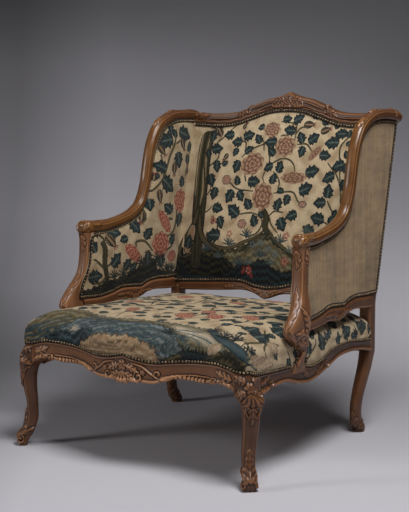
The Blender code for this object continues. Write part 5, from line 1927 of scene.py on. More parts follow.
@dataclass
class SeatFrame:
    """Front and side rails and the two front legs."""

    bench: Bench
    step: float = 0.0019
    carving: float = 0.0056
    side_carving_share: float = 0.75
    ease: float = 0.0022
    slope_fade: float = 0.010
    front_points: int = 104
    side_points: int = 96
    # Each moulding's height over the lower edge, its width and how far it stands proud.
    bead_line: tuple[float, float, float] = (0.0055, 0.0035, 0.0016)
    groove_line: tuple[float, float, float] = (0.0125, 0.0018, -0.0010)
    knee_height: float = 0.255
    knee_sweep: float = 0.020
    leg_corner_x: float = 0.387
    leg_setback: float = 0.030
    leg_lean: float = 0.014
    leg_depth: float = 0.071
    leg_width: float = 0.066
    leg_roundness: float = 2.6
    leg_points: int = 112
    leg_levels: int = 150
    block_roundness: float = 5.0
    shoulder_bulge: float = 0.016

    def build(self) -> None:
        """Make every piece of the seat's frame."""
        self.front_rail()
        for side in Side:
            self.side_rail(side)
            self.front_leg(side)

    def _rail_corners(self, foot: Array, outward: Array, low: Array, nail: Array,
                      thickness: float) -> Array:
        """Corners of a seat rail's sections: bead, cove, nail line and rebate.

        Args:
            foot: The face's place at each section.
            outward: Its outward direction.
            low: Height of the lower edge.
            nail: Height of the nail line.
            thickness: The rail's thickness.

        Returns:
            Sections by corners by 3.
        """
        plan = self.bench.plan
        out = (-thickness, -thickness, plan.bead - thickness, -plan.bead, 0.0, 0.0,
               -plan.cove, -plan.cove, 0.0, 0.0, -plan.rebate, -plan.rebate)
        rise = plan.bead_height + plan.cove
        heights = (None, low + plan.cove, low, low, low + plan.bead,
                   low + plan.bead_height, low + rise, nail - plan.bead,
                   nail - plan.cove / 2, nail, nail, None)
        corners = []
        for reach, height in zip(out, heights):
            place = foot + outward * reach
            z = plan.deck(place[:, 1]) if height is None else height
            corners.append(np.column_stack((place, z)))
        return np.stack(corners, axis=1)

    def _edge_lines(self, t: Array, low: Array) -> Array:
        """The bead along a seat rail's lower edge, and the groove over it.

        Args:
            t: Heights of the surface's points.
            low: Height of the lower edge at each section.

        Returns:
            The mouldings' relief at each point.
        """
        return sum(moulding(t, low[:, None] + rise, width, height)
                   for rise, width, height in (self.bead_line, self.groove_line))

    def front_rail(self) -> None:
        """The serpentine rail with its cartouche, scrolls and leaf beads."""
        plan = self.bench.plan
        end = plan.block_inner_x - plan.joint_gap
        x = np.linspace(-end, end, int(2 * end / self.step))
        y, nail, low = plan.front_face(x)
        slope = np.gradient(y, x) * ramp(end - np.abs(x), 0.0, self.slope_fade)
        outward = unit(np.column_stack((slope, -np.ones_like(x))))
        corners = self._rail_corners(np.column_stack((x, y)), outward, low, nail,
                                     plan.rail_thickness)
        rings = even_rings(eased(corners, self.ease), self.front_points)
        motifs: list[Motif] = [
            Flower((0.0, 0.292), 0.0155, 6), Shell((0.0, 0.281), 0.038, -math.pi / 2, 0.9)]
        beads = [Leaf((place, float(plan.front_face(place)[2]) + 0.0045), 0.0125, 0.9,
                      0.42, 1.0) for place in np.arange(0.150, 0.262, 0.0125)]
        motifs += both_sides([
            Leaf((0.014, 0.290), 0.044, -0.15, 0.30, 3.5, -0.25),
            Leaf((0.012, 0.272), 0.042, -0.75, 0.32, 3.5, 0.2),
            Leaf((0.008, 0.258), 0.024, -1.2, 0.36, 2.5),
            scroll((0.052, 0.262), 0.015, 2.2, 1.2, 0.0062),
            Stroke.through(((0.028, 0.300), (0.062, 0.293), (0.088, 0.276),
                            (0.112, 0.262)), 0.0075),
            scroll((0.110, 0.274), 0.012, -1.2, -1.1, 0.0052),
            Leaf((0.118, 0.262), 0.036, -0.05, 0.28, 3.0, 0.3),
            Flower((0.066, 0.276), 0.0085, 5),
            Stroke.through(((0.128, 0.268), (0.175, 0.276), (0.225, 0.282),
                            (0.275, 0.283)), 0.0052, 0.5),
            Leaf((0.345, 0.286), 0.055, 2.95, 0.26, 3.5, -0.2),
            Leaf((0.345, 0.268), 0.046, 3.35, 0.30, 3.5, -0.3),
            scroll((0.287, 0.274), 0.011, 0.5, 1.2, 0.005), *beads])

        def carving(points: Array, normals: Array, around: Array) -> Array:
            """Relief of the carving and the mouldings.

            Args:
                points: The surface's points, rings by points by 3.
                normals: The surface's normals there.
                around: The way round each ring from its starting point, in metres; not used.

            Returns:
                How far each point is moved outwards.
            """
            s, t = points[..., 0], points[..., 2]
            face = ramp(-normals[..., 1], 0.15, 0.6) * free_of(nail[:, None] - t)
            return face * (carve(s, t, motifs, self.carving) + self._edge_lines(t, low))

        # Painted light: a paler copy of the walnut, for a rail that lies in the seat's shade.
        self.bench.timber("front_seat_rail_carved", rings, ("front_seat_rail",),
                          "pale_walnut", carving)

    def side_rail(self, side: Side) -> None:
        """A bowed side rail, moulded below and cut away round the arm support.

        Args:
            side: Which side of the chair it is on.
        """
        plan = self.bench.plan
        start = plan.block_rear_y + plan.joint_gap
        end = plan.post_front_y - plan.joint_gap
        y = np.linspace(start, end, int((end - start) / self.step))
        x, nail, low = plan.side_face(y)
        slope = np.gradient(x, y) * ramp(np.minimum(y - start, end - y), 0.0,
                                         self.slope_fade)
        outward = unit(np.column_stack((np.ones_like(y), -slope)))
        corners = self._rail_corners(np.column_stack((x, y)), outward, low, nail,
                                     plan.side_thickness)
        corners[..., 0] *= side.value
        rings = even_rings(eased(corners, self.ease), self.side_points)
        front = plan.block_rear_y
        motifs: list[Motif] = [
            Leaf((front + 0.004, 0.268), 0.055, 0.15, 0.24, 3.5, 0.25),
            Leaf((front + 0.004, 0.252), 0.046, -0.25, 0.28, 3.5, 0.3),
            scroll((front + 0.062, 0.262), 0.011, 2.4, 1.2, 0.0055),
            Leaf((-0.060, 0.252), 0.040, 2.7, 0.30, 3.5, -0.3),
            Leaf((-0.010, 0.246), 0.050, 0.35, 0.26, 3.5, 0.2),
            scroll((0.052, 0.262), 0.012, 2.9, -1.2, 0.0055)]

        def carving(points: Array, normals: Array, around: Array) -> Array:
            """Relief of the carving and the mouldings.

            Args:
                points: The surface's points, rings by points by 3.
                normals: The surface's normals there.
                around: The way round each ring from its starting point, in metres; not used.

            Returns:
                How far each point is moved outwards.
            """
            s, t = points[..., 1], points[..., 2]
            face = ramp(side.value * normals[..., 0], 0.15, 0.6)
            face = face * free_of(nail[:, None] - t)
            return face * (carve(s, t, motifs, self.carving * self.side_carving_share)
                           + self._edge_lines(t, low))

        self.bench.timber(f"{side.label}_seat_rail_carved", rings,
                          (f"{side.label}_seat_rail",), "dark_walnut", carving)

    DIAGONAL = np.array((1, -1)) / math.sqrt(2)
    ACROSS = np.array((1, 1)) / math.sqrt(2)
    LEG_SHARES = (
        (0.000, 0.95, 0.34, 0.54, 1.00), (0.031, 1.00, 0.40, 0.57, 1.00),
        (0.071, 0.95, 0.49, 0.56, 1.00), (0.125, 0.62, 0.60, 0.51, 0.98),
        (0.192, 0.05, 0.48, 0.49, 0.92), (0.310, -0.32, 0.51, 0.53, 0.76),
        (0.447, -0.30, 0.48, 0.58, 0.54), (0.537, -0.17, 0.50, 0.62, 0.38),
        (0.647, 0.10, 0.56, 0.66, 0.22), (0.812, 0.25, 0.62, 0.77, 0.06),
        (0.922, 0.18, 0.72, 0.92, 0.00))

    def _block_reach(self, rays: Array, middle: Array, rebate: Array) -> Array:
        """How far the squarish block of a leg reaches along rays from its middle.

        Args:
            rays: Directions of length 1, seen from above.
            middle: Where they start.
            rebate: How much smaller the block is at each level.

        Returns:
            The reach along each ray.
        """
        plan = self.bench.plan
        low = np.zeros(rays.shape[:-1])
        high = np.full(rays.shape[:-1], plan.block_width + plan.block_depth)
        power = self.block_roundness
        for _ in range(24):
            half = (low + high) / 2
            place = middle + rays * half[..., None]
            over = np.maximum(place[..., 0] - plan.block_inner_x, 0) / (
                plan.block_width - rebate)
            ahead = np.maximum(plan.block_rear_y - place[..., 1], 0) / (
                plan.block_depth - rebate)
            inside = (over ** power + ahead ** power <= 1) & (
                place[..., 0] >= plan.block_inner_x) & (place[..., 1] <= plan.block_rear_y)
            low, high = np.where(inside, half, low), np.where(inside, high, half)
        return low

    def _leg_lift(self, outline: Array, nail: float) -> Array:
        """How much higher than a level the nail line runs at a leg's outline.

        Args:
            outline: Places round the leg's block.
            nail: The level.

        Returns:
            The height above the level at each place.
        """
        plan = self.bench.plan
        over = np.clip((outline[:, 0] - plan.block_inner_x) / plan.block_width, 0.0, 1.0)
        ahead = np.clip((plan.block_rear_y - outline[:, 1]) / plan.block_depth, 0.0, 1.0)
        turn = np.arctan2(over ** 2.5, ahead ** 2.5)
        line = lerp(float(plan.front_face(plan.block_inner_x)[1]),
                    float(plan.side_face(plan.block_rear_y)[1]), turn / (math.pi / 2))
        line = lerp(line, float(plan.front_face(self.leg_corner_x)[1]), np.sin(2 * turn))
        return np.maximum(line - plan.joint_gap - nail, 0.0)

    def _swept_leg(self, rays: Array, share: Array, depth: Array) -> Array:
        """The leg below its block: ovals on a line that sweeps out along the diagonal.

        Args:
            rays: Directions of length 1, seen from above.
            share: How high each level is, as a share of the knee's height.
            depth: Half the leg's depth at each level.

        Returns:
            Places seen from above, levels by rays by 2.
        """
        plan, table = self.bench.plan, self.LEG_SHARES
        corner = np.array((self.leg_corner_x, plan.block_front_y + self.leg_setback))
        middle = corner + np.outer(self.knee_sweep * smooth(table, share, 1), self.DIAGONAL)
        middle[:, 1] -= self.leg_lean * smooth(table, share, 4)
        width = (self.leg_width * smooth(table, share, 3) / 2)[:, None]
        power = self.leg_roundness
        oval = (np.abs(rays @ self.DIAGONAL / depth) ** power
                + np.abs(rays @ self.ACROSS / width) ** power) ** (-1 / power)
        return middle[:, None, :] + rays * oval[..., None]

    @staticmethod
    def _leg_motifs() -> list[Motif]:
        """The carving of a front leg, placed by the way round it and by the height.

        Returns:
            The motifs of the knee, the shin and the foot.
        """
        middle: list[Motif] = [
            Flower((0.0, 0.270), 0.0150, 6), Shell((0.0, 0.262), 0.044, -math.pi / 2, 0.85),
            Leaf((0.0, 0.222), 0.050, -math.pi / 2, 0.30, 2.5),
            Leaf((0.0, 0.110), 0.075, -math.pi / 2, 0.16, 3.5),
            Leaf((0.0, 0.022), 0.062, math.pi / 2, 0.34, 3.0)]
        return middle + both_sides([
            Leaf((0.010, 0.286), 0.040, 0.25, 0.34, 3.5, 0.2),
            Leaf((0.012, 0.262), 0.044, -0.55, 0.32, 3.5, 0.25),
            Leaf((0.010, 0.240), 0.040, -1.1, 0.30, 3.0, -0.2),
            scroll((0.036, 0.246), 0.012, 0.8, -1.2, 0.0052),
            Stroke.through(((0.006, 0.182), (0.017, 0.205), (0.028, 0.226),
                            (0.040, 0.240)), 0.0056, 0.4),
            Leaf((0.010, 0.020), 0.046, 1.15, 0.30, 3.0, -0.3),
            scroll((0.020, 0.018), 0.012, 1.8, -1.3, 0.006)])

    def front_leg(self, side: Side) -> None:
        """A cabriole leg: carved knee, moulded edges and a scrolled leafy foot.

        Args:
            side: Which side of the chair it is on.
        """
        plan = self.bench.plan
        knee = self.knee_height
        shoulder = float(plan.front_face(plan.block_inner_x)[2])
        nail = min(float(plan.front_face(self.leg_corner_x)[1]),
                   float(plan.front_face(plan.block_inner_x)[1]),
                   float(plan.side_face(plan.block_rear_y)[1])) - plan.rebate
        top = float(plan.deck(plan.block_front_y + self.leg_setback))
        z = np.concatenate((np.linspace(0.0, nail, self.leg_levels),
                            [nail + 0.0012, nail + plan.rebate],
                            np.linspace(nail + plan.rebate + 0.002, top, 5)))
        share = z / knee
        turns = np.linspace(0.0, math.tau, self.leg_points, endpoint=False) - math.pi / 4
        rays = np.stack((np.cos(turns), np.sin(turns)), axis=-1)[None, :, :]
        depth = (self.leg_depth * smooth(self.LEG_SHARES, share, 2) / 2)[:, None]
        swept = self._swept_leg(rays, share, depth)
        block = np.array((plan.block_inner_x + plan.block_width / 2,
                          plan.block_rear_y - plan.block_depth / 2))
        rebate = (2 * plan.rebate * ramp(z, nail + 0.0005, nail + plan.rebate))[:, None]
        reach = self._block_reach(rays + np.zeros((len(z), 1, 1)), block, rebate)
        bulge_shares = ((shoulder - 0.01, 1.0), (shoulder, 1.0),
                        (lerp(shoulder, nail, 0.4), 0.7),
                        (lerp(shoulder, nail, 0.75), 0.25), (nail, 0.0))
        bulge = (self.shoulder_bulge * smooth(bulge_shares, z)[:, None]
                 * np.maximum(0.0, rays @ self.DIAGONAL) ** 2)
        square = block + rays * (reach + bulge)[..., None]
        blend = np.interp(z, (knee * self.LEG_SHARES[-1][0], shoulder), (0.0, 1.0))
        plane = lerp(swept, square, blend[:, None, None])
        level = z[:, None] + self._leg_lift(square[self.leg_levels - 1], nail) * np.minimum(
            ramp(z, shoulder - 0.004, nail), ramp(top - z, 0.0, top - nail))[:, None]
        rings = np.concatenate((plane, level[..., None]), axis=-1)
        rings[..., 0] *= side.value
        motifs = self._leg_motifs()

        def carving(points: Array, normals: Array, around: Array) -> Array:
            """Relief of the carving and the mouldings.

            Args:
                points: The surface's points, rings by points by 3.
                normals: The surface's normals there; not used.
                around: The way round each ring from its starting point, in metres.

            Returns:
                How far each point is moved outwards.
            """
            t = points[..., 2]
            free = free_of(nail - z[:, None]) * free_of(t, 0.001)
            girth = depth * 0.9
            show = ramp(0.066 - np.abs(around), 0.0, 0.012)
            edges = moulding(np.abs(around), girth + 0.002, 0.0028, 0.0022)
            edges *= ramp(0.215 - t, 0.0, 0.03) * ramp(t, 0.028, 0.05)
            joined = 1 - ramp(t, shoulder, shoulder + 0.004) * (
                1 - ramp(0.058 - np.abs(around), 0.0, 0.008))
            return free * joined * (show * carve(around, t, motifs, self.carving) + edges)

        self.bench.timber(f"front_{side.label}_leg_carved", rings,
                          (f"front_{side.label}_leg",), "dark_walnut", carving)


@dataclass
class Uprights:
    """Rear posts and arm supports."""

    bench: Bench
    leg_height: float = 0.250
    leg_sweep: float = 0.054
    leg_inset: float = 0.011
    chamfer: float = 0.005
    post_levels: int = 420
    post_points: int = 76
    post_ease: float = 0.003
    toe_carving: float = 0.0034
    curl_carving: float = 0.0030
    support_levels: int = 200
    support_points: int = 84
    support_roundness: float = 3.2
    front_carving: float = 0.0042
    side_carving: float = 0.0048

    REAR_LEG_SHARES = (
        (0.00, 0.52, 1.00, 0.80, 0.90), (0.06, 0.55, 1.00, 0.95, 0.95),
        (0.12, 0.74, 1.00, 1.00, 0.90), (0.20, 0.93, 0.90, 0.88, 0.87),
        (0.36, 1.00, 0.72, 0.90, 0.87), (0.52, 0.78, 0.54, 0.95, 0.90),
        (0.66, 0.52, 0.36, 1.02, 0.95), (0.80, 0.26, 0.18, 1.08, 1.00),
        (0.92, 0.10, 0.05, 1.10, 1.00), (1.00, 0.00, 0.00, 1.00, 1.00))

    def build(self) -> None:
        """Make both posts and both supports."""
        for side in Side:
            self.post(side)
            self.support(side)

    def post(self, side: Side) -> None:
        """A rear post: cabriole leg with a scrolled foot, and the raked upright.

        Args:
            side: Which side of the chair it is on.
        """
        plan = self.bench.plan
        z = np.linspace(0.0, plan.post_top, self.post_levels)
        share = np.minimum(z / self.leg_height, 1.0)
        leg = [smooth(self.REAR_LEG_SHARES, share, column) for column in (1, 2, 3, 4)]
        middle_x = plan.post_outer_x - plan.post_width / 2 - self.leg_inset * leg[1]
        middle_y = np.where(z < self.leg_height, plan.rear_y - self.leg_sweep * leg[0],
                            plan.post_y(z))
        a, b = plan.post_width * leg[3] / 2, plan.post_depth * leg[2] / 2
        c = self.chamfer * (1 + ramp(self.leg_height - z, 0.0, 0.03))
        corners = np.stack([np.column_stack(((middle_x + u), middle_y + v, z))
                            for u, v in ((a, c - b), (a, b - c), (a - c, b), (c - a, b),
                                         (-a, b - c), (-a, c - b), (c - a, -b),
                                         (a - c, -b))], axis=1)
        corners[..., 0] *= side.value
        rings = even_rings(eased(corners, self.post_ease), self.post_points)
        foot = plan.rear_y - self.leg_sweep
        front_x = plan.post_outer_x - plan.post_width / 2 - self.leg_inset
        leaves = [Leaf((front_x, 0.014), 0.060, math.pi / 2, 0.30, 3.0),
                  Leaf((front_x + 0.008, 0.012), 0.042, 1.1, 0.28, 3.0),
                  Leaf((front_x - 0.008, 0.012), 0.042, 2.04, 0.28, 3.0)]
        curls = [scroll((foot + 0.012, 0.020), 0.012, 0.3, 1.2, 0.006),
                 Leaf((foot + 0.020, 0.034), 0.052, 1.2, 0.24, 3.0)]

        def carving(points: Array, normals: Array, around: Array) -> Array:
            """Relief of the carving and the mouldings.

            Args:
                points: The surface's points, rings by points by 3.
                normals: The surface's normals there.
                around: The way round each ring from its starting point, in metres; not used.

            Returns:
                How far each point is moved outwards.
            """
            x, y, t = np.abs(points[..., 0]), points[..., 1], points[..., 2]
            free = free_of(t, 0.001)
            ahead = ramp(-normals[..., 1], 0.3, 0.7) * carve(
                x, t, leaves, self.toe_carving)
            beside = ramp(np.abs(normals[..., 0]), 0.4, 0.8) * carve(
                y, t, curls, self.curl_carving)
            return free * (ahead + beside)

        self.bench.timber(f"rear_{side.label}_post_carved", rings,
                          (f"rear_{side.label}_post",), "dark_walnut", carving)

    def support(self, side: Side) -> None:
        """An arm support: it sweeps forward, with leafage at its foot and its top.

        Args:
            side: Which side of the chair it is on.
        """
        plan = self.bench.plan
        z = np.linspace(plan.support_foot, plan.support_top, self.support_levels)
        x, y, depth, width = plan.support(z)
        turns = np.linspace(0.0, math.tau, self.support_points, endpoint=False) - (
            math.pi / 2)
        c, s = np.cos(turns)[None, :], np.sin(turns)[None, :]
        power = self.support_roundness
        reach = (np.abs(c) ** power + np.abs(s) ** power) ** (-1 / power)
        place_x = (x[:, None] + c * reach * width[:, None]) * side.value
        place_y = y[:, None] + s * reach * depth[:, None]
        rings = np.stack((place_x, place_y, z[:, None] + np.zeros_like(place_x)), axis=-1)
        foot = float(plan.support(0.40)[1])
        leaves = [Leaf((foot + 0.040, 0.362), 0.075, 2.55, 0.30, 3.5, 0.3),
                  Leaf((foot + 0.030, 0.352), 0.060, 3.05, 0.28, 3.5, 0.25),
                  Leaf((foot + 0.034, 0.376), 0.085, 1.75, 0.22, 4.5, 0.25),
                  scroll((foot + 0.030, 0.350), 0.012, 1.2, 1.3, 0.006),
                  Leaf((foot + 0.024, 0.330), 0.050, 4.3, 0.26, 3.0),
                  Leaf((foot + 0.058, 0.560), 0.050, 1.9, 0.26, 3.0)]
        rise = [Leaf((0.0, 0.330), 0.070, math.pi / 2, 0.26, 3.5),
                Leaf((0.004, 0.350), 0.055, 1.0, 0.26, 3.5, 0.2),
                Leaf((-0.004, 0.350), 0.055, 2.14, 0.26, 3.5, -0.2),
                Leaf((0.0, 0.395), 0.110, math.pi / 2, 0.12, 4.5),
                Leaf((0.0, 0.604), 0.055, -math.pi / 2, 0.26, 3.0),
                Flower((0.0, 0.588), 0.011, 5),
                Leaf((0.0, 0.285), 0.050, math.pi / 2, 0.22, 3.0)]

        def carving(points: Array, normals: Array, around: Array) -> Array:
            """Relief of the carving and the mouldings.

            Args:
                points: The surface's points, rings by points by 3.
                normals: The surface's normals there.
                around: The way round each ring from its starting point, in metres.

            Returns:
                How far each point is moved outwards.
            """
            t = points[..., 2]
            ahead = ramp(-normals[..., 1], 0.25, 0.7)
            beside = ramp(side.value * normals[..., 0], 0.35, 0.8)
            edges = moulding(np.abs(around), 0.013 + 0.2 * depth[:, None], 0.0022, 0.0014)
            edges *= ramp(t, 0.43, 0.46) * ramp(0.590 - t, 0.0, 0.02)
            return (ahead * carve(around, t, rise, self.front_carving)
                    + beside * carve(points[..., 1], t, leaves, self.side_carving)
                    + edges * ahead)

        self.bench.timber(f"{side.label}_arm_support_carved", rings,
                          (f"{side.label}_arm_support",), carving=carving)


@dataclass
class WingRails:
    """Arm, wing front and wing top rails in one line, and the wing's lower rail."""

    bench: Bench
    knuckle_swell: float = 0.36
    knuckle_length: float = 0.066
    nose_length: float = 0.017
    nose_share: float = 0.30
    nose_rings: int = 14
    ring_points: int = 72
    ease: float = 0.0028
    carving: float = 0.0040
    # Rings along the arm, the rise and the top.
    arm_rings: int = 190
    rise_rings: int = 170
    top_rings: int = 110
    # Way round from the top, width and height of the groove and of the bead beside it.
    groove_line: tuple[float, float, float] = (0.0155, 0.0016, -0.0009)
    bead_line: tuple[float, float, float] = (0.0190, 0.0018, 0.0010)
    lower_rings: int = 220
    lower_points: int = 64
    lower_ease: float = 0.0024
    lower_carving: float = 0.0032
    lower_bead: tuple[float, float, float] = (0.0050, 0.0026, 0.0012)
    drop_share: float = 0.49

    def build(self) -> None:
        """Make every rail of both wings."""
        plan = self.bench.plan
        for side in Side:
            self.stretch(side, "arm_rail", 0, plan.arm_end, self.arm_rings)
            self.stretch(side, "wing_front_rail", plan.arm_end, plan.wing_end,
                         self.rise_rings)
            self.stretch(side, "wing_top_rail", plan.wing_end, plan.stations,
                         self.top_rings)
            self.lower(side)

    def _knuckle(self, middle: Array, outward: Array) -> tuple[Array, Array, Array]:
        """Lengthen the arm by its rounded nose and swell it there.

        Args:
            middle: Places along the rail's middle, from the arm's front.
            outward: Directions away from the wing's cover there.

        Returns:
            The lengthened line, its directions and the size of its section.
        """
        ahead = self.nose_length * np.cos(
            np.linspace(0.0, np.pi / 2, self.nose_rings + 1)[:-1])
        nose = middle[:1] - unit(middle[1:2] - middle[:1]) * ahead[:, None]
        middle = np.concatenate((nose, middle))
        outward = np.concatenate((np.repeat(outward[:1], len(nose), axis=0), outward))
        run = run_lengths(middle)
        size = 1.0 + self.knuckle_swell * np.cos(
            np.minimum(run / self.knuckle_length, 1.0) * np.pi / 2) ** 2
        round_off = 1 - np.minimum(run / self.nose_length, 1.0)
        size *= lerp(self.nose_share, 1.0, np.sqrt(1 - round_off ** 2))
        return middle, outward, size

    def _section(self, size: Array) -> tuple[tuple[Union[float, Array], ...], ...]:
        """The rail's section with its tongue: away from the cover, then towards outside.

        Args:
            size: How large the rounded part is along the rail, 1 where it is even.

        Returns:
            The section's corners.
        """
        plan = self.bench.plan
        half, thick = plan.wing_half * size, plan.wing_half_thickness * size
        inner = -plan.wing_half
        return (
            (inner - plan.tongue, plan.tongue_out), (inner, plan.tongue_out),
            (inner, thick * 0.72), (-half * 0.5, thick), (half * 0.1, thick * 1.02),
            (half * 0.55, thick * 0.93), (half * 0.92, thick * 0.6), (half * 1.06, 0.0),
            (half * 0.92, -thick * 0.6), (half * 0.55, -thick * 0.93),
            (half * 0.1, -thick * 1.02), (-half * 0.5, -thick), (inner, -thick * 0.78),
            (inner, -plan.tongue_in), (inner - plan.tongue, -plan.tongue_in))

    @staticmethod
    def _stretch_motifs(name: str, far: float) -> list[Motif]:
        """The carving of one stretch, placed by the way along it and across it.

        Args:
            name: The stretch's name.
            far: Its length.

        Returns:
            Its motifs.
        """
        if name == "arm_rail":
            motifs = [Flower((0.022, 0.0), 0.015, 6),
                      Leaf((0.032, 0.0), 0.085, 0.0, 0.20, 4.5)]
            return motifs + [leaf for turn in (0.55, -0.55) for leaf in (
                Leaf((0.026, 0.004 * turn), 0.056, turn, 0.30, 3.5, -turn * 0.4),
                Leaf((0.012, 0.012 * turn), 0.042, turn * 2.2, 0.34, 3.0),
                Leaf((0.004, 0.020 * turn), 0.034, turn * 3.2, 0.34, 3.0))]
        if name == "wing_top_rail":
            return [Leaf((far - 0.010, 0.0), 0.060, math.pi, 0.26, 3.5),
                    Leaf((far - 0.020, 0.006), 0.040, 2.4, 0.28, 3.0),
                    Leaf((far - 0.020, -0.006), 0.040, 3.9, 0.28, 3.0),
                    Leaf((0.030, 0.0), 0.042, 0.0, 0.26, 3.0)]
        if name == "wing_front_rail":
            return [Leaf((far - 0.004, 0.0), 0.045, math.pi, 0.26, 3.0)]
        return []

    def stretch(self, side: Side, name: str, first: int, last: int, count: int) -> None:
        """One stretch of the rounded wing rail, with carving at the arm's knuckle.

        Args:
            side: Which side of the chair it is on.
            name: The stretch's name.
            first: The station where it starts.
            last: The station where it ends.
            count: How many rings it has.
        """
        plan = self.bench.plan
        place = np.linspace(first, last, count) / plan.stations
        place[0] += plan.joint_gap / plan.arm_length if first else 0.0
        middle, outward = plan.wing_line(place)
        size = np.ones(count)
        if first == 0:
            middle, outward, size = self._knuckle(middle, outward)
        corners = []
        for u, v in self._section(size):
            point = middle + outward * np.broadcast_to(u, len(size))[:, None]
            point[:, 0] = (point[:, 0] + np.broadcast_to(v, len(size))) * side.value
            corners.append(point)
        rings = even_rings(eased(np.stack(corners, axis=1), self.ease), self.ring_points)
        along = run_lengths(middle)
        motifs = self._stretch_motifs(name, float(along[-1]))
        top = int(np.argmax(((rings - middle[:, None, :]) * outward[:, None, :]
                             ).sum(axis=-1).mean(axis=0)))

        def carving(points: Array, normals: Array, around: Array) -> Array:
            """Relief of the carving and the mouldings.

            Args:
                points: The surface's points, rings by points by 3.
                normals: The surface's normals there; not used.
                around: The way round each ring from its starting point, in metres.

            Returns:
                How far each point is moved outwards.
            """
            rise = ((points - middle[:, None, :]) * outward[:, None, :]).sum(axis=-1)
            free = ramp(rise, -0.012, -0.004)
            lines = moulding(np.abs(around), *self.groove_line)
            lines += moulding(np.abs(around), *self.bead_line)
            s = along[:, None] + np.zeros_like(around)
            return free * (carve(s, around, motifs, self.carving) + lines)

        self.bench.timber(f"{side.label}_{name}_carved", rings, (f"{side.label}_{name}",),
                          "dark_walnut" if last == plan.stations else "honey_walnut",
                          carving, top)

    def lower(self, side: Side) -> None:
        """The shaped lower rail, with a carved drop at its middle.

        Args:
            side: Which side of the chair it is on.
        """
        plan = self.bench.plan
        start = plan.arm_front_y - plan.support_sweep / 3
        y = np.linspace(start, plan.post_front_y - plan.joint_gap, self.lower_rings)
        x, low, nail = plan.lower_wing(y)
        outer = plan.tongue_out + plan.lower_proud
        inner = outer - plan.lower_thickness
        bead = plan.bead
        outline = ((outer, low + bead), (outer, nail - bead), (plan.tongue_out, nail),
                   (plan.tongue_out, nail + plan.tongue),
                   (-plan.tongue_in, nail + plan.tongue), (-plan.tongue_in, nail),
                   (inner, nail - plan.cove), (inner, low + bead), (inner + bead, low),
                   (outer - bead, low))
        corners = np.stack([np.column_stack(((x + v) * side.value, y, z))
                            for v, z in outline], axis=1)
        rings = even_rings(eased(corners, self.lower_ease), self.lower_points)
        drop = lerp(plan.arm_front_y, plan.rear_y, self.drop_share)
        motifs: list[Motif] = [Shell((drop, 0.399), 0.022, -math.pi / 2, 1.1, 5)]
        for way in (1, -1):
            turn = 0.0 if way > 0 else math.pi
            motifs += [Leaf((drop + 0.010 * way, 0.392), 0.045, turn + 0.25 * way, 0.26, 3.5),
                       Leaf((drop + 0.050 * way, 0.400), 0.040, turn, 0.20, 3.0)]

        def carving(points: Array, normals: Array, around: Array) -> Array:
            """Relief of the carving and the mouldings.

            Args:
                points: The surface's points, rings by points by 3.
                normals: The surface's normals there.
                around: The way round each ring from its starting point, in metres; not used.

            Returns:
                How far each point is moved outwards.
            """
            s, t = points[..., 1], points[..., 2]
            face = ramp(np.abs(normals[..., 0]), 0.3, 0.7) * free_of(nail[:, None] - t)
            rise, wide, proud = self.lower_bead
            line = moulding(t, low[:, None] + rise, wide, proud)
            return face * (carve(s, t, motifs, self.lower_carving) + line)

        self.bench.timber(f"{side.label}_wing_lower_rail_carved", rings,
                          (f"{side.label}_wing_lower_rail",), "dark_walnut", carving)


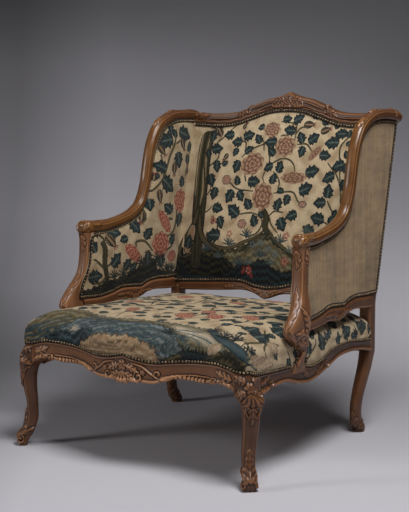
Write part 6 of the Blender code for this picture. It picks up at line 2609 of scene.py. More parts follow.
@dataclass
class BackRails:
    """The crest rail and the lower back rail."""

    bench: Bench
    step: float = 0.0019
    end_fade: float = 0.006
    crest_points: int = 92
    crest_ease: float = 0.0026
    crest_carving: float = 0.0046
    # Each moulding's distance from its edge, its width and how far it stands proud.
    top_line: tuple[float, float, float] = (0.0055, 0.0028, 0.0020)
    nail_line: tuple[float, float, float] = (0.0060, 0.0020, 0.0013)
    lower_line: tuple[float, float, float] = (0.0050, 0.0026, 0.0012)
    wave_height: float = 0.0016
    wave_pitch: float = 150.0
    bump_height: float = 0.003
    bump_width: float = 0.016
    lower_points: int = 72
    lower_ease: float = 0.0024
    lower_carving: float = 0.0032

    def build(self) -> None:
        """Make both rails."""
        self.crest_rail()
        self.lower_rail()

    def _corners(self, x: Array, outline: Sequence[tuple[Number, Array]]) -> Array:
        """Sections on the rake, from depths behind the posts' middle and heights.

        Args:
            x: Places across the chair.
            outline: A depth and a height for each corner.

        Returns:
            Sections by corners by 3.
        """
        plan = self.bench.plan
        return np.stack([np.column_stack((x, plan.post_y(z) + y, z)) for y, z in outline],
                        axis=1)

    def crest_rail(self) -> None:
        """The arched crest with its central flower, leafy scrolls and mouldings."""
        plan = self.bench.plan
        end = plan.wing_x - plan.wing_half_thickness - plan.joint_gap
        x = np.linspace(-end, end, int(2 * end / self.step))
        nail, top = plan.crest(x)
        front = -plan.post_depth / 2
        proud, tongue = front - plan.cove, front + plan.tongue
        back, tip, bead = proud + plan.crest_thickness, nail - plan.tongue, plan.bead
        corners = self._corners(x, (
            (proud, nail + plan.cove), (front, nail), (front, tip), (tongue, tip),
            (tongue, nail), (back, nail), (back, top - bead), (back - bead, top),
            (proud + bead, top), (proud, top - bead)))
        rings = even_rings(eased(corners, self.crest_ease), self.crest_points)

        def rise(place: float, share: float) -> float:
            """Height at a share of the crest's face."""
            low, high = plan.crest(place)
            return float(lerp(low, high, share))

        motifs: list[Motif] = [Flower((0.0, 1.012), 0.0185, 6),
                               Shell((0.0, 1.010), 0.034, -math.pi / 2, 0.8, 5)]
        motifs += both_sides([
            Leaf((0.014, 1.018), 0.044, 0.10, 0.30, 3.5, -0.3),
            Leaf((0.014, 1.006), 0.044, -0.40, 0.30, 3.5, 0.2),
            scroll((0.050, 1.004), 0.012, 2.4, 1.2, 0.005),
            Stroke.through(tuple((p, rise(p, 0.62)) for p in (0.060, 0.085, 0.112, 0.138)),
                           0.0062),
            Stroke.through(tuple((p, rise(p, 0.30)) for p in (0.030, 0.060, 0.095, 0.125)),
                           0.0046),
            scroll((0.146, rise(0.146, 0.55)), 0.011, 2.6, -1.2, 0.005),
            Leaf((0.150, rise(0.150, 0.6)), 0.046, -0.25, 0.28, 3.5, -0.2),
            Leaf((0.142, rise(0.142, 0.9)), 0.030, 0.9, 0.34, 3.0),
            Stroke.through(tuple((p, rise(p, 0.45)) for p in (0.195, 0.230, 0.265, 0.300)),
                           0.0042, 0.5),
            Leaf((0.345, rise(0.345, 0.5)), 0.045, 2.9, 0.28, 3.5),
            Leaf((0.345, rise(0.345, 0.8)), 0.032, 2.2, 0.30, 3.0)])

        def carving(points: Array, normals: Array, around: Array) -> Array:
            """Relief of the carving and the mouldings.

            Args:
                points: The surface's points, rings by points by 3.
                normals: The surface's normals there.
                around: The way round each ring from its starting point, in metres; not used.

            Returns:
                How far each point is moved outwards.
            """
            s, t = points[..., 0], points[..., 2]
            above = free_of(t - nail[:, None])
            face = ramp(np.maximum(-normals[..., 1], normals[..., 2]), 0.2, 0.6)
            wave = (self.wave_height * np.sin(s * self.wave_pitch)
                    * ramp(np.abs(s), 0.05, 0.08))
            inset, wide, proud_top = self.top_line
            rise_over, narrow, proud_nail = self.nail_line
            lines = moulding(t, top[:, None] - inset, wide, proud_top)
            lines += moulding(t, nail[:, None] + rise_over + wave, narrow, proud_nail)
            bumps = (ramp(normals[..., 2], 0.5, 0.9) * self.bump_height
                     * np.exp(-(s / self.bump_width) ** 2))
            ends = ramp(end - np.abs(s), 0.0, self.end_fade)
            return above * ends * (
                face * (carve(s, t, motifs, self.crest_carving) + lines) + bumps)

        self.bench.timber("crest_rail_carved", rings, ("crest_rail",), "dark_walnut",
                          carving)

    def lower_rail(self) -> None:
        """The shaped rail below the back panel, with a drop at its middle."""
        plan = self.bench.plan
        end = plan.post_inner_x - plan.joint_gap
        x = np.linspace(-end, end, int(2 * end / self.step))
        low, nail = plan.lower_back(x)
        front = -plan.post_depth / 2
        proud, tongue = front - plan.cove, front + plan.tongue
        back, tip, bead = proud + plan.back_rail_thickness, nail + plan.tongue, plan.bead
        corners = self._corners(x, (
            (proud, low + bead), (proud + bead, low), (back - bead, low), (back, low + bead),
            (back, nail), (tongue, nail), (tongue, tip), (front, tip), (front, nail),
            (proud, nail - plan.cove)))
        rings = even_rings(eased(corners, self.lower_ease), self.lower_points)
        motifs: list[Motif] = [Shell((0.0, 0.404), 0.024, -math.pi / 2, 1.1, 5)]
        motifs += both_sides([
            Leaf((0.010, 0.396), 0.050, 0.35, 0.26, 3.5, 0.2),
            Stroke.through(((0.030, 0.398), (0.055, 0.406), (0.080, 0.414), (0.110, 0.414)),
                           0.0048, 0.5),
            Leaf((0.120, 0.412), 0.045, -0.1, 0.22, 3.5)])

        def carving(points: Array, normals: Array, around: Array) -> Array:
            """Relief of the carving and the mouldings.

            Args:
                points: The surface's points, rings by points by 3.
                normals: The surface's normals there.
                around: The way round each ring from its starting point, in metres; not used.

            Returns:
                How far each point is moved outwards.
            """
            s, t = points[..., 0], points[..., 2]
            face = ramp(-normals[..., 1], 0.2, 0.6) * free_of(nail[:, None] - t)
            rise_over, wide, high = self.lower_line
            line = moulding(t, low[:, None] + rise_over, wide, high)
            ends = ramp(end - np.abs(s), 0.0, self.end_fade)
            return face * ends * (carve(s, t, motifs, self.lower_carving) + line)

        self.bench.timber("lower_back_rail_carved", rings, ("lower_back_rail",),
                          "dark_walnut", carving)


# Upholstery


def weights(coarse: Array, fine: Array) -> Array:
    """How a smooth reading at fine places weighs values given at coarse places."""
    return np.stack([smooth(np.column_stack((coarse, row)), fine)
                     for row in np.eye(len(coarse))], axis=-1)


@dataclass
class Stuffer:
    """Puffs a pad's cover up with Blender's cloth and gives how far it moved."""

    pressure: float = 4.0
    frames: int = 20
    reach: float = 0.006

    def swell(self, points: Array, closed: bool, held: Array) -> Array:
        """Run the cloth on a coarse grid.

        Args:
            points: Rows by columns by 3.
            closed: Whether the last column joins the first.
            held: Which points are nailed down, rows by columns.

        Returns: How far each point moved, at most the reach.
        """
        shape = Shape()
        shape.grid(points, closed)
        piece = shape.build("cloth_trial", bpy.data.materials[0], False)
        group = piece.vertex_groups.new(name="held")
        group.add(np.flatnonzero(held.ravel()).tolist(), 1.0, "REPLACE")
        cloth = piece.modifiers.new("Cloth", "CLOTH")
        cloth.settings.vertex_group_mass = "held"
        cloth.settings.use_pressure = True
        cloth.settings.uniform_pressure_force = self.pressure
        cloth.settings.quality = 6
        cloth.settings.tension_stiffness = 12.0
        cloth.settings.effector_weights.gravity = 0.0
        cloth.point_cache.frame_end = self.frames
        scene = bpy.context.scene
        for number in range(1, self.frames + 1):
            scene.frame_set(number)
        graph = bpy.context.evaluated_depsgraph_get()
        result = piece.evaluated_get(graph).to_mesh()
        moved = np.empty(len(result.vertices) * 3)
        result.vertices.foreach_get("co", moved)
        scene.frame_set(1)
        bpy.data.objects.remove(piece)
        change = moved.reshape(points.shape) - points
        size = np.linalg.norm(change, axis=-1, keepdims=True)
        return change * np.minimum(1.0, self.reach / np.maximum(size, 1e-9))


@dataclass
class Run:
    """A line of nails on its braid: places, the way they face, and the way across."""

    places: Array
    facing: Array
    closed: bool = False


@dataclass
class Trim:
    """Brass nails in close rows on dark braid."""

    bench: Bench
    pitch: float = 0.0100
    nail_radius: float = 0.0035
    nail_height: float = 0.0027
    braid_width: float = 0.0125
    braid_depth: float = 0.0012
    braid_step: float = 0.0035
    runs: list[Run] = field(default_factory=list)

    def add(self, places: Array, facing: Array, closed: bool = False) -> None:
        """Keep one run, in the plan's frame."""
        facing = np.broadcast_to(facing, places.shape)
        self.runs.append(Run(places, unit(facing), closed))

    def build(self, name: str) -> None:
        """Make the braid of all runs as one piece, and the nails as another."""
        self.braid(name + "_braid")
        self.nails(name + "_nails")

    def braid(self, name: str) -> None:
        """A flat woven band under each row of nails.

        Args:
            name: The piece's name.
        """
        shape = Shape()
        outline = ((-0.50, 0.0), (-0.47, 0.75), (-0.25, 0.95), (0.0, 0.8), (0.25, 0.95),
                   (0.47, 0.75), (0.50, 0.0))
        for run in self.runs:
            count = max(3, int(run_lengths(run.places)[-1] / self.braid_step))
            joined = resample(np.hstack((run.places, run.facing)), count)
            places, facing = joined[:, :3], unit(joined[:, 3:])
            along = unit(np.gradient(places, axis=0))
            across = unit(np.cross(facing, along))
            far = run_lengths(places)
            bands, marks = [], []
            for side, high in outline:
                bands.append(places + across * self.braid_width * side
                             + facing * self.braid_depth * high)
                marks.append(np.column_stack((far, np.full(count, side * self.braid_width))))
            index = shape.grid(self.bench.placed(np.stack(bands, axis=1)), True,
                               cloth=np.stack(marks, axis=1))
            shape.cap(index[0], True)
            shape.cap(index[-1])
        self.bench.hand_over(shape.build(name, self.bench.finishes["braid"]))

    def nails(self, name: str) -> None:
        """Low domed nails, set along every run by geometry nodes.

        Args:
            name: The piece's name.
        """
        points, edges, facing, start = [], [], [], 0
        for run in self.runs:
            count = len(run.places)
            points.append(self.bench.placed(run.places + run.facing * self.braid_depth))
            facing.append(run.facing)
            edges += [(start + at, start + at + 1) for at in range(count - 1)]
            start += count
        mesh = bpy.data.meshes.new(name)
        mesh.from_pydata(np.concatenate(points).tolist(), edges, [])
        layer = mesh.attributes.new("facing", "FLOAT_VECTOR", "POINT")
        layer.data.foreach_set("vector", np.concatenate(facing).astype(np.float32).ravel())
        piece = bpy.data.objects.new(name, mesh)
        bpy.context.scene.collection.objects.link(piece)
        modifier = piece.modifiers.new("Nails", "NODES")
        modifier.node_group = self._nail_nodes()
        sizes = {"Pitch": self.pitch, "Radius": self.nail_radius,
                 "Height": self.nail_height}
        for item in modifier.node_group.interface.items_tree:
            if item.name in sizes:
                modifier[item.identifier] = sizes[item.name]
        graph = bpy.context.evaluated_depsgraph_get()
        plain = bpy.data.meshes.new_from_object(piece.evaluated_get(graph))
        piece.modifiers.clear()
        plain.name = name
        piece.data = plain
        plain.shade_smooth()
        self.bench.hand_over(piece)

    def _nail_nodes(self) -> bpy.types.NodeTree:
        """The tree that sets a nail at even steps along each line of a mesh.

        Returns:
            The tree.
        """
        tree = bpy.data.node_groups.new("nail_rows", "GeometryNodeTree")
        face = tree.interface
        face.new_socket("Geometry", in_out="INPUT", socket_type="NodeSocketGeometry")
        for label in ("Pitch", "Radius", "Height"):
            face.new_socket(label, in_out="INPUT", socket_type="NodeSocketFloat")
        face.new_socket("Geometry", in_out="OUTPUT", socket_type="NodeSocketGeometry")

        node = partial(add_node, tree)
        given = node("NodeGroupInput").outputs
        line = node("GeometryNodeMeshToCurve", {}, {"Mesh": given["Geometry"]})
        steps = node("GeometryNodeResampleCurve", {"mode": "LENGTH"},
                     {"Curve": line.outputs[0], "Length": given["Pitch"]})
        dome = node("GeometryNodeMeshUVSphere", {}, {"Segments": 8, "Rings": 6,
                                                     "Radius": given["Radius"]})
        share = node("ShaderNodeMath", {"operation": "DIVIDE"},
                     {0: given["Height"], 1: given["Radius"]})
        size = node("ShaderNodeCombineXYZ", {}, {0: 1.0, 1: 1.0, 2: share.outputs[0]})
        flat = node("GeometryNodeTransform", {}, {"Geometry": dome.outputs["Mesh"],
                                                  "Scale": size.outputs[0]})
        facing = node("GeometryNodeInputNamedAttribute", {"data_type": "FLOAT_VECTOR"},
                      {"Name": "facing"})
        turned = node("FunctionNodeAlignEulerToVector", {"axis": "Z"},
                      {"Vector": facing.outputs[0]})
        chance = node("FunctionNodeRandomValue", {"data_type": "FLOAT"},
                      {2: 0.92, 3: 1.06, "Seed": 7})
        rows = node("GeometryNodeInstanceOnPoints", {}, {
            "Points": steps.outputs[0], "Instance": flat.outputs[0],
            "Rotation": turned.outputs[0], "Scale": chance.outputs[1]})
        real = node("GeometryNodeRealizeInstances", {}, {0: rows.outputs[0]})
        dressed = node("GeometryNodeSetMaterial", {}, {
            "Geometry": real.outputs[0], "Material": self.bench.finishes["brass"]})
        node("NodeGroupOutput", {}, {0: dressed.outputs[0]})
        return tree


def coons(bottom: Array, top: Array, front: Array, rear: Array, shape: tuple[int, int]
          ) -> Array:
    """A grid between four edges that meet at their ends.

    Args:
        bottom: The edge from the front to the rear, below.
        top: The edge from the front to the rear, above.
        front: The edge from below to above, in front.
        rear: The edge from below to above, behind.
        shape: How many columns and rows the grid has.

    Returns:
        Columns by rows of places.
    """
    u = np.linspace(0.0, 1.0, shape[0])[:, None, None]
    v = np.linspace(0.0, 1.0, shape[1])[None, :, None]
    low, high = even_mix(bottom, shape[0])[:, None], even_mix(top, shape[0])[:, None]
    near, far = resample(front, shape[1])[None], resample(rear, shape[1])[None]
    flat = ((1 - u) * (1 - v) * low[:1] + u * (1 - v) * low[-1:]
            + (1 - u) * v * high[:1] + u * v * high[-1:])
    return (1 - v) * low + v * high + (1 - u) * near + u * far - flat


def even_mix(line: Array, count: int) -> Array:
    """Places along a line, spaced half by its length and half by its depth.

    Args:
        line: Rows of depth and height.
        count: How many places there are.

    Returns:
        The places, one row for each.
    """
    along = run_lengths(line)
    depth = (line[:, 0] - line[0, 0]) / (line[-1, 0] - line[0, 0])
    share = 0.5 * along / along[-1] + 0.5 * depth
    places = np.linspace(0.0, 1.0, count)
    return np.stack([np.interp(places, share, line[:, axis]) for axis in range(2)], axis=-1)


def lumps(s: Array, t: Array, height: float) -> Array:
    """The soft unevenness of hand-laid stuffing."""
    return height * (np.sin(s * 19 + 1.3) * np.sin(t * 23 + 0.4)
                     + 0.6 * np.sin(s * 37 + t * 31) + 0.4 * np.sin(s * 61 - t * 47 + 2))


def rim(u: Array, v: Array) -> Array:
    """How full a pad is at shares of its width and height: 0 at its edges."""
    return (1 - (2 * u - 1) ** 4) * (1 - (2 * v - 1) ** 4)


@dataclass
class Upholstery:
    """Seat, back and wings: needlework over stuffing, linen outside, webbing below."""

    bench: Bench
    nail_inset: float = 0.0062
    lap: float = 0.030
    low_lap: float = 0.050
    lap_rise: float = 0.012
    lap_height: float = 0.0016
    picture_middle: float = 0.20
    picture_stretch: float = 1.14
    hessian_hang: float = 0.000525
    nail_lift: float = 0.0004
    nail_lean: float = 0.23
    swell_reach: float = 0.005
    wing_swell_reach: float = 0.004
    seat_lumps: float = 0.0011
    back_lumps: float = 0.0009
    wing_lumps: float = 0.0008
    # Points round the seat, and those of the coarse cloth that swells it.
    seat_round: int = 720
    cloth_round: int = 120
    cloth_overlap: int = 3
    support_room: float = 0.0018
    least_press: float = 0.0003
    under_insets: tuple[float, float] = (0.0016, 0.0020)
    under_lift: float = 0.0066
    strap_width: float = 0.050
    strap_points: int = 160

    def build(self) -> None:
        """Make every soft piece and its nails."""
        self.trim = Trim(self.bench)
        self.seat()
        self.back()
        for side in Side:
            self.wing(side)
            self.wing_linen(side)
        self.back_linen()
        self.hessian()
        self.webbing()
        self.trim.build("upholstery")

    def pad(self, name: str, grid: Array, marks: dict[str, Array], back: Array,
            nodes: Sequence[str], closed: bool = False) -> None:
        """Close a padded front with a rim and a hidden rear, and hand it over.

        Args:
            name: The pad's name.
            grid: The front's points.
            marks: What the finish reads at each point.
            back: The rear loop's points, one for each point of the front's border.
            nodes: The frame's nodes that it stands for.
            closed: Whether the front's last column joins its first.
        """
        shape = Shape()
        index = shape.grid(self.bench.placed(grid), closed, **marks)
        loop = index[0] if closed else border(index)
        if closed:
            shape.cap(index[-1])
        behind = {label: np.concatenate([mark[label] for mark in shape.marks])[loop]
                  for label in marks}
        last = loop
        for ring in back:
            extra = shape.grid(self.bench.placed(ring)[None], closed, **behind)[0]
            shape.bridge(last, extra)
            last = extra
        shape.cap(last[::-1])
        piece = shape.build(name, self.bench.finishes["needlework"])
        self.bench.hand_over(piece, "needlework", nodes)

    def painted(self, garden: Garden, s: Array, t: Array) -> dict[str, Array]:
        """What the needlework finish reads: both colours and the edge between them.

        Args:
            garden: The picture.
            s: Places across the cloth.
            t: Places up it.

        Returns:
            The three, by attribute name.
        """
        canvas = Canvas(s.ravel(), t.ravel(), ground=garden.ground)
        garden.paint(canvas)
        shape = s.shape
        return {"under": canvas.under.reshape(*shape, 3),
                "over": canvas.over.reshape(*shape, 3), "edge": canvas.edge.reshape(shape)}

    def sheet(self, name: str, grid: Array, off: Array, slot: str, finish: str,
              nodes: Sequence[str], rests_on: Sequence[str], cloth: Array) -> None:
        """A thin closed sheet between a grid and the same grid moved by an offset.

        Args:
            name: The sheet's name.
            grid: Its points on one side.
            off: How far the other side lies.
            slot: The record's material slot.
            finish: Which finish it gets.
            nodes: The frame's nodes that it stands for.
            rests_on: The pieces on which it lies; it is not used.
            cloth: Where each point lies on the flat cloth.
        """
        shape = Shape()
        front = shape.grid(self.bench.placed(grid), cloth=cloth)
        rear = shape.grid(self.bench.placed(grid + off), cloth=cloth)
        shape.faces = [face if min(face) < front.size else face[::-1]
                       for face in shape.faces]
        shape.bridge(border(rear), border(front))
        piece = shape.build(name, self.bench.finishes[finish])
        across = np.cross(grid[1:, :-1] - grid[:-1, :-1], grid[:-1, 1:] - grid[:-1, :-1])
        area = float(np.linalg.norm(across, axis=-1).sum())
        size = np.ptp(cloth.reshape(-1, 2), axis=0) + 0.002
        self.bench.hand_over(piece, slot, nodes)
        min(area, float(size.prod()))
        log.info("%s: flat %.3f by %.3f m", name, *size)

    def _swelled(self, face: Callable[[int, int], tuple[Array, Array]],
                 fine: tuple[int, int], coarse: tuple[int, int], reach: float,
                 turned: bool = False) -> tuple[Array, Array]:
        """A pad's fine grid, puffed up as a coarse cloth of the same form is.

        Args:
            face: Gives the pad's grid, and how full it is, from columns and rows.
            fine: Columns and rows of the pad.
            coarse: Columns and rows of the cloth.
            reach: How far the cloth may move.
            turned: Whether the cloth's rows run the other way, as a mirrored pad's do.

        Returns:
            The puffed grid, and how full the pad is at each place.
        """
        grid, full = face(*fine)
        held = np.ones(coarse, dtype=bool)
        held[1:-1, 1:-1] = False
        order = slice(None, None, -1 if turned else 1)
        trial = face(*coarse)[0][:, order]
        change = Stuffer(reach=reach).swell(trial, False, held)[:, order]
        rows, columns = (weights(np.linspace(0, 1, few), np.linspace(0, 1, many))
                         for few, many in zip(coarse, fine))
        return grid + np.einsum("ri,ijk,cj->rck", rows, change, columns), full

    # Seat

    def _seat_outline(self, count: int) -> tuple[Array, Array, Array]:
        """The seat's plan: places, outward directions and the nail line's height.

        Args:
            count: How many places there are.

        Returns:
            The three, once round the seat.
        """
        plan = self.bench.plan
        x = np.linspace(0.0, plan.block_inner_x, 120)
        y, nail, _ = plan.front_face(x)
        rows = [np.column_stack((x, y, nail))]
        turn = np.linspace(0.0, math.pi / 2, 60)[1:-1]
        over, ahead = np.sin(turn) ** 0.4, np.cos(turn) ** 0.4
        low = float(plan.front_face(SeatFrame.leg_corner_x)[1])
        ends = (float(nail[-1]), float(plan.side_face(plan.block_rear_y)[1]))
        level = lerp(lerp(ends[0], ends[1], turn / turn[-1]), low, np.sin(2 * turn))
        rows.append(np.column_stack((
            plan.block_inner_x + plan.block_width * over,
            plan.block_rear_y - plan.block_depth * ahead, level)))
        end = plan.post_front_y - plan.seat_bulge - plan.cove
        y = np.linspace(plan.block_rear_y, end, 160)
        x, nail, _ = plan.side_face(y)
        rows.append(np.column_stack((x, y, nail)))
        above = plan.deck(end) + plan.webbing + plan.base_cloth + plan.cove
        inner = plan.post_inner_x - plan.seat_bulge - plan.cove
        rear = plan.rear_y + plan.rear_overhang
        rows.append(np.array(((inner, end, above), (inner, plan.rear_y, above),
                              (inner, rear - 0.004, above), (inner - 0.016, rear,
                                                             plan.rear_nail),
                              (0.0, rear, plan.rear_nail))))
        right = np.concatenate(rows)
        left = right[::-1][1:-1] * (-1, 1, 1)
        line = resample(np.vstack((right, left, right[:1])), count + 1)[:-1]
        along = np.roll(line, -1, axis=0) - np.roll(line, 1, axis=0)
        return line[:, :2], unit(np.stack((along[:, 1], -along[:, 0]), axis=-1)), line[:, 2]

    def _seat_grid(self, count: int, walls: Array, shares: Array) -> Array:
        """Rings of the seat's cover, up its wall and over its crown.

        Args:
            count: How many points a ring has.
            walls: Shares of the wall's height, from its foot up.
            shares: Shares of the plan, from the edge inwards.

        Returns:
            Rings by points by 3.
        """
        plan = self.bench.plan
        place, outward, nail = self._seat_outline(count)
        flush = plan.cloth + plan.joint_gap - plan.rebate
        edge = nail + 2 * plan.joint_gap
        brow = plan.deck(place[:, 1]) + plan.seat_crown * plan.CROWN_SHARES[-1][1]
        rings = []
        for t in walls:
            out = lerp(flush, plan.seat_bulge, math.sin(math.pi / 2 * min(1.0, t * 1.4)))
            rings.append(np.column_stack((place + outward * out, lerp(edge, brow, t))))
        for share in shares:
            at = (place + outward * plan.seat_bulge) * share
            z = plan.deck(at[:, 1]) + plan.seat_crown * smooth(plan.CROWN_SHARES, share)
            rings.append(np.column_stack((at, z)))
        return np.array(rings)

    def _clear_of_supports(self, grid: Array, room: float) -> tuple[Array, Array]:
        """The seat's grid pressed in round the supports, and how far it was pressed.

        Args:
            grid: The points.
            room: How much room the supports get.

        Returns:
            The moved points, and how far each was moved.
        """
        plan = self.bench.plan
        x, y, depth, width = plan.support(np.maximum(grid[..., 2], plan.support_foot))
        away = np.clip(np.abs(grid[..., 1] - y) / (depth + room), 0.0, 1.0)
        power = Uprights.support_roundness
        inner = x - (width + room) * (1 - away ** power) ** (1 / power)
        pressed = np.where((away < 1.0), np.maximum(np.abs(grid[..., 0]) - inner, 0.0), 0.0)
        moved = grid.copy()
        moved[..., 0] -= np.sign(grid[..., 0]) * pressed
        return moved, pressed

    def seat(self) -> None:
        """The seat's pad: needlework pulled over a crowned stuffing, nailed all round."""
        plan = self.bench.plan
        depth = np.linspace(0.0, 1.0, 96)
        walls = np.linspace(0, 1, 24)
        shares = 0.992 - 0.986 * (0.6 * depth + 0.4 * depth ** 2)
        many, few, lap = self.seat_round, self.cloth_round, self.cloth_overlap
        grid = self._seat_grid(many, walls, shares)
        few_walls, few_shares = walls[::4], shares[::6]
        coarse = self._seat_grid(few, few_walls, few_shares)
        held = np.zeros(coarse.shape[:2], dtype=bool)
        held[:3] = True
        change = Stuffer(reach=self.swell_reach).swell(coarse, True, held)
        rows = weights(np.concatenate((few_walls, 2 - few_shares)),
                       np.concatenate((walls, 2 - shares)))
        around = np.arange(-lap, few + lap + 1)
        columns = weights(around / few, np.arange(many) / many)
        change = np.take(change, around % few, axis=1)
        grid = grid + np.einsum("ri,ijk,cj->rck", rows, change, columns)
        rise = ramp(grid[..., 2] - grid[:1, :, 2], 0.012, 0.05)
        grid[..., 2] += lumps(grid[..., 0], grid[..., 1], self.seat_lumps) * rise
        grid, pressed = self._clear_of_supports(grid, self.support_room)
        legs = np.linalg.norm(np.diff(grid, axis=0), axis=-1)
        far = np.vstack((np.cumsum(legs[::-1], axis=0)[::-1], np.zeros((1, many))))
        place, outward, nail = self._seat_outline(many)
        flat = far[..., None] * unit(place)[None]
        marks = {"cloth": flat, **self.painted(self.seat_garden(), flat[..., 0],
                                               flat[..., 1])}
        under = []
        levels = (nail, plan.deck(place[:, 1]) + self.under_lift)
        for inset, z in zip(self.under_insets, levels):
            inward = plan.rebate + inset - plan.cloth
            ring = np.column_stack((place - outward * inward, z))
            ring[:, 0] = self._clear_of_supports(ring[None],
                                                 self.support_room)[0][0][:, 0]
            under.append(ring)
        self.pad("seat_pad", grid, marks, under, ("seat_cover", "seat_stuffing"), True)
        self._seat_nails(grid, pressed, outward)

    def _seat_nails(self, grid: Array, pressed: Array, outward: Array) -> None:
        """Nails along the seat's lower edge, broken at the supports and round them.

        Args:
            grid: The seat's points.
            pressed: How far each was pressed in.
            outward: Outward directions round the seat.
        """
        height = grid[0, :, 2] + self.nail_inset
        many, wall = self.seat_round, 20
        line = np.empty((many, 3))
        for column in range(many):
            rising = grid[:wall, column]
            share = np.interp(height[column], rising[:, 2], np.arange(wall))
            line[column] = lerp(rising[int(share)], rising[min(int(share) + 1, wall - 1)],
                                share % 1.0)
        facing = np.column_stack((outward, np.zeros(many)))
        blocked = pressed[:6].max(axis=0) > self.least_press
        blocked = blocked | np.roll(blocked, 2) | np.roll(blocked, -2)
        breaks = np.flatnonzero(blocked & ~np.roll(blocked, -1))
        for index, start in enumerate(breaks):
            stop = breaks[(index + 1) % len(breaks)]
            length = (stop - start) % many or many
            chosen = (start + 1 + np.arange(length)) % many
            chosen = chosen[~blocked[chosen]]
            self.trim.add(line[chosen], facing[chosen])
        normals = grid_normals(grid)
        touched = pressed > self.least_press
        for side in Side:
            mine = touched & (grid[..., 0] * side.value > 0)
            columns = np.flatnonzero(mine.any(axis=0))
            first, last = columns.min(), columns.max()
            tops = [np.flatnonzero(mine[:, at]).max() for at in (first + 2, last - 2)]
            crown = int(np.flatnonzero(mine.any(axis=1)).max()) + 2
            for edge, top, step in ((first, tops[0], -1), (last, tops[1], 1)):
                rows = np.arange(4, min(crown, 60), 3)
                places, ways = [], []
                for row in rows:
                    inside = np.flatnonzero(mine[row])
                    if len(inside):
                        at = (inside.min() if step < 0 else inside.max()) + 2 * step
                        places.append(grid[row, at])
                        ways.append(normals[row, at])
                if len(places) > 3:
                    self.trim.add(np.array(places), np.array(ways))

    def seat_garden(self) -> Garden:
        """Banded hillocks with grass in front, a cream field with flowers behind.

        Returns:
            The picture.
        """
        garden = Garden(0.84, 1.22)
        garden.hill((
            (-500, -420), (-388, -366), (-357, -336), (-313, -285), (-243, -269),
            (-188, -280), (-75, -306), (-6, -299), (72, -295), (150, -288), (239, -299),
            (297, -334), (338, -345), (373, -358), (405, -375), (425, -420), (450, -500)),
            Thread.OLIVE, Thread.LICHEN, Thread.BLUE)
        garden.hill((
            (-500, -500), (-250, -350), (-199, -310), (-120, -322), (-48, -330), (17, -320),
            (85, -318), (130, -335), (180, -370), (260, -400), (450, -600)),
            Thread.BLUE, Thread.SKY, Thread.TEAL)
        garden.lines(6.2, (
            ((-400, -380), (-347, -363), (-289, -338), (-251, -320)),
            ((-406, -384), (-339, -374), (-281, -351), (-232, -325)),
            ((-414, -393), (-346, -385), (-284, -365), (-234, -340)),
            ((-394, -403), (-332, -391), (-279, -374), (-242, -354), (-192, -335)),
            ((-337, -400), (-292, -385), (-253, -368), (-214, -355)),
            ((-402, -381), (-373, -377), (-331, -361), (-312, -338)),
            ((-199, -296), (-131, -311), (-52, -328)),
            ((-188, -341), (-132, -323), (-48, -333), (17, -322)),
            ((-199, -361), (-163, -344), (-111, -337))), Thread.TEAL, Thread.BLUE)
        garden.lines(6, (
            ((-152, -360), (-106, -343), (-47, -350), (7, -351)),
            ((16, -397), (79, -382), (122, -387)),
            ((3, -359), (55, -346), (116, -347), (170, -367)),
            ((116, -386), (158, -390), (198, -389)),
            ((130, -403), (176, -396), (218, -400)),
            ((83, -357), (133, -364), (176, -375))), Thread.TEAL, Thread.VEIN)
        garden.hill((
            (-420, -460), (-345, -410), (-300, -386), (-264, -372), (-209, -362),
            (-162, -360), (-130, -385), (-120, -460)), Thread.TEAL, Thread.BLUE)
        garden.hill((
            (-260, -470), (-199, -404), (-152, -390), (-106, -380), (-39, -386), (8, -384),
            (55, -390), (100, -400), (137, -437), (160, -480)),
            Thread.TAN, Thread.SAND, Thread.BARK)
        garden.lines(4.2, (
            ((-185, -406), (-112, -422), (-18, -431), (46, -435), (97, -430)),
            ((31, -433), (44, -416), (68, -398), (99, -400), (128, -412)),
            ((-107, -407), (-68, -418), (-18, -423)),
            ((-71, -403), (-31, -410), (14, -404)),
            ((-148, -424), (-35, -445), (34, -446)),
            ((62, -440), (102, -425), (145, -420))), Thread.BARK, Thread.TAN)
        garden.line((
            (120, -312), (175, -322), (240, -336), (300, -366)),
            46, Thread.LICHEN, Thread.PALE)
        garden.lines(4.8, (
            ((116, -324), (147, -341), (173, -357), (221, -372), (246, -381)),
            ((176, -338), (210, -342), (244, -362)),
            ((139, -323), (175, -315), (217, -311)),
            ((141, -330), (190, -327), (238, -339), (272, -353), (311, -367), (341, -382))),
            Thread.BLUE, Thread.VEIN)
        garden.hill((
            (100, -470), (190, -385), (250, -372), (310, -372), (360, -366), (400, -372),
            (428, -410), (450, -500)), Thread.MOSS, Thread.OLIVE)
        for s in range(215, 420, 17):
            garden.line(((s, -425), (s + 6, -400), (s + 14, -378)), 4.6, Thread.NIGHT,
                        Thread.MOSS)
        garden.line((
            (233, -304), (288, -336), (332, -351), (375, -366), (407, -373), (429, -362)),
            24, Thread.TEAL, Thread.BLUE)
        garden.tufts((
            (-58, -379), (58, -385), (-361, -340), (173, -357), (10, -370), (-135, -335)),
            28, Thread.TEAL, Thread.BLUE)
        garden.tufts((
            (212, -397), (244, -395), (124, -350), (338, -339), (394, -354), (231, -406),
            (272, -400), (254, -314), (297, -334)), 34, Thread.TEAL, Thread.NIGHT)
        garden.tufts(((-209, -365),), 26, Thread.SKY, Thread.PALE)
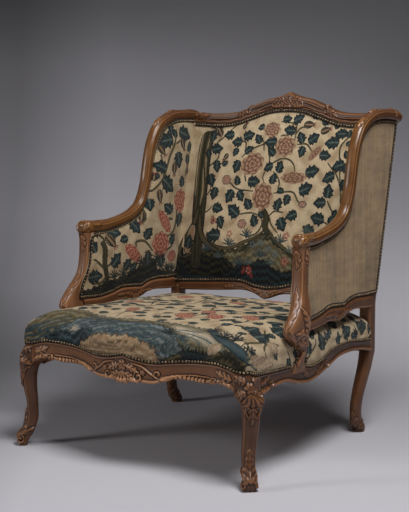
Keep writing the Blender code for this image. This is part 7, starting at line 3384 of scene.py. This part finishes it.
        garden.stems(6.8, (
            ((379, -249), (396, -284), (416, -290), (438, -289)),
            ((381, -248), (392, -217), (408, -197)),
            ((366, -340), (371, -308), (380, -254)),
            ((339, -199), (366, -234), (380, -251)),
            ((418, -181), (434, -176), (449, -184)),
            ((405, -18), (426, -24), (443, -54), (459, -89)),
            ((372, 106), (400, 79), (428, 44)),
            ((370, 191), (398, 164), (420, 138)),
            ((386, 242), (406, 248), (420, 245)),
            ((-300, -250), (-260, -120), (-280, 20), (-200, 140), (-220, 300)),
            ((-100, -290), (-120, -140), (-50, 20), (-80, 160), (0, 300)),
            ((80, -270), (100, -130), (50, 0), (120, 130), (100, 280)),
            ((100, -130), (170, -80), (200, 20)),
            ((-120, -100), (-180, 0)),
            ((240, -290), (260, -180), (220, -60), (270, 80), (220, 260))))
        garden.leaves((
            (438, -181, -42, 27), (357, -282, 96, 58), (373, -191, -134, 25),
            (361, -182, 93, 57), (321, -268, 88, 55), (322, -306, 55, 22),
            (424, -254, 113, 22), (-298, -129, -11, 45), (-253, -120, 98, 52),
            (-215, -103, 4, 34), (-194, -58, 12, 31), (-122, -77, 33, 28),
            (-74, -66, 91, 46), (-33, -49, 41, 27), (-59, -153, 26, 27),
            (-109, -152, 27, 27), (0, -204, 31, 26), (6, -133, 36, 26), (68, -175, 76, 34),
            (-123, -225, 19, 29), (-177, -220, 26, 27), (-235, -243, 61, 29),
            (-46, -268, 15, 28), (5, -260, 25, 27), (81, -257, 25, 26), (136, -269, 22, 27),
            (-187, -263, 18, 29), (44, -290, 26, 26), (-274, -252, 11, 31),
            (92, 16, 89, 46), (138, -2, 52, 28), (147, 36, 90, 49), (200, -11, 8, 29),
            (188, 76, 89, 49), (83, -74, 40, 26), (0, 0, -13, 39), (-36, 33, 43, 27),
            (148, -103, 52, 28), (192, -65, 88, 45), (66, 78, 44, 28), (254, -76, 64, 30),
            (226, 53, 89, 50), (58, 7, 43, 27), (127, 102, 52, 29), (57, 130, 63, 33),
            (27, 20, 90, 49), (199, -149, 57, 28), (208, -214, 82, 31), (288, -180, 68, 32),
            (313, -135, 86, 43), (332, -150, 72, 34), (296, -59, 98, 62),
            (142, -219, 19, 26), (252, -117, 88, 45), (445, -69, 167, 40),
            (447, 21, 180, 49), (436, 124, 160, 34), (414, 166, 126, 46),
            (370, 109, 92, 42), (455, -112, 153, 26), (422, 258, -156, 24)))
        garden.flowers((
            (154, -165, 26, 0.71, 1.91), (75, -198, 30, 0.51, 1.42),
            (236, -113, 26, 1.04, 1.4), (91, -105, 23, 0.68, 1.75),
            (-116, -192, 22, 0.39, 1.34), (43, 111, 24, 0.96, 1.83),
            (-220, -50, 30, 0.2, 0.85), (-160, 130, 30, 0.0, 1.0), (100, 240, 32, 0.3, 0.9),
            (-330, -160, 28, 0.0, 1.0)), Thread.ROSE, Thread.BLUSH, Thread.SALMON)
        garden.flowers((
            (397, -239, 21, 1.1, 0.83), (422, -324, 56, 1.34, 0.34),
            (292, -367, 22, 0.07, 0.72)), Thread.TAN, Thread.PALE, Thread.LICHEN)
        garden.scatter((-460, -240), (940, 660), 40, 5)
        return garden

    # Back

    def back(self) -> None:
        """The back's pad, with the flowering tree on its hillock."""
        plan = self.bench.plan
        wide = plan.wing_x - plan.tongue_in - plan.joint_gap - plan.cloth

        def face(columns: int, rows: int) -> tuple[Array, Array]:
            """The pad's front before it is puffed up.

            Args:
                columns: How many columns the grid has.
                rows: How many rows it has.

            Returns:
                The grid's points, and how full the pad is at each.
            """
            x = np.linspace(-wide, wide, columns)[:, None]
            v = np.linspace(0.0, 1.0, rows)[None, :]
            low = plan.lower_back(x)[1] + plan.joint_gap
            high = plan.crest(x)[0] - plan.joint_gap
            z = lerp(low, high, v)
            full = rim((x + wide) / (2 * wide), v)
            y = (plan.post_y(z) - plan.post_depth / 2 - plan.joint_gap - plan.cloth
                 - plan.back_padding * full)
            return np.stack((x + 0 * z, y, z), axis=-1), full

        grid, full = self._swelled(face, (286, 226), (42, 37), self.swell_reach)
        grid[..., 1] -= lumps(grid[..., 0], grid[..., 2], self.back_lumps) * full
        up = grid[..., 2] / math.cos(math.radians(plan.rake_degrees))
        marks = {"cloth": np.stack((grid[..., 0], up), axis=-1),
                 **self.painted(self.back_garden(), grid[..., 0], grid[..., 2])}
        self.pad("back_pad", grid, marks, [border(grid) + (0.0, plan.cloth, 0.0)],
                 ("back_cover", "back_stuffing", "back_base_cloth"))
        for row, way in ((0, 1), (-1, -1)):
            line = grid[3:-3, row].copy()
            line[:, 2] += way * self.nail_inset
            line[:, 1] = grid[3:-3, row + 3 * way, 1] - self.nail_lift
            self.trim.add(line, np.array((0.0, -1.0, self.nail_lean)))

    def back_garden(self) -> Garden:
        """A tree with roots on a hillock, its branches full of flowers and leaves.

        Returns:
            The picture.
        """
        garden = Garden()
        garden.hill((
            (-351, 501), (-300, 511), (-266, 515), (-232, 548), (-195, 531), (-151, 529),
            (-94, 551), (-44, 581), (-14, 595), (21, 571), (56, 547), (101, 523),
            (183, 520)), Thread.STEM, Thread.OLIVE)
        garden.hill((
            (-344, 453), (-237, 474), (-161, 520), (-80, 533), (-43, 567), (0, 570),
            (47, 542), (102, 515), (184, 515)), Thread.OLIVE, Thread.LICHEN, Thread.MOSS)
        garden.hill((
            (-349, 490), (-265, 500), (-187, 509), (-150, 495), (-125, 470), (-100, 440),
            (-80, 400), (200, 380)), Thread.NIGHT, Thread.MOSS)
        garden.hill((
            (-337, 416), (-221, 438), (-161, 452), (-132, 472), (-106, 486), (-58, 495),
            (-12, 505), (35, 477), (77, 473), (106, 484), (188, 486)),
            Thread.NIGHT, Thread.TEAL)
        garden.limbs(13, (
            ((-18, 604), (-50, 578), (-95, 558), (-151, 535), (-196, 535), (-232, 552),
             (-248, 579)),
            ((-7, 601), (21, 571), (56, 547), (101, 523))), 2)
        garden.trunk(((-39, 665), (-21, 640), (-22, 613), (-11, 591)), 26)
        garden.trunk((
            (-284, 975), (-300, 880), (-302, 800), (-299, 715), (-294, 632), (-284, 480)),
            60)
        garden.limbs(24, (
            ((-296, 660), (-312, 600), (-345, 545), (-362, 500)),
            ((-288, 640), (-276, 580), (-240, 540), (-196, 524))), 3)
        garden.line(((-320, 930), (-325, 800), (-320, 700)), 7, Thread.LICHEN, Thread.SAND)
        garden.line(((-290, 900), (-293, 830), (-284, 760)), 6, Thread.LICHEN, Thread.SAND)
        garden.line(((-300, 790), (-290, 720), (-293, 670)), 7, Thread.LICHEN, Thread.SAND)
        garden.limbs(40, (
            ((-312, 592), (-318, 560), (-326, 516)),), 4, 0.7, Thread.SAND, Thread.TAN)
        garden.leaves(((-326, 522, 82, 44),))
        garden.stems(5, (
            ((-284, 900), (-262, 930), (-246, 960)),
            ((-292, 850), (-262, 868), (-240, 900)),
            ((-284, 690), (-262, 712), (-252, 745)),
            ((-282, 640), (-258, 650), (-240, 668))))
        garden.stems(6, (
            ((-46, 750), (-53, 772), (-35, 804), (5, 827), (36, 827), (57, 811), (65, 789)),
            ((-37, 787), (-36, 823), (-46, 876), (-27, 894)),
            ((-6, 901), (9, 904), (25, 899)),
            ((-62, 853), (-68, 881), (-80, 894)),
            ((48, 887), (48, 918), (39, 940), (-13, 948)),
            ((48, 907), (61, 925), (79, 932)),
            ((61, 875), (94, 876), (117, 854)),
            ((-84, 722), (-146, 727), (-176, 745), (-195, 759)),
            ((-117, 753), (-124, 775)),
            ((-146, 830), (-123, 852), (-77, 871), (-61, 876)),
            ((-136, 862), (-140, 880), (-173, 884)),
            ((-6, 718), (31, 723), (67, 723), (88, 697), (103, 684)),
            ((8, 734), (11, 752), (-1, 774), (-16, 787)),
            ((223, 658), (210, 677), (195, 701)),
            ((244, 671), (237, 733), (217, 780), (180, 818)),
            ((237, 733), (217, 844), (219, 875), (244, 902), (276, 919)),
            ((199, 611), (205, 628), (187, 636)),
            ((-280, 794), (-244, 823), (-241, 841)),
            ((-270, 864), (-230, 897), (-191, 934)),
            ((-43, 643), (-82, 652), (-125, 646)),
            ((-11, 645), (8, 661), (39, 658)),
            ((-39, 638), (-35, 617), (-51, 589), (-91, 571)),
            ((-8, 640), (1, 618), (28, 593))))
        garden.leaves((
            (-277, 882, 86, 35), (-191, 907, -162, 39), (-273, 851, 18, 43),
            (-152, 893, 27, 43), (-80, 876, 120, 35), (-152, 879, 173, 40),
            (-136, 844, 39, 34), (-168, 861, -107, 29), (-154, 821, -111, 42),
            (-16, 883, -179, 45), (-17, 839, 140, 36), (-9, 952, 19, 32), (31, 949, 18, 39),
            (96, 969, -6, 31), (46, 918, -179, 41), (79, 880, 110, 37), (98, 883, 28, 42),
            (135, 944, 15, 33), (181, 930, 18, 23), (210, 882, 176, 48),
            (231, 910, -180, 39), (237, 897, 84, 26), (87, 869, -117, 35),
            (145, 842, 1, 40), (240, 816, -169, 43), (247, 832, 110, 27),
            (210, 782, -161, 43), (192, 708, 80, 43), (191, 697, -173, 42),
            (103, 786, 5, 48), (88, 725, 19, 50), (-1, 784, 62, 38), (-20, 808, -161, 35),
            (-17, 746, 85, 35), (-110, 752, 1, 46), (-147, 738, 98, 32),
            (-244, 819, -88, 39), (-266, 773, -69, 43), (-236, 731, -94, 41),
            (-238, 668, -21, 42), (-162, 723, -125, 45), (-143, 721, -48, 38),
            (-87, 663, 120, 40), (-129, 641, 149, 52), (-209, 635, -58, 41),
            (-193, 573, 175, 54), (-58, 610, 122, 39), (28, 642, -60, 46),
            (92, 658, -159, 41), (13, 664, 85, 39), (54, 715, -116, 35),
            (192, 641, 174, 48), (161, 597, 158, 46), (214, 629, 86, 30),
            (247, 787, 97, 31), (256, 732, 109, 39), (221, 651, 63, 25),
            (-279, 827, 109, 29), (241, 925, 38, 22), (237, 871, 60, 21),
            (-32, 641, 150, 26), (-221, 802, 40, 25), (248, 691, 84, 25), (7, 731, -22, 27),
            (-73, 932, -170, 26)))
        garden.buds((
            (-240, 899, 132, 38), (-202, 841, -130, 29), (72, 938, 0, 41),
            (137, 914, 19, 38), (-161, 922, 60, 25), (-230, 608, 98, 25)))
        garden.flowers((
            (-43, 922, 33, -0.02, 0.77), (18, 868, 38, 0.01, 0.89),
            (-100, 810, 46, 0.37, 0.8), (-46, 706, 39, 0.03, 1.19),
            (62, 769, 50, 0.03, 0.4), (129, 848, 33, 0.84, 0.38)),
            Thread.SALMON, Thread.BLUSH, Thread.TAN)
        garden.flowers((
            (108, 687, 16, 0.05, 0.72), (-112, 615, 18, 0.05, 0.92),
            (-195, 755, 19, 0.02, 0.89)), Thread.ROSE, Thread.PALE, Thread.TEAL)
        garden.tufts((
            (-29, 514), (-110, 482), (-244, 520), (-154, 543), (-87, 574), (43, 563)),
            30, Thread.TEAL, Thread.BLUE)
        garden.tufts((
            (136, 599), (12, 491), (-73, 486), (79, 535), (-191, 500)),
            24, Thread.TEAL, Thread.VEIN)
        garden.sprigs((
            (-157, 581), (63, 586), (65, 505), (-229, 621), (-70, 467)),
            Thread.RED, Thread.PINK)
        garden.sprigs((
            (-61, 552), (-31, 559), (-1, 539), (28, 527)), Thread.BLUE, Thread.SKY)
        garden.lines(6, (
            ((-94, 458), (-88, 468), (-90, 476)),
            ((-56, 448), (-64, 462), (-72, 484))), Thread.RED, Thread.ROSE)
        garden.scatter((215, 560), (150, 360), 56, 3)
        return garden

    # Wings

    def _wing_face(self, y: Array, z: Array) -> Array:
        """The x of a wing cover's inner face, which laps over the arm support.

        Args:
            y: Depths of the places.
            z: Heights of the places.

        Returns:
            The face's x at each place, on the right wing.
        """
        plan = self.bench.plan
        x = plan.wing_plane(y, z) - plan.tongue_in - plan.joint_gap - plan.cloth
        middle, at, depth, width = plan.support(z)
        over = ramp(at + depth + self.lap_rise - y, 0.0, self.lap_rise)
        return x - over * np.maximum(0.0, x - (middle - width) + self.lap_height)

    def _wing_edges(self, over_post: float, low_lap: float = 0.0, lap: float = 0.0
                    ) -> tuple[Array, Array, Array, Array]:
        """A wing cloth's lower, upper, front and rear edges, as depths and heights.

        Args:
            over_post: How far the cloth reaches behind the rear post's front.
            low_lap: How far it laps over the arm support at the bottom.
            lap: How far it laps over the arm support higher up.

        Returns:
            The four edges, one row of depth and height for each point.
        """
        plan = self.bench.plan

        def behind(z: Array) -> Array:
            """Depth of the cloth's front edge."""
            _, y, depth, _ = plan.support(z)
            return y + depth + plan.joint_gap - lerp(low_lap, lap, ramp(z, 0.43, 0.53))

        def kept(line: Array) -> Array:
            """The part of a line between both ends of the cloth.

            Args:
                line: Rows of depth and height.

            Returns:
                The rows that stay.
            """
            rear = plan.post_y(line[:, 1]) - plan.post_depth / 2 + over_post
            inside = (line[:, 0] > behind(line[:, 1])) & (line[:, 0] < rear)
            return line[inside]

        y = np.linspace(plan.arm_front_y - plan.support_sweep, plan.rear_y + 0.03, 3000)
        bottom = kept(np.column_stack((y, plan.lower_wing(y)[2] + plan.joint_gap)))
        middle, outward = plan.wing_line(np.linspace(0.0, 1.0, 3000))
        line = middle - outward * (plan.wing_half + plan.joint_gap)
        top = kept(line[:, 1:])
        z = np.linspace(bottom[0, 1], top[0, 1], 200)
        front = np.column_stack((behind(z), z))
        front[0], front[-1] = bottom[0], top[0]
        rear = np.linspace(bottom[-1], top[-1], 3)
        return bottom, top, front, rear

    def wing(self, side: Side) -> None:
        """One wing's pad, with its own picture.

        Args:
            side: Which side of the chair it is on.
        """
        plan = self.bench.plan
        edges = self._wing_edges(plan.cloth, self.low_lap, self.lap)

        def face(columns: int, rows: int) -> tuple[Array, Array]:
            """The pad's front before it is puffed up.

            Args:
                columns: How many columns the grid has.
                rows: How many rows it has.

            Returns:
                The grid's points, and how full the pad is at each.
            """
            flat = coons(*edges, (columns, rows))
            full = rim(np.linspace(0, 1, columns)[:, None], np.linspace(0, 1, rows)[None])
            x = self._wing_face(flat[..., 0], flat[..., 1]) - plan.wing_padding * full
            return np.stack((x * side.value, flat[..., 0], flat[..., 1]), axis=-1), full

        grid, full = self._swelled(face, (196, 156), (34, 27), self.wing_swell_reach,
                                   side is Side.LEFT)
        grid[..., 0] -= side.value * lumps(grid[..., 1], grid[..., 2],
                                           self.wing_lumps) * full
        drawn = lerp(self.picture_middle, grid[..., 1], 1 / self.picture_stretch)
        marks = {"cloth": grid[..., 1:],
                 **self.painted(self.wing_garden(), drawn, grid[..., 2])}
        label = side.label
        self.pad(f"{label}_wing_pad", grid, marks,
                 [border(grid) + (side.value * plan.cloth, 0.0, 0.0)],
                 [f"{label}_wing_{kind}" for kind in ("cover", "stuffing", "base_cloth")])
        self._wing_nails(edges, side, -0.0012, -1, ("bottom", "top", "front"))

    def _wing_nails(self, edges: Sequence[Array], side: Side, depth: float, way: int,
                    chosen: Sequence[str]) -> None:
        """Nails along some edges of a wing's cloth, a little inside them.

        Args:
            edges: The cloth's edges.
            side: Which side of the chair it is on.
            depth: How far outside the cloth's face the nails sit.
            way: 1 for the outside of the wing, -1 for its inside.
            chosen: The names of the edges that get nails.
        """
        plan = self.bench.plan
        inward = {"bottom": 1, "top": -1, "front": -1, "rear": 1}
        for name, line in zip(("bottom", "top", "front", "rear"), edges):
            if name in chosen:
                line = resample(line, max(20, int(run_lengths(line)[-1] / 0.004)))
                along = unit(np.gradient(line, axis=0))
                inner = np.stack((-along[:, 1], along[:, 0]), axis=-1) * inward[name]
                line = (line + inner * self.nail_inset)[2:-2]
                face = self._wing_face if way < 0 else plan.wing_plane
                x = (face(line[:, 0], line[:, 1]) + depth) * side.value
                self.trim.add(np.column_stack((x, line)),
                              np.array((float(way * side.value), 0.0, 0.0)))

    def wing_garden(self) -> Garden:
        """A tree near the front, its branches up the wing, dark ground below.

        Returns:
            The picture.
        """
        garden = Garden(0.84, 1.16)
        garden.hill((
            (-75, 432), (-29, 440), (18, 452), (52, 456), (92, 465), (132, 477), (168, 492),
            (222, 497), (240, 466), (284, 455), (328, 448), (450, 440)),
            Thread.NIGHT, Thread.MOSS)
        garden.hill((
            (-74, 426), (20, 437), (119, 445), (227, 441), (328, 432), (450, 430)),
            Thread.NIGHT, Thread.MOSS)
        garden.trunk(((-33, 607), (-10, 582), (2, 555), (1, 504), (15, 456)), 20)
        garden.stems(8.8, (
            ((336, 920), (321, 875), (292, 832), (260, 767), (208, 722)),
            ((316, 702), (326, 639), (309, 585), (264, 562)),
            ((205, 528), (171, 562), (131, 565), (129, 548)),
            ((231, 494), (274, 521), (305, 534)),
            ((277, 628), (303, 624)),
            ((171, 526), (193, 529)),
            ((12, 499), (26, 506), (45, 511)),
            ((403, 851), (392, 802), (379, 766)),
            ((330, 875), (358, 888), (373, 905)),
            ((260, 762), (258, 807), (255, 842)),
            ((-2, 492), (-24, 515), (-45, 526)),
            ((6, 465), (-6, 450), (-35, 449), (-55, 464), (-55, 480)),
            ((-10, 582), (17, 584), (42, 594)),
            ((161, 624), (178, 636))))
        garden.leaves((
            (313, 906, 99, 32), (316, 889, -179, 57), (347, 915, -15, 55),
            (331, 848, -74, 50), (274, 791, 153, 48), (240, 778, -147, 23),
            (256, 762, -38, 60), (199, 701, -91, 38), (389, 803, 85, 32),
            (360, 727, 101, 36), (117, 636, -50, 47), (169, 570, 52, 42),
            (303, 646, 138, 45), (350, 643, -100, 45), (28, 496, 40, 46), (80, 481, 46, 38),
            (183, 525, -81, 45), (242, 512, -63, 45), (292, 541, 49, 35),
            (-39, 547, 108, 40), (-61, 470, 7, 48), (20, 613, -26, 46), (106, 477, 21, 33),
            (403, 844, 99, 32), (96, 581, -169, 31), (177, 670, -145, 34),
            (326, 893, 81, 27)))
        garden.buds((
            (251, 873, -59, 42), (359, 890, -75, 41), (317, 812, -95, 43),
            (237, 728, -81, 48), (173, 666, -111, 46), (219, 755, 77, 26),
            (12, 598, -53, 54), (386, 768, 85, 31)))
        garden.flowers((
            (348, 682, 35, -0.08, 1.15), (265, 619, 47, -0.96, 0.42),
            (245, 547, 41, -0.08, 1.02), (117, 529, 46, -0.71, 0.44),
            (306, 499, 25, -0.06, 0.82)), Thread.ROSE, Thread.PINK, Thread.RED)
        garden.tufts((
            (42, 457), (284, 455), (311, 450), (157, 488), (82, 461), (231, 494)),
            30, Thread.MOSS, Thread.TEAL)
        return garden

    def wing_linen(self, side: Side) -> None:
        """The ribbed linen outside a wing, stretched and nailed at every edge.

        Args:
            side: Which side of the chair it is on.
        """
        plan = self.bench.plan
        edges = self._wing_edges(plan.post_depth * 0.8)
        flat = coons(*edges, (90, 70))
        depth = plan.tongue_out + plan.joint_gap
        x = plan.wing_plane(flat[..., 0], flat[..., 1]) + depth
        x = x + 0.0008 * np.sin(flat[..., 0] * 55 + flat[..., 1] * 20) * rim(
            np.linspace(0, 1, 90)[:, None], np.linspace(0, 1, 70)[None])
        grid = np.stack((x * side.value, flat[..., 0], flat[..., 1]), axis=-1)
        name = f"{side.label}_wing_linen"
        self.sheet(name, grid, np.array((side.value * plan.linen, 0.0, 0.0)), "linen",
                   "linen", (f"{side.label}_wing_outside_cover",),
                   (f"{side.label}_wing_lower_rail_carved",), flat)
        self._wing_nails(edges, side, depth + plan.linen + self.nail_lift, 1,
                         ("bottom", "top", "front", "rear"))

    def back_linen(self) -> None:
        """The plain linen outside the back, nailed all round."""
        plan = self.bench.plan
        wide = plan.post_inner_x - plan.joint_gap
        x = np.linspace(-wide, wide, 90)[:, None]
        low = plan.lower_back(x)[1] + plan.joint_gap
        high = plan.crest(x)[0] - plan.joint_gap
        z = lerp(low, high, np.linspace(0.0, 1.0, 70)[None])
        depth = plan.tongue + plan.joint_gap - plan.post_depth / 2
        full = rim((x + wide) / (2 * wide), np.linspace(0, 1, 70)[None])
        y = plan.post_y(z) + depth + 0.0015 * np.sin(x * 30 + z * 12) * full
        grid = np.stack((x + 0 * z, y, z), axis=-1)
        cloth = np.stack((grid[..., 0], z / math.cos(math.radians(plan.rake_degrees))),
                         axis=-1)
        self.sheet("back_linen", grid, np.array((0.0, plan.linen, 0.0)), "linen", "linen",
                   ("back_outside_cover",), ("lower_back_rail_carved", "crest_rail_carved"),
                   cloth)
        lift = np.array((0.0, plan.linen + self.nail_lift, 0.0))
        facing = np.array((0.0, 1.0, -self.nail_lean))
        inset = self.nail_inset
        for line, move in ((grid[2:-2, 0], (0.0, inset * plan.rake, inset)),
                           (grid[2:-2, -1], (0.0, -inset * plan.rake, -inset)),
                           (grid[0, 4:-4], (inset, 0.0, 0.0)),
                           (grid[-1, 4:-4], (-inset, 0.0, 0.0))):
            self.trim.add(line + lift + np.array(move), facing)

    # Below the seat

    def hessian(self) -> None:
        """Hessian over the webbing, a little higher in its middle than at its edges."""
        plan = self.bench.plan
        reach = plan.half_width - plan.side_thickness + 0.008
        x = np.linspace(-reach, reach, 80)[:, None]
        share = np.linspace(0.0, 1.0, 70)[None]
        y = lerp(plan.front_face(x)[0] + 0.016, plan.rear_y - 0.006, share)
        hang = self.hessian_hang * rim((x + reach) / (2 * reach), share)
        low = plan.webbing + 2 * plan.joint_gap + 0.0006
        z = plan.deck(y) + low + hang
        grid = np.stack((x + 0 * y, y, z), axis=-1)
        self.sheet("seat_hessian", grid, np.array((0.0, 0.0, plan.base_cloth * 0.7)),
                   "jute", "hessian", ("seat_base_cloth",), ("seat_webbing_straps",),
                   grid[..., :2])

    def webbing(self) -> None:
        """Jute straps woven over and under each other across the seat frame."""
        plan = self.bench.plan
        width, count, shape = self.strap_width, self.strap_points, Shape()
        half_x = plan.half_width - plan.side_thickness / 2 - 0.007
        rear = plan.rear_y - plan.cove
        pitch_x = (2 * (half_x - width) - width) / 5
        pitch_y = (plan.seat_depth - 2 * (width + plan.rail_thickness) - width) / 4
        starts_x = [width - half_x + pitch_x * number for number in range(6)]
        starts_y = [width + plan.rail_thickness - plan.seat_depth / 2 + pitch_y * number
                    for number in range(5)]
        lift = plan.webbing * 0.42

        def strap(line: Array, across: Array, wave: Array) -> None:
            """One strap, with a flat woven section.

            Args:
                line: Its middle's points, in the plan.
                across: The direction of its width.
                wave: How far it rises over the others.
            """
            base = line.copy()
            base[:, 2] = plan.deck(line[:, 1]) + plan.webbing / 2 + plan.joint_gap + wave
            loops, marks = [], []
            far = run_lengths(line)
            for u, v in ((-0.5, -1), (0.5, -1), (0.5, 1), (-0.5, 1)):
                loops.append(base + across * u * width
                             + np.array((0.0, 0.0, v * plan.webbing * 0.24)))
                marks.append(np.column_stack((far, np.full(len(far), u * width))))
            index = shape.grid(self.bench.placed(np.stack(loops, axis=1)), True,
                               cloth=np.stack(marks, axis=1))
            shape.cap(index[0], True)
            shape.cap(index[-1])

        for number, start in enumerate(starts_x):
            x = start + width / 2
            y = np.linspace(float(plan.front_face(x)[0]) + 0.014, rear, count)
            wave = lift * (-1) ** number * np.cos(
                np.pi * (y - starts_y[0] - width / 2) / pitch_y)
            wave *= (y > starts_y[0] - 0.03) & (y < starts_y[-1] + width + 0.03)
            strap(np.column_stack((np.full(count, x), y, 0 * y)), np.array((1.0, 0, 0)),
                  wave)
        for number, start in enumerate(starts_y):
            x = np.linspace(-half_x, half_x, count)
            wave = -lift * (-1) ** number * np.cos(
                np.pi * (x - starts_x[0] - width / 2) / pitch_x)
            strap(np.column_stack((x, np.full(count, start + width / 2), 0 * x)),
                  np.array((0, 1.0, 0)), wave)
        piece = shape.build("seat_webbing_straps", self.bench.finishes["webbing"])
        self.bench.hand_over(piece, "jute", ("seat_webbing",))


# Studio


@dataclass(frozen=True)
class Lamp:
    """One square area lamp, with its side in metres and its spread in degrees."""

    name: str
    place: tuple[float, float, float]
    target: tuple[float, float, float]
    size: float
    watts: float
    spread: float = 180.0

    def build(self) -> None:
        """Hang the lamp where it belongs and point it at its target."""
        data = bpy.data.lights.new(self.name, "AREA")
        data.energy, data.size = self.watts, self.size
        data.spread = math.radians(self.spread)
        light = bpy.data.objects.new(self.name, data)
        light.location = self.place
        look = Vector(self.target) - Vector(self.place)
        light.rotation_euler = look.to_track_quat("-Z", "Y").to_euler()
        bpy.context.scene.collection.objects.link(light)


@dataclass
class Studio:
    """The camera at the photograph's angle, soft lamps, a pale floor and a wall."""

    bench: Bench
    camera_place: tuple[float, float, float] = (2.0921, -3.03198, 0.9839)
    yaw_degrees: float = 35.085
    pitch_degrees: float = 6.749
    roll_degrees: float = -0.202
    lens: float = 86.39
    floor_drop: float = 0.0005
    floor_reach: float = 6.0
    sweep_start: float = 1.0
    sweep_radius: float = 1.5
    wall_height: float = 6.0
    world_tone: Colour = (0.92, 0.91, 0.96)
    world_strength: float = 0.040

    LAMPS = (
        Lamp("key", (1.3, -0.7, 3.2), (0.0, -0.1, 0.3), 1.2, 98.0),
        Lamp("left", (-2.2, -3.0, 1.75), (0.0, 0.0, 0.4), 0.8, 40.0),
        Lamp("right", (3.6, -1.6, 1.6), (0.0, 0.0, 0.6), 1.8, 3.5),
        Lamp("wash", (1.91, 1.10, 0.9), (-0.03, 2.05, 0.0), 0.7, 7.0, 70.0))

    def build(self) -> None:
        """Make the camera, the lamps and the seamless backdrop."""
        self.camera()
        for lamp in self.LAMPS:
            lamp.build()
        self.surroundings()

    def camera(self) -> None:
        """The camera, with no shift and no depth of field."""
        data = bpy.data.cameras.new("photo_camera")
        data.lens, data.sensor_width, data.sensor_fit = self.lens, 36.0, "AUTO"
        camera = bpy.data.objects.new("photo_camera", data)
        turn = (Matrix.Rotation(math.radians(self.yaw_degrees), 4, "Z")
                @ Matrix.Rotation(math.radians(90.0 - self.pitch_degrees), 4, "X")
                @ Matrix.Rotation(math.radians(self.roll_degrees), 4, "Z"))
        camera.matrix_world = Matrix.Translation(self.camera_place) @ turn
        bpy.context.scene.collection.objects.link(camera)
        bpy.context.scene.camera = camera

    def surroundings(self) -> None:
        """The floor that curves up into the wall, and the world's even light."""
        turns = np.linspace(0.0, math.pi / 2, 33)
        bow = self.sweep_radius * np.stack((np.sin(turns), 1 - np.cos(turns)), axis=-1)
        profile = np.vstack(((-self.floor_reach, 0.0), bow + (self.sweep_start, 0.0),
                             (self.sweep_start + self.sweep_radius, self.wall_height)))
        yaw = math.radians(self.yaw_degrees)
        ahead = np.array((-math.sin(yaw), math.cos(yaw), 0.0))
        across = np.array((math.cos(yaw), math.sin(yaw), 0.0)) * self.floor_reach
        middle = np.outer(profile[:, 0], ahead)
        middle[:, 2] = profile[:, 1] - self.floor_drop
        shape = Shape()
        shape.grid(np.stack((middle - across, middle + across), axis=1))
        shape.build("studio_sweep", self.bench.finishes["paper"], False)
        world = bpy.data.worlds.new("studio_light")
        world.use_nodes = True
        background = world.node_tree.nodes["Background"]
        background.inputs["Color"].default_value = (*self.world_tone, 1.0)
        background.inputs["Strength"].default_value = self.world_strength
        bpy.context.scene.world = world


# The whole chair


def row_shift(plan: Plan) -> float:
    """How far the frame's model is moved in depth from the plan, read off a rail."""
    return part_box("rear_seat_rail")[1].y - (plan.rear_y + plan.rear_overhang)


def finishes() -> dict[str, bpy.types.Material]:
    """Every finish of the chair and the studio, by name.

    Returns:
        The materials, by the names that the pieces ask for.
    """
    walnut = AgedWood("walnut", (0.030, 0.012, 0.006), (0.215, 0.092, 0.040),
                      (0.38, 0.182, 0.085))
    dark = AgedWood("dark_walnut", (0.020, 0.008, 0.004), (0.122, 0.047, 0.018),
                    (0.255, 0.112, 0.048))
    # Painted light: a paler copy of the walnut for the front seat rail, which lies in the
    # seat's shade.
    pale = AgedWood("pale_walnut", (0.034, 0.014, 0.007), (0.285, 0.126, 0.056),
                    (0.47, 0.235, 0.112))
    honey = AgedWood("honey_walnut", (0.036, 0.013, 0.005), (0.150, 0.060, 0.018),
                     (0.31, 0.140, 0.044), 0.34, 0.20)
    return {
        "walnut": walnut.build(), "dark_walnut": dark.build(),
        "pale_walnut": pale.build(), "honey_walnut": honey.build(),
        "beech": PlainBeech().build(),
        "needlework": Needlework().build(), "linen": RibbedLinen().build(),
        "hessian": CoarseWeave("hessian", 0.0016, (0.36, 0.25, 0.13),
                               (0.10, 0.065, 0.035)).build(),
        "webbing": CoarseWeave("webbing", 0.0026, (0.40, 0.30, 0.17),
                               (0.15, 0.10, 0.06)).build(),
        "braid": CoarseWeave("braid", 0.0024, (0.020, 0.014, 0.009),
                             (0.006, 0.005, 0.004), 0.785).build(),
        "brass": AgedBrass().build(),
        "paper": StudioPaper("pale_paper", (0.53, 0.513, 0.553),
                             math.radians(Studio.yaw_degrees)).build(),
    }


def dress_frame(bench: Bench) -> None:
    """Give the nodes that stay visible a better finish.

    Args:
        bench: Where the finishes are kept.
    """
    for name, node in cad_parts.items():
        if name.endswith(("_block", "_peg")) or name == "rear_seat_rail":
            for material_slot in node.material_slots:
                material_slot.material = bench.finishes["beech"]


def main() -> None:
    """Build every class in order."""
    logging.basicConfig(level=logging.INFO, format="%(message)s")
    bpy.context.scene.view_settings.view_transform = "Standard"
    shift = row_shift(Plan())
    bench = Bench(Plan(shift=shift), finishes())
    Studio(bench).build()
    for part in (SeatFrame, Uprights, WingRails, BackRails, Upholstery):
        part(bench).build()
    dress_frame(bench)


if __name__ == "__main__":
    main()
